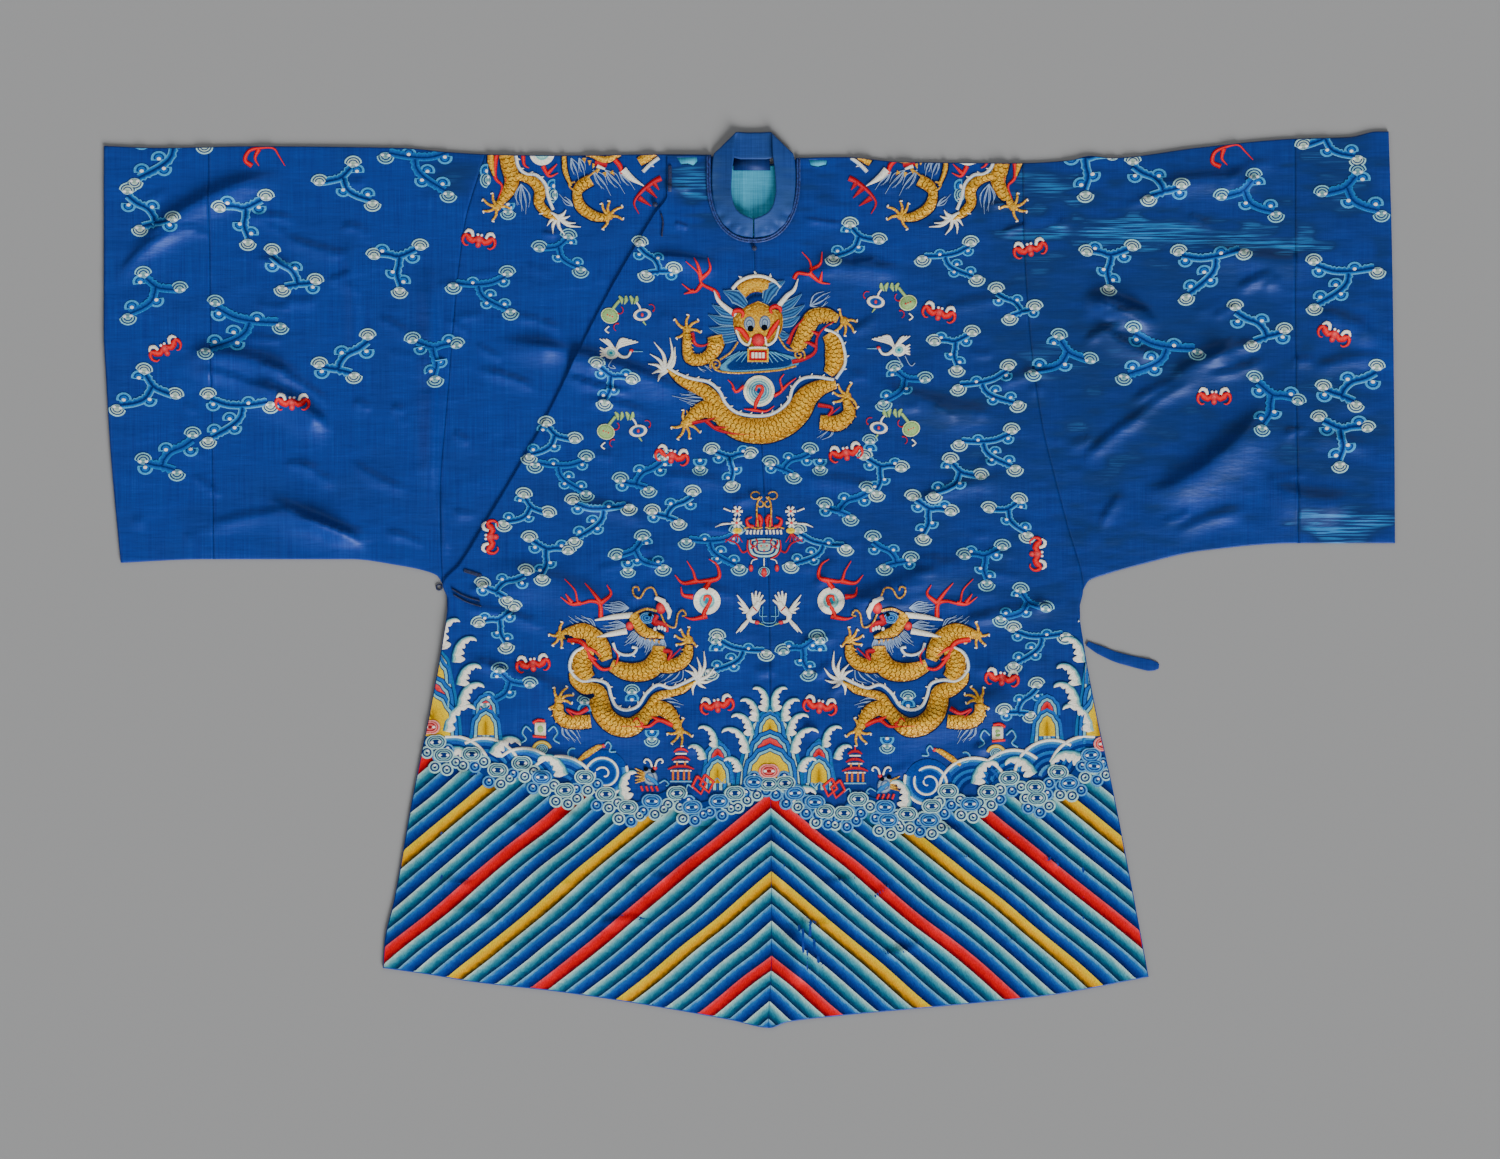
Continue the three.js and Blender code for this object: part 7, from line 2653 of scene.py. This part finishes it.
class RobeEmbroidery:
    """Everything that is stitched on the robe's front and sleeves."""

    def __init__(self) -> None:
        """Starts the groups of stitches, each kept as its own piece."""
        self.clouds = Clouds("clouds")
        self.creatures = Creatures("creatures")
        self.dragons = Dragons("dragons")
        self.skirt_dragons = Dragons("skirt_dragons")
        self.stripes = Landscape("stripes")
        self.sea = Landscape("sea")

    def stitch(self) -> list[tuple[bpy.types.Object, bool]]:
        """Lays every motif and makes the pieces.

        Returns:
            Each piece, and whether it is gilt thread.
        """
        self.stitch_clouds()
        self.stitch_creatures()
        self.stitch_dragons()
        self.stitch_sea()
        groups = (self.clouds, self.creatures, self.dragons, self.skirt_dragons, self.stripes, self.sea)
        return [made for group in groups for made in group.build()]

    def stitch_clouds(self) -> None:
        """Cloud groups over body and sleeves."""
        self.clouds.scatter(SLEEVE_RIGHT_CLOUDS, (0.9, 1.02), 1)
        self.clouds.scatter(FRONT_CLOUDS, (0.74, 0.84), 2)
        self.clouds.scatter(SLEEVE_LEFT_CLOUDS, (0.9, 1.04), 3)
        for u, v, turn in LONE_CAPS:
            self.clouds.cap(spot(u, v, turn, 0.92))
            self.clouds.curl(spot(u, v + (9 if turn == 0 else -9), turn))

    def stitch_creatures(self) -> None:
        """Bats, cranes and gourds."""
        for u, v, turn in BATS:
            self.creatures.bat(spot(u, v, turn, 1.02))
        for place in CORAL_SPRIGS:
            self.creatures.coral(spot(*place), *SPRIG_BRANCHES, width=5.0)
        for u, v, flip in CRANES:
            self.creatures.crane(spot(u, v, flip=flip))
        for u, v, flip in GOURDS:
            self.creatures.gourds(spot(u, v, 0, 0.95, flip))

    def stitch_dragons(self) -> None:
        """Chest, skirt and shoulder dragons, and the pearls that they chase."""
        self.dragons.frontal(spot(*CHEST_DRAGON))
        for u, v, flip in SHOULDER_DRAGONS:
            self.dragons.shoulder_half(spot(u, v, flip=flip))
        for (u, v, flip), (pearl_u, pearl_v, _) in zip(SKIRT_DRAGONS, SKIRT_PEARLS):
            self.skirt_dragons.profile(spot(u, v, flip=flip))
            pearl = spot(pearl_u, pearl_v, flip=flip)
            self.skirt_dragons.coral(pearl, *PEARL_FLAMES, width=5.6)
            self.skirt_dragons.pearl(pearl, 13.5, open_moon=True)

    def stitch_sea(self) -> None:
        """Stripes, cloud band, mountains, waves and charms."""
        heads = [*BAND_RIGHT, BAND_MIDDLE, *BAND_LEFT]
        rows = {round((u - FRAME_MIDDLE_U) * GRID, 1): (FRAME_MIDDLE_V - v) * GRID for u, v in heads}
        self.stripes.stripes(Edge(*sorted(rows.items())), *STRIPE_NUMBERS)
        sea = self.sea
        self.stitch_waves(sea)
        for u, v, half, height, cores in MOUNTAINS:
            sea.mountain(spot(u, v), half, height, cores)
        for side in (-1, 1):
            for x, y, turn, length, width in MIDDLE_PLUMES:
                u, v = MIDDLE_FOOT[0] + side * x, MIDDLE_FOOT[1] - y
                sea.plume(spot(u, v, -side * turn, flip=side > 0), length, width)
            for x, y, turn, length, width in SIDE_PLUMES:
                u, v = SIDE_FEET[side][0] + side * x, SIDE_FEET[side][1] - y
                sea.plume(spot(u, v, side * turn, flip=side < 0), length, width)
        for motif, place in CHARMS:
            motif(sea, spot(*place))
        sea.cloud_band(BAND_RIGHT, 7)
        sea.cloud_band(BAND_LEFT, 8)
        for u, v, dots in HEADS:
            sea.head(spot(u, v), dots)
        for u, v, dots in SNAILS:
            sea.snail(spot(u, v), dots)

    def stitch_waves(self, sea: Landscape) -> None:
        """Arched waves, foam and whirls behind the cloud band.

        Args:
            sea: the group that they are stitched in.
        """
        for u, v, radius, start, end, rings in WAVES:
            sea.arcs(spot(u, v), radius, start, end, rings)
        for u, v, flip in WHIRLS:
            sea.whirl(spot(u, v, flip=flip))
        for u, v, turn, flip in SEA_PLUMES:
            sea.plume(spot(u, v, turn, flip=flip), 20, 12)


# Places worn or faded, and wide weak patches at the end of the table that darken the satin as painted shade
# where its sheen falls away: plan x and y, reach along x and y, turn in degrees, and how strongly
WEAR_AND_SHADE_PATCHES = (
    (494, 435, 92, 13, 0, 1.0), (600, 420, 90, 8, -4, 0.8), (748, 66, 58, 20, 0, 0.85),
    (372, 493, 36, 22, 0, 0.75),
    (5, 480, 62, 60, 0, 0.5),
    (-372, 505, 42, 26, 20, 0.55), (-79, 494, 26, 26, 0, 0.85), (744, 500, 60, 60, 0, 0.5),
    (560, 300, 220, 240, 0, 0.42), (740, 160, 80, 120, 0, 0.3), (300, 300, 200, 260, 0, 0.28),
    (260, -60, 230, 260, 0, 0.16), (-600, 90, 130, 40, 0, 0.12), (-250, 60, 120, 90, 20, 0.1),
)


def wear_and_shade_at(x: Array, y: Array) -> Array:
    """How faded the satin is, and how far painted shade darkens it in broad patches.

    Args:
        x: plan x of each point.
        y: its plan y.
    Returns:
        Values from 0, as new and unshaded, to 1.
    """
    # Fading and the painted shade of the broad weak patches, summed
    worn = np.zeros_like(x)
    coarse, fine = value_noise(x / 60 + 5, y / 16 + 5, 34), value_noise(x / 24 + 9, y / 7 + 9, 33)
    ragged = np.maximum(1 + 0.75 * fine + 0.4 * coarse, 0.5)
    for patch_x, patch_y, reach_x, reach_y, turn, strength in WEAR_AND_SHADE_PATCHES:
        angle = math.radians(turn)
        along = (x - patch_x) * math.cos(angle) + (y - patch_y) * math.sin(angle)
        across = (y - patch_y) * math.cos(angle) - (x - patch_x) * math.sin(angle)
        reach = ((along / reach_x) ** 2 + (across / reach_y) ** 2) * ragged
        worn = worn + strength * np.exp(-reach)
    return np.clip(worn + 0.12 * value_noise(x / 46 + 3, y / 38 + 3, 21), 0, 1)


def inner_side(y: Array) -> Array:
    """Side edge of the inner front, set in from the seam below the underarm."""
    return BODY_RIGHT(y) + HALF_SEAM + INNER_SIDE_INSET * rise(0, 70, -6 - y)


def inner_edge(y: Array) -> Array:
    """Free edge of the inner front under the outer one."""
    return np.minimum(front_middle(y, -1) - CLOTH, mix(INNER_EDGE_X, 0, rise(440, 500, y)))


def body_lengths() -> list[tuple[FoldedLength | LapFront, tuple[float, float], float]]:
    """Body pieces with the width, length and area that each is cut from."""
    left = FoldedLength(
        "body_left",
        PlanGrid(lambda y: back_middle(y, 1) + HALF_SEAM, lambda y: BODY_LEFT(y) - HALF_SEAM, HEM,
                 level_fold),
        PlanGrid(lambda y: front_middle(y, 1) + HALF_SEAM, lambda y: BODY_LEFT(y) - HALF_SEAM, HEM,
                 level_fold),
        Drape.front,
    )
    right = FoldedLength(
        "body_right",
        PlanGrid(lambda y: BODY_RIGHT(y) + HALF_SEAM, lambda y: back_middle(y, -1) - HALF_SEAM, HEM,
                 level_fold),
        PlanGrid(inner_side, inner_edge, lambda x: HEM(x) + INNER_HEM_RISE, level_fold),
        Drape.inner,
    )
    lap = LapFront("front_lap", PlanGrid(
        lambda y: LAP_SIDE(y) + HALF_SEAM, lambda y: front_middle(y, -1) - HALF_SEAM, HEM,
        lambda x: shoulder(x) - CLOTH,
    ))
    return [(left, (0.48, 2.14), 0.83), (right, (0.47, 2.12), 0.71), (lap, (0.51, 1.09), 0.36)]


def sleeve_tubes() -> list[tuple[FlatTube, tuple[float, float], float]]:
    """Sleeve and cuff tubes with the size that each is cut from, all round."""

    def tube(name: str, left: Callable, right: Callable, under: Callable, columns: int) -> FlatTube:
        """Tube between two seams and a sleeve's two long edges."""
        return FlatTube(name, PlanGrid(left, right, lambda x: under(x) + FOLD_RADIUS, level_fold), columns)

    low_left, low_right = UNDERSLEEVE_LEFT, UNDERSLEEVE_RIGHT
    return [
        (tube("sleeve_left", lambda y: BODY_LEFT(y) + HALF_SEAM, lambda y: CUFF_SEAM_LEFT(y) - HALF_SEAM,
              low_left, 90), (0.35, 1.04), 0.326),
        (tube("sleeve_right", lambda y: CUFF_SEAM_RIGHT(y) + HALF_SEAM, lambda y: BODY_RIGHT(y) - HALF_SEAM,
              low_right, 90), (0.35, 1.06), 0.314),
        (tube("cuff_left", lambda y: CUFF_SEAM_LEFT(y) + HALF_SEAM, CUFF_EDGE_LEFT, low_left, 30),
         (0.122, 1.04), 0.123),
        (tube("cuff_right", CUFF_EDGE_RIGHT, lambda y: CUFF_SEAM_RIGHT(y) - HALF_SEAM, low_right, 32),
         (0.135, 1.05), 0.133),
    ]


# Neck lining: its upright folds and seam as place, width and height, between which heights in
# plan they show, how strongly, and its gap above the cloth
LINING_FOLDS = ((-8, 2.6, 1.1), (19, 3.4, 0.8), (5, 0.9, -0.5))
LINING_FOLDS_FROM = (428, 450)
LINING_FOLDS_TO = (520, 500)
LINING_FOLD_STRENGTH = 0.9
LINING_GAP = 0.3


def neck_lining() -> bpy.types.Object:
    """Turquoise lining at the inside of the neck, with the soft upright folds it shows there."""
    plan = PlanGrid(lambda y: front_middle(y, -1) + CLOTH, lambda y: front_middle(y, 1) - CLOTH,
                    lambda x: NECK_Y - NECK_DEPTH + LAYER + 0 * x,
                    lambda x: shoulder(NECK_X + NECK_HALF_WIDTH + 0 * x) - BACK_NECK_DEPTH)
    x, y = plan.points(parts(1, 0.02), np.r_[parts(1, 0.05)[:-1] * 0.1, 0.1 + 0.9 * parts(1, 0.02)])
    folds = sum(height * np.exp(-(((x - at) / width) ** 2)) for at, width, height in LINING_FOLDS)
    shown = rise(*LINING_FOLDS_FROM, y) * rise(*LINING_FOLDS_TO, y) * LINING_FOLD_STRENGTH
    under = CLOTH + LINING_GAP + folds * shown
    return build_wall("neck_lining", layered(x, y, under + LINING_CLOTH), layered(x, y, under))


# Trims: gap between a trim and the cloth under it; the piping's cords and how far out they lie
TRIM_GAP = 0.3
PIPING_RADIUS = 1.35
PIPING_OUT = 2.9
CORD_SIDES = 10


def on_top(route: Array) -> Array:
    """Height at which a trim sits on the outer cloth."""
    return Drape.outer_top(route[:, 0], route[:, 1]) + TRIM_GAP


def neck_piping() -> bpy.types.Object:
    """Double cord round the neck's edge."""
    angle = np.pi * (1 + np.linspace(0, 1, 120))
    power = 2 / NECK_SQUARENESS
    reach_x, reach_y = NECK_HALF_WIDTH + PIPING_OUT, NECK_DEPTH + PIPING_OUT
    round_neck = np.stack([NECK_X + reach_x * signed_power(np.cos(angle), power),
                           NECK_Y + reach_y * signed_power(np.sin(angle), power)], axis=1)
    legs = []
    for side in (-1, 1):
        x = NECK_X + side * reach_x
        y = np.linspace(NECK_Y, float(shoulder(np.array(x))) - CLOTH - TRIM_GAP, 12)[1:]
        legs.append(np.stack([np.full_like(y, x), y], axis=1))
    route = np.concatenate([legs[0][::-1], round_neck, legs[1]])
    cord = round_section(PIPING_RADIUS, CORD_SIDES)
    points, faces, count = [], [], 0
    for shift in (-PIPING_RADIUS, PIPING_RADIUS):
        made, ends = swept(route, cord + (shift, 0), on_top(route))
        points.append(made)
        faces += [face + count for face in ends]
        count += len(made)
    piece = make_object("neck_piping", np.concatenate(points), faces)
    turn_faces_out(piece)
    return piece


# Closures and tie, by plan points in millimetres
SHOULDER_KNOT = (-118.0, 468.0)
STRIPS = {
    "shoulder_loop": ((-99.5, 517), (-99.2, 500), (-99.6, 484)),
    "underarm_strip": ((-357, 11), (-347, 8), (-335, 4)),
}
SEWN_CORDS = {
    "shoulder_strand": ((-110.5, 457), (-108, 446), (-109.5, 428)),
    "underarm_cord_a": ((-372, -12), (-356, -21), (-337, -27)),
    "underarm_cord_b": ((-370, -19), (-354, -28), (-335, -34)),
}
UNDERARM_RING = (-388.2, -10.0, 3.4)
RIBBON = ((421.8, -80, 6), (437, -88, 11), (458, -97, 13), (480, -103, 14), (500, -107.5, 15),
          (508, -108.5, 11),
          (512, -109, 6))
RIBBON_THICKNESS = 1.4
RIBBON_STEP = 2.0
STRIP_WIDTH = 4.4
STRIP_THICKNESS = 1.4
TRIM_STEP = 1.2
SEWN_CORD_RADIUS = 1.1
RING_CORD_RADIUS = 1.0
COLLAR_BUTTON = (6.0, 413.5)

# Knot buttons: radius of the ball and of its cord, how far the core lies within, and how often
# the cord goes round and up and down
KNOT_RADIUS = 3.4
KNOT_CORD = 0.95
KNOT_CORE_INSET = 0.5
KNOT_LINE_INSET = 0.9
KNOT_ROUNDS = 3
KNOT_WAVES = 5
KNOT_TILT = 0.62
KNOT_SEAT = 0.95


def flat_section(width: float, thickness: float) -> Array:
    """Flat section with rounded edges that stands on its foot.

    Args:
        width: its width.
        thickness: its height.
    Returns:
        Rows of across and up.
    """
    sides = 16
    angle = 2 * np.pi * (np.arange(sides) + 0.5) / sides
    across, up = signed_power(np.sin(angle), 0.4), signed_power(np.cos(angle), 0.7)
    return np.stack([width / 2 * across, thickness / 2 * (1 - up)], axis=1)


def trim(name: str, route: Array, section: Array, foot: Array | None = None,
         closed: bool = False) -> bpy.types.Object:
    """Strip or cord along plan points.

    Args:
        name: the piece's name.
        route: the plan points.
        section: rows of across and up.
        foot: height of each point's section, where it doesn't lie on the cloth.
        closed: whether the route joins its own start.
    Returns:
        The trim's object.
    """
    piece = make_object(name, *swept(route, section, on_top(route) if foot is None else foot, closed))
    turn_faces_out(piece)
    return piece


def knot(name: str, x: float, y: float, foot: float) -> bpy.types.Object:
    """Ball button knotted from cord: overlapping turns over a round core.

    Args:
        name: the piece's name.
        x: its plan x.
        y: its plan y.
        foot: height on which it stands.
    Returns:
        The button's object.
    """
    angle = np.linspace(0, 2 * np.pi, 181)[:-1]
    tilt = KNOT_TILT * np.sin(KNOT_WAVES * angle)
    turn = KNOT_ROUNDS * angle
    ball = KNOT_RADIUS - KNOT_LINE_INSET
    across, up = ball * np.cos(tilt), ball * np.sin(tilt)
    centre = np.stack([across * np.cos(turn), across * np.sin(turn), up], 1)
    core_radius = (KNOT_RADIUS - KNOT_CORE_INSET) * MM
    bpy.ops.mesh.primitive_uv_sphere_add(segments=24, ring_count=14, radius=core_radius)
    core = bpy.context.active_object
    core.name = name
    strand = bpy.data.curves.new(name + "_strand", "CURVE")
    strand.dimensions = "3D"
    strand.bevel_depth = KNOT_CORD * MM
    strand.bevel_resolution = 3
    line = strand.splines.new("POLY")
    line.points.add(len(centre) - 1)
    line.points.foreach_set("co", np.c_[centre * MM, np.ones(len(centre))].ravel())
    line.use_cyclic_u = True
    turns = bpy.data.objects.new(name + "_strand", strand)
    bpy.context.scene.collection.objects.link(turns)
    bpy.ops.object.select_all(action="DESELECT")
    turns.select_set(True)
    bpy.context.view_layer.objects.active = turns
    bpy.ops.object.convert(target="MESH")
    core.select_set(True)
    bpy.context.view_layer.objects.active = core
    bpy.ops.object.join()
    middle = foot + KNOT_RADIUS * KNOT_SEAT
    core.data.transform(Matrix.Translation((x * MM, y * MM, middle * MM)))
    for face in core.data.polygons:
        face.use_smooth = True
    core.select_set(False)
    return core


class Studio:
    """Floor, soft lights and the camera over the robe."""

    floor_size = 12.0
    frame_width = 1.875
    lens = 100.0
    sensor = 36.0
    middle = (0.0006, -0.0003)
    cloth_top = 0.004
    floor_drop = 0.0004
    room_colour = "#EEF1F6"
    room_strength = 0.2
    # Lights: degrees round from +X and above the floor, power, and softness in degrees
    suns = (
        ("key_light", 292.0, 27.0, 4.9, 30.0),
        ("left_fill", 190.0, 44.0, 0.5, 40.0),
        ("upper_fill", 70.0, 44.0, 0.45, 40.0),
    )
    sun_away = 2.0

    def build(self) -> None:
        """Adds everything that isn't the robe."""
        bpy.ops.mesh.primitive_plane_add(size=self.floor_size, location=(0, 0, -self.floor_drop))
        floor = bpy.context.active_object
        floor.name = "floor"
        floor.data.materials.append(floor_material())
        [self.sun(*values) for values in self.suns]
        world = bpy.data.worlds.new("soft_room")
        world.use_nodes = True
        room = world.node_tree.nodes["Background"].inputs
        room["Color"].default_value = linear(self.room_colour)
        room["Strength"].default_value = self.room_strength
        bpy.context.scene.world = world
        camera_data = bpy.data.cameras.new("camera")
        camera_data.lens = self.lens
        camera_data.sensor_width = self.sensor
        camera = bpy.data.objects.new("camera", camera_data)
        away = self.frame_width * self.lens / self.sensor
        camera.location = (*self.middle, away + self.cloth_top)
        bpy.context.scene.collection.objects.link(camera)
        bpy.context.scene.camera = camera

    def sun(self, name: str, around: float, above: float, power: float, softness: float) -> bpy.types.Object:
        """Even light from a direction.

        Args:
            name: the light's name.
            around: degrees round from +X.
            above: degrees above the floor.
            power: its strength.
            softness: how wide it looks, in degrees.
        Returns:
            The light's object.
        """
        data = bpy.data.lights.new(name, "SUN")
        data.energy = power
        data.angle = math.radians(softness)
        light = bpy.data.objects.new(name, data)
        turn, lift = math.radians(around), math.radians(above)
        across, up = self.sun_away * math.cos(lift), self.sun_away * math.sin(lift)
        light.location = (across * math.cos(turn), across * math.sin(turn), up)
        light.rotation_euler = (-light.location).to_track_quat("-Z", "Y").to_euler()
        bpy.context.scene.collection.objects.link(light)
        return light


@dataclass(frozen=True)
class Cut:
    """What a sheet is cut from: width and length in metres, and its area in square metres."""

    flat: tuple[float, float]
    area: float


class Robe:
    """The robe's pieces, each on the node that it stands for."""

    def __init__(self) -> None:
        """Makes the materials that pieces share."""
        self.satin = satin_material(SATIN)
        self.lining = satin_material(LINING_SILK)
        self.facing = satin_material(SHADE_FACING_SILK)
        self.collar = satin_material(COLLAR_SILK)
        self.piping = cord_material(PIPING_CORD)
        self.dark = cord_material(DARK_CORD)
        self.floss = floss_material(FLOSS)
        self.gilt = gilt_material(GILT)

    def keep(self, piece: bpy.types.Object, material: bpy.types.Material, slot: str, *nodes: str) -> None:
        """Finishes a piece.

        Args:
            piece: the object.
            material: its only material.
            slot: its colour slot, or nothing; not used.
            nodes: nodes of the solids that it replaces.
        """
        piece.data.materials.clear()
        piece.data.materials.append(material)
        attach(piece, "root")
        if nodes:
            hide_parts(*nodes)
        LOG.info("%s: %d faces", piece.name, len(piece.data.polygons))

    def set_wear_and_shade(self, piece: bpy.types.Object) -> None:
        """Stores how faded the cloth is at each point, and how far painted shade darkens it.

        Args:
            piece: the object.
        """
        points = np.empty(len(piece.data.vertices) * 3)
        piece.data.vertices.foreach_get("co", points)
        x, y, _ = points.reshape(-1, 3).T / MM
        set_point_values(piece, "wear_and_shade", wear_and_shade_at(x, y))

    def add_cloth(self) -> None:
        """Satin lengths, sleeves, cuffs, collar and lining."""
        for part, flat, area in [*body_lengths(), *sleeve_tubes()]:
            piece = part.build()
            turn_faces_out(piece)
            if part.name == "body_left":
                cut_tear(piece, TEAR_LEFT, CLOTH + LAYER_GAP / 2)
            if part.name == "front_lap":
                cut_tear(piece, TEAR_RIGHT, LAP_AT_SHOULDER - LAYER_GAP / 2)
            self.set_wear_and_shade(piece)
            self.keep(piece, self.satin, "satin", part.name)
        stand = CollarStand().build()
        self.set_wear_and_shade(stand)
        self.keep(stand, self.collar, "satin", "collar_stand")
        lining = neck_lining()
        turn_faces_out(lining)
        self.keep(lining, self.lining, "lining", "neck_lining")
        # Dark navy facing strip: it covers the gap under the collar's back and paints the shade inside the
        # neck
        facing = prism("neck_shade_facing", NECK_SHADE_FACING, *SHADE_FACING_HEIGHTS)
        self.keep(facing, self.facing, "lining")
        for name, outline, bottom in (("tear_lining_left", TEAR_LEFT, LAYER),
                                      ("tear_lining_right", TEAR_RIGHT, LAP_AT_SHOULDER)):
            patch = prism(name, outline, bottom, bottom + LINING_CLOTH)
            self.keep(patch, self.lining, "lining", name)

    def add_trims(self) -> None:
        """Piping, knots, loops and the side ribbon."""
        self.keep(neck_piping(), self.piping, "piping", "neck_piping")
        foot = float(on_top(np.array([COLLAR_BUTTON]))[0])
        self.keep(knot("collar_button", *COLLAR_BUTTON, foot), self.dark, "closure", "collar_button")
        x, y = SHOULDER_KNOT
        foot = float(Drape.inner(np.array([x]), np.array([y]))[0]) + CLOTH + 0.5
        self.keep(knot("shoulder_knot", x, y, foot), self.dark, "closure", "shoulder_knot")
        for name, route in STRIPS.items():
            strip = trim(name, through(route, TRIM_STEP), flat_section(STRIP_WIDTH, STRIP_THICKNESS))
            self.keep(strip, self.dark, "closure", name)
        for name, route in SEWN_CORDS.items():
            cord = trim(name, through(route, TRIM_STEP), round_section(SEWN_CORD_RADIUS, CORD_SIDES))
            self.keep(cord, self.dark, "closure", name)
        x, y, radius = UNDERARM_RING
        ring = arc(x, y, radius, 0, 345)
        cord = round_section(RING_CORD_RADIUS, CORD_SIDES)
        loop = trim("underarm_loop", ring, cord, np.zeros(len(ring)), True)
        self.keep(loop, self.dark, "closure", "underarm_loop")
        rows = np.array(RIBBON)
        line = through(rows[:, :2], RIBBON_STEP)
        wide = np.interp(line[:, 0], rows[:, 0], rows[:, 2])[:, None, None]
        section = flat_section(1, RIBBON_THICKNESS) * np.concatenate([wide, np.ones_like(wide)], axis=2)
        ribbon = trim("side_ribbon", line, section, 0.1 + 0.5 * np.sin(line[:, 0] / 9) ** 2)
        self.set_wear_and_shade(ribbon)
        self.keep(ribbon, self.satin, "satin", "side_ribbon")


def add_embroidery(robe: Robe) -> None:
    """Stitched pieces on the robe."""
    for piece, is_gilt in RobeEmbroidery().stitch():
        robe.keep(piece, robe.gilt if is_gilt else robe.floss, "")


def main() -> None:
    """Builds the robe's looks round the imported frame."""
    logging.basicConfig(level=logging.INFO, format="%(message)s")
    bpy.ops.object.select_all(action="SELECT")
    bpy.ops.object.delete()
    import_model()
    Studio().build()
    robe = Robe()
    robe.add_cloth()
    robe.add_trims()
    add_embroidery(robe)


if __name__ == "__main__":
    main()
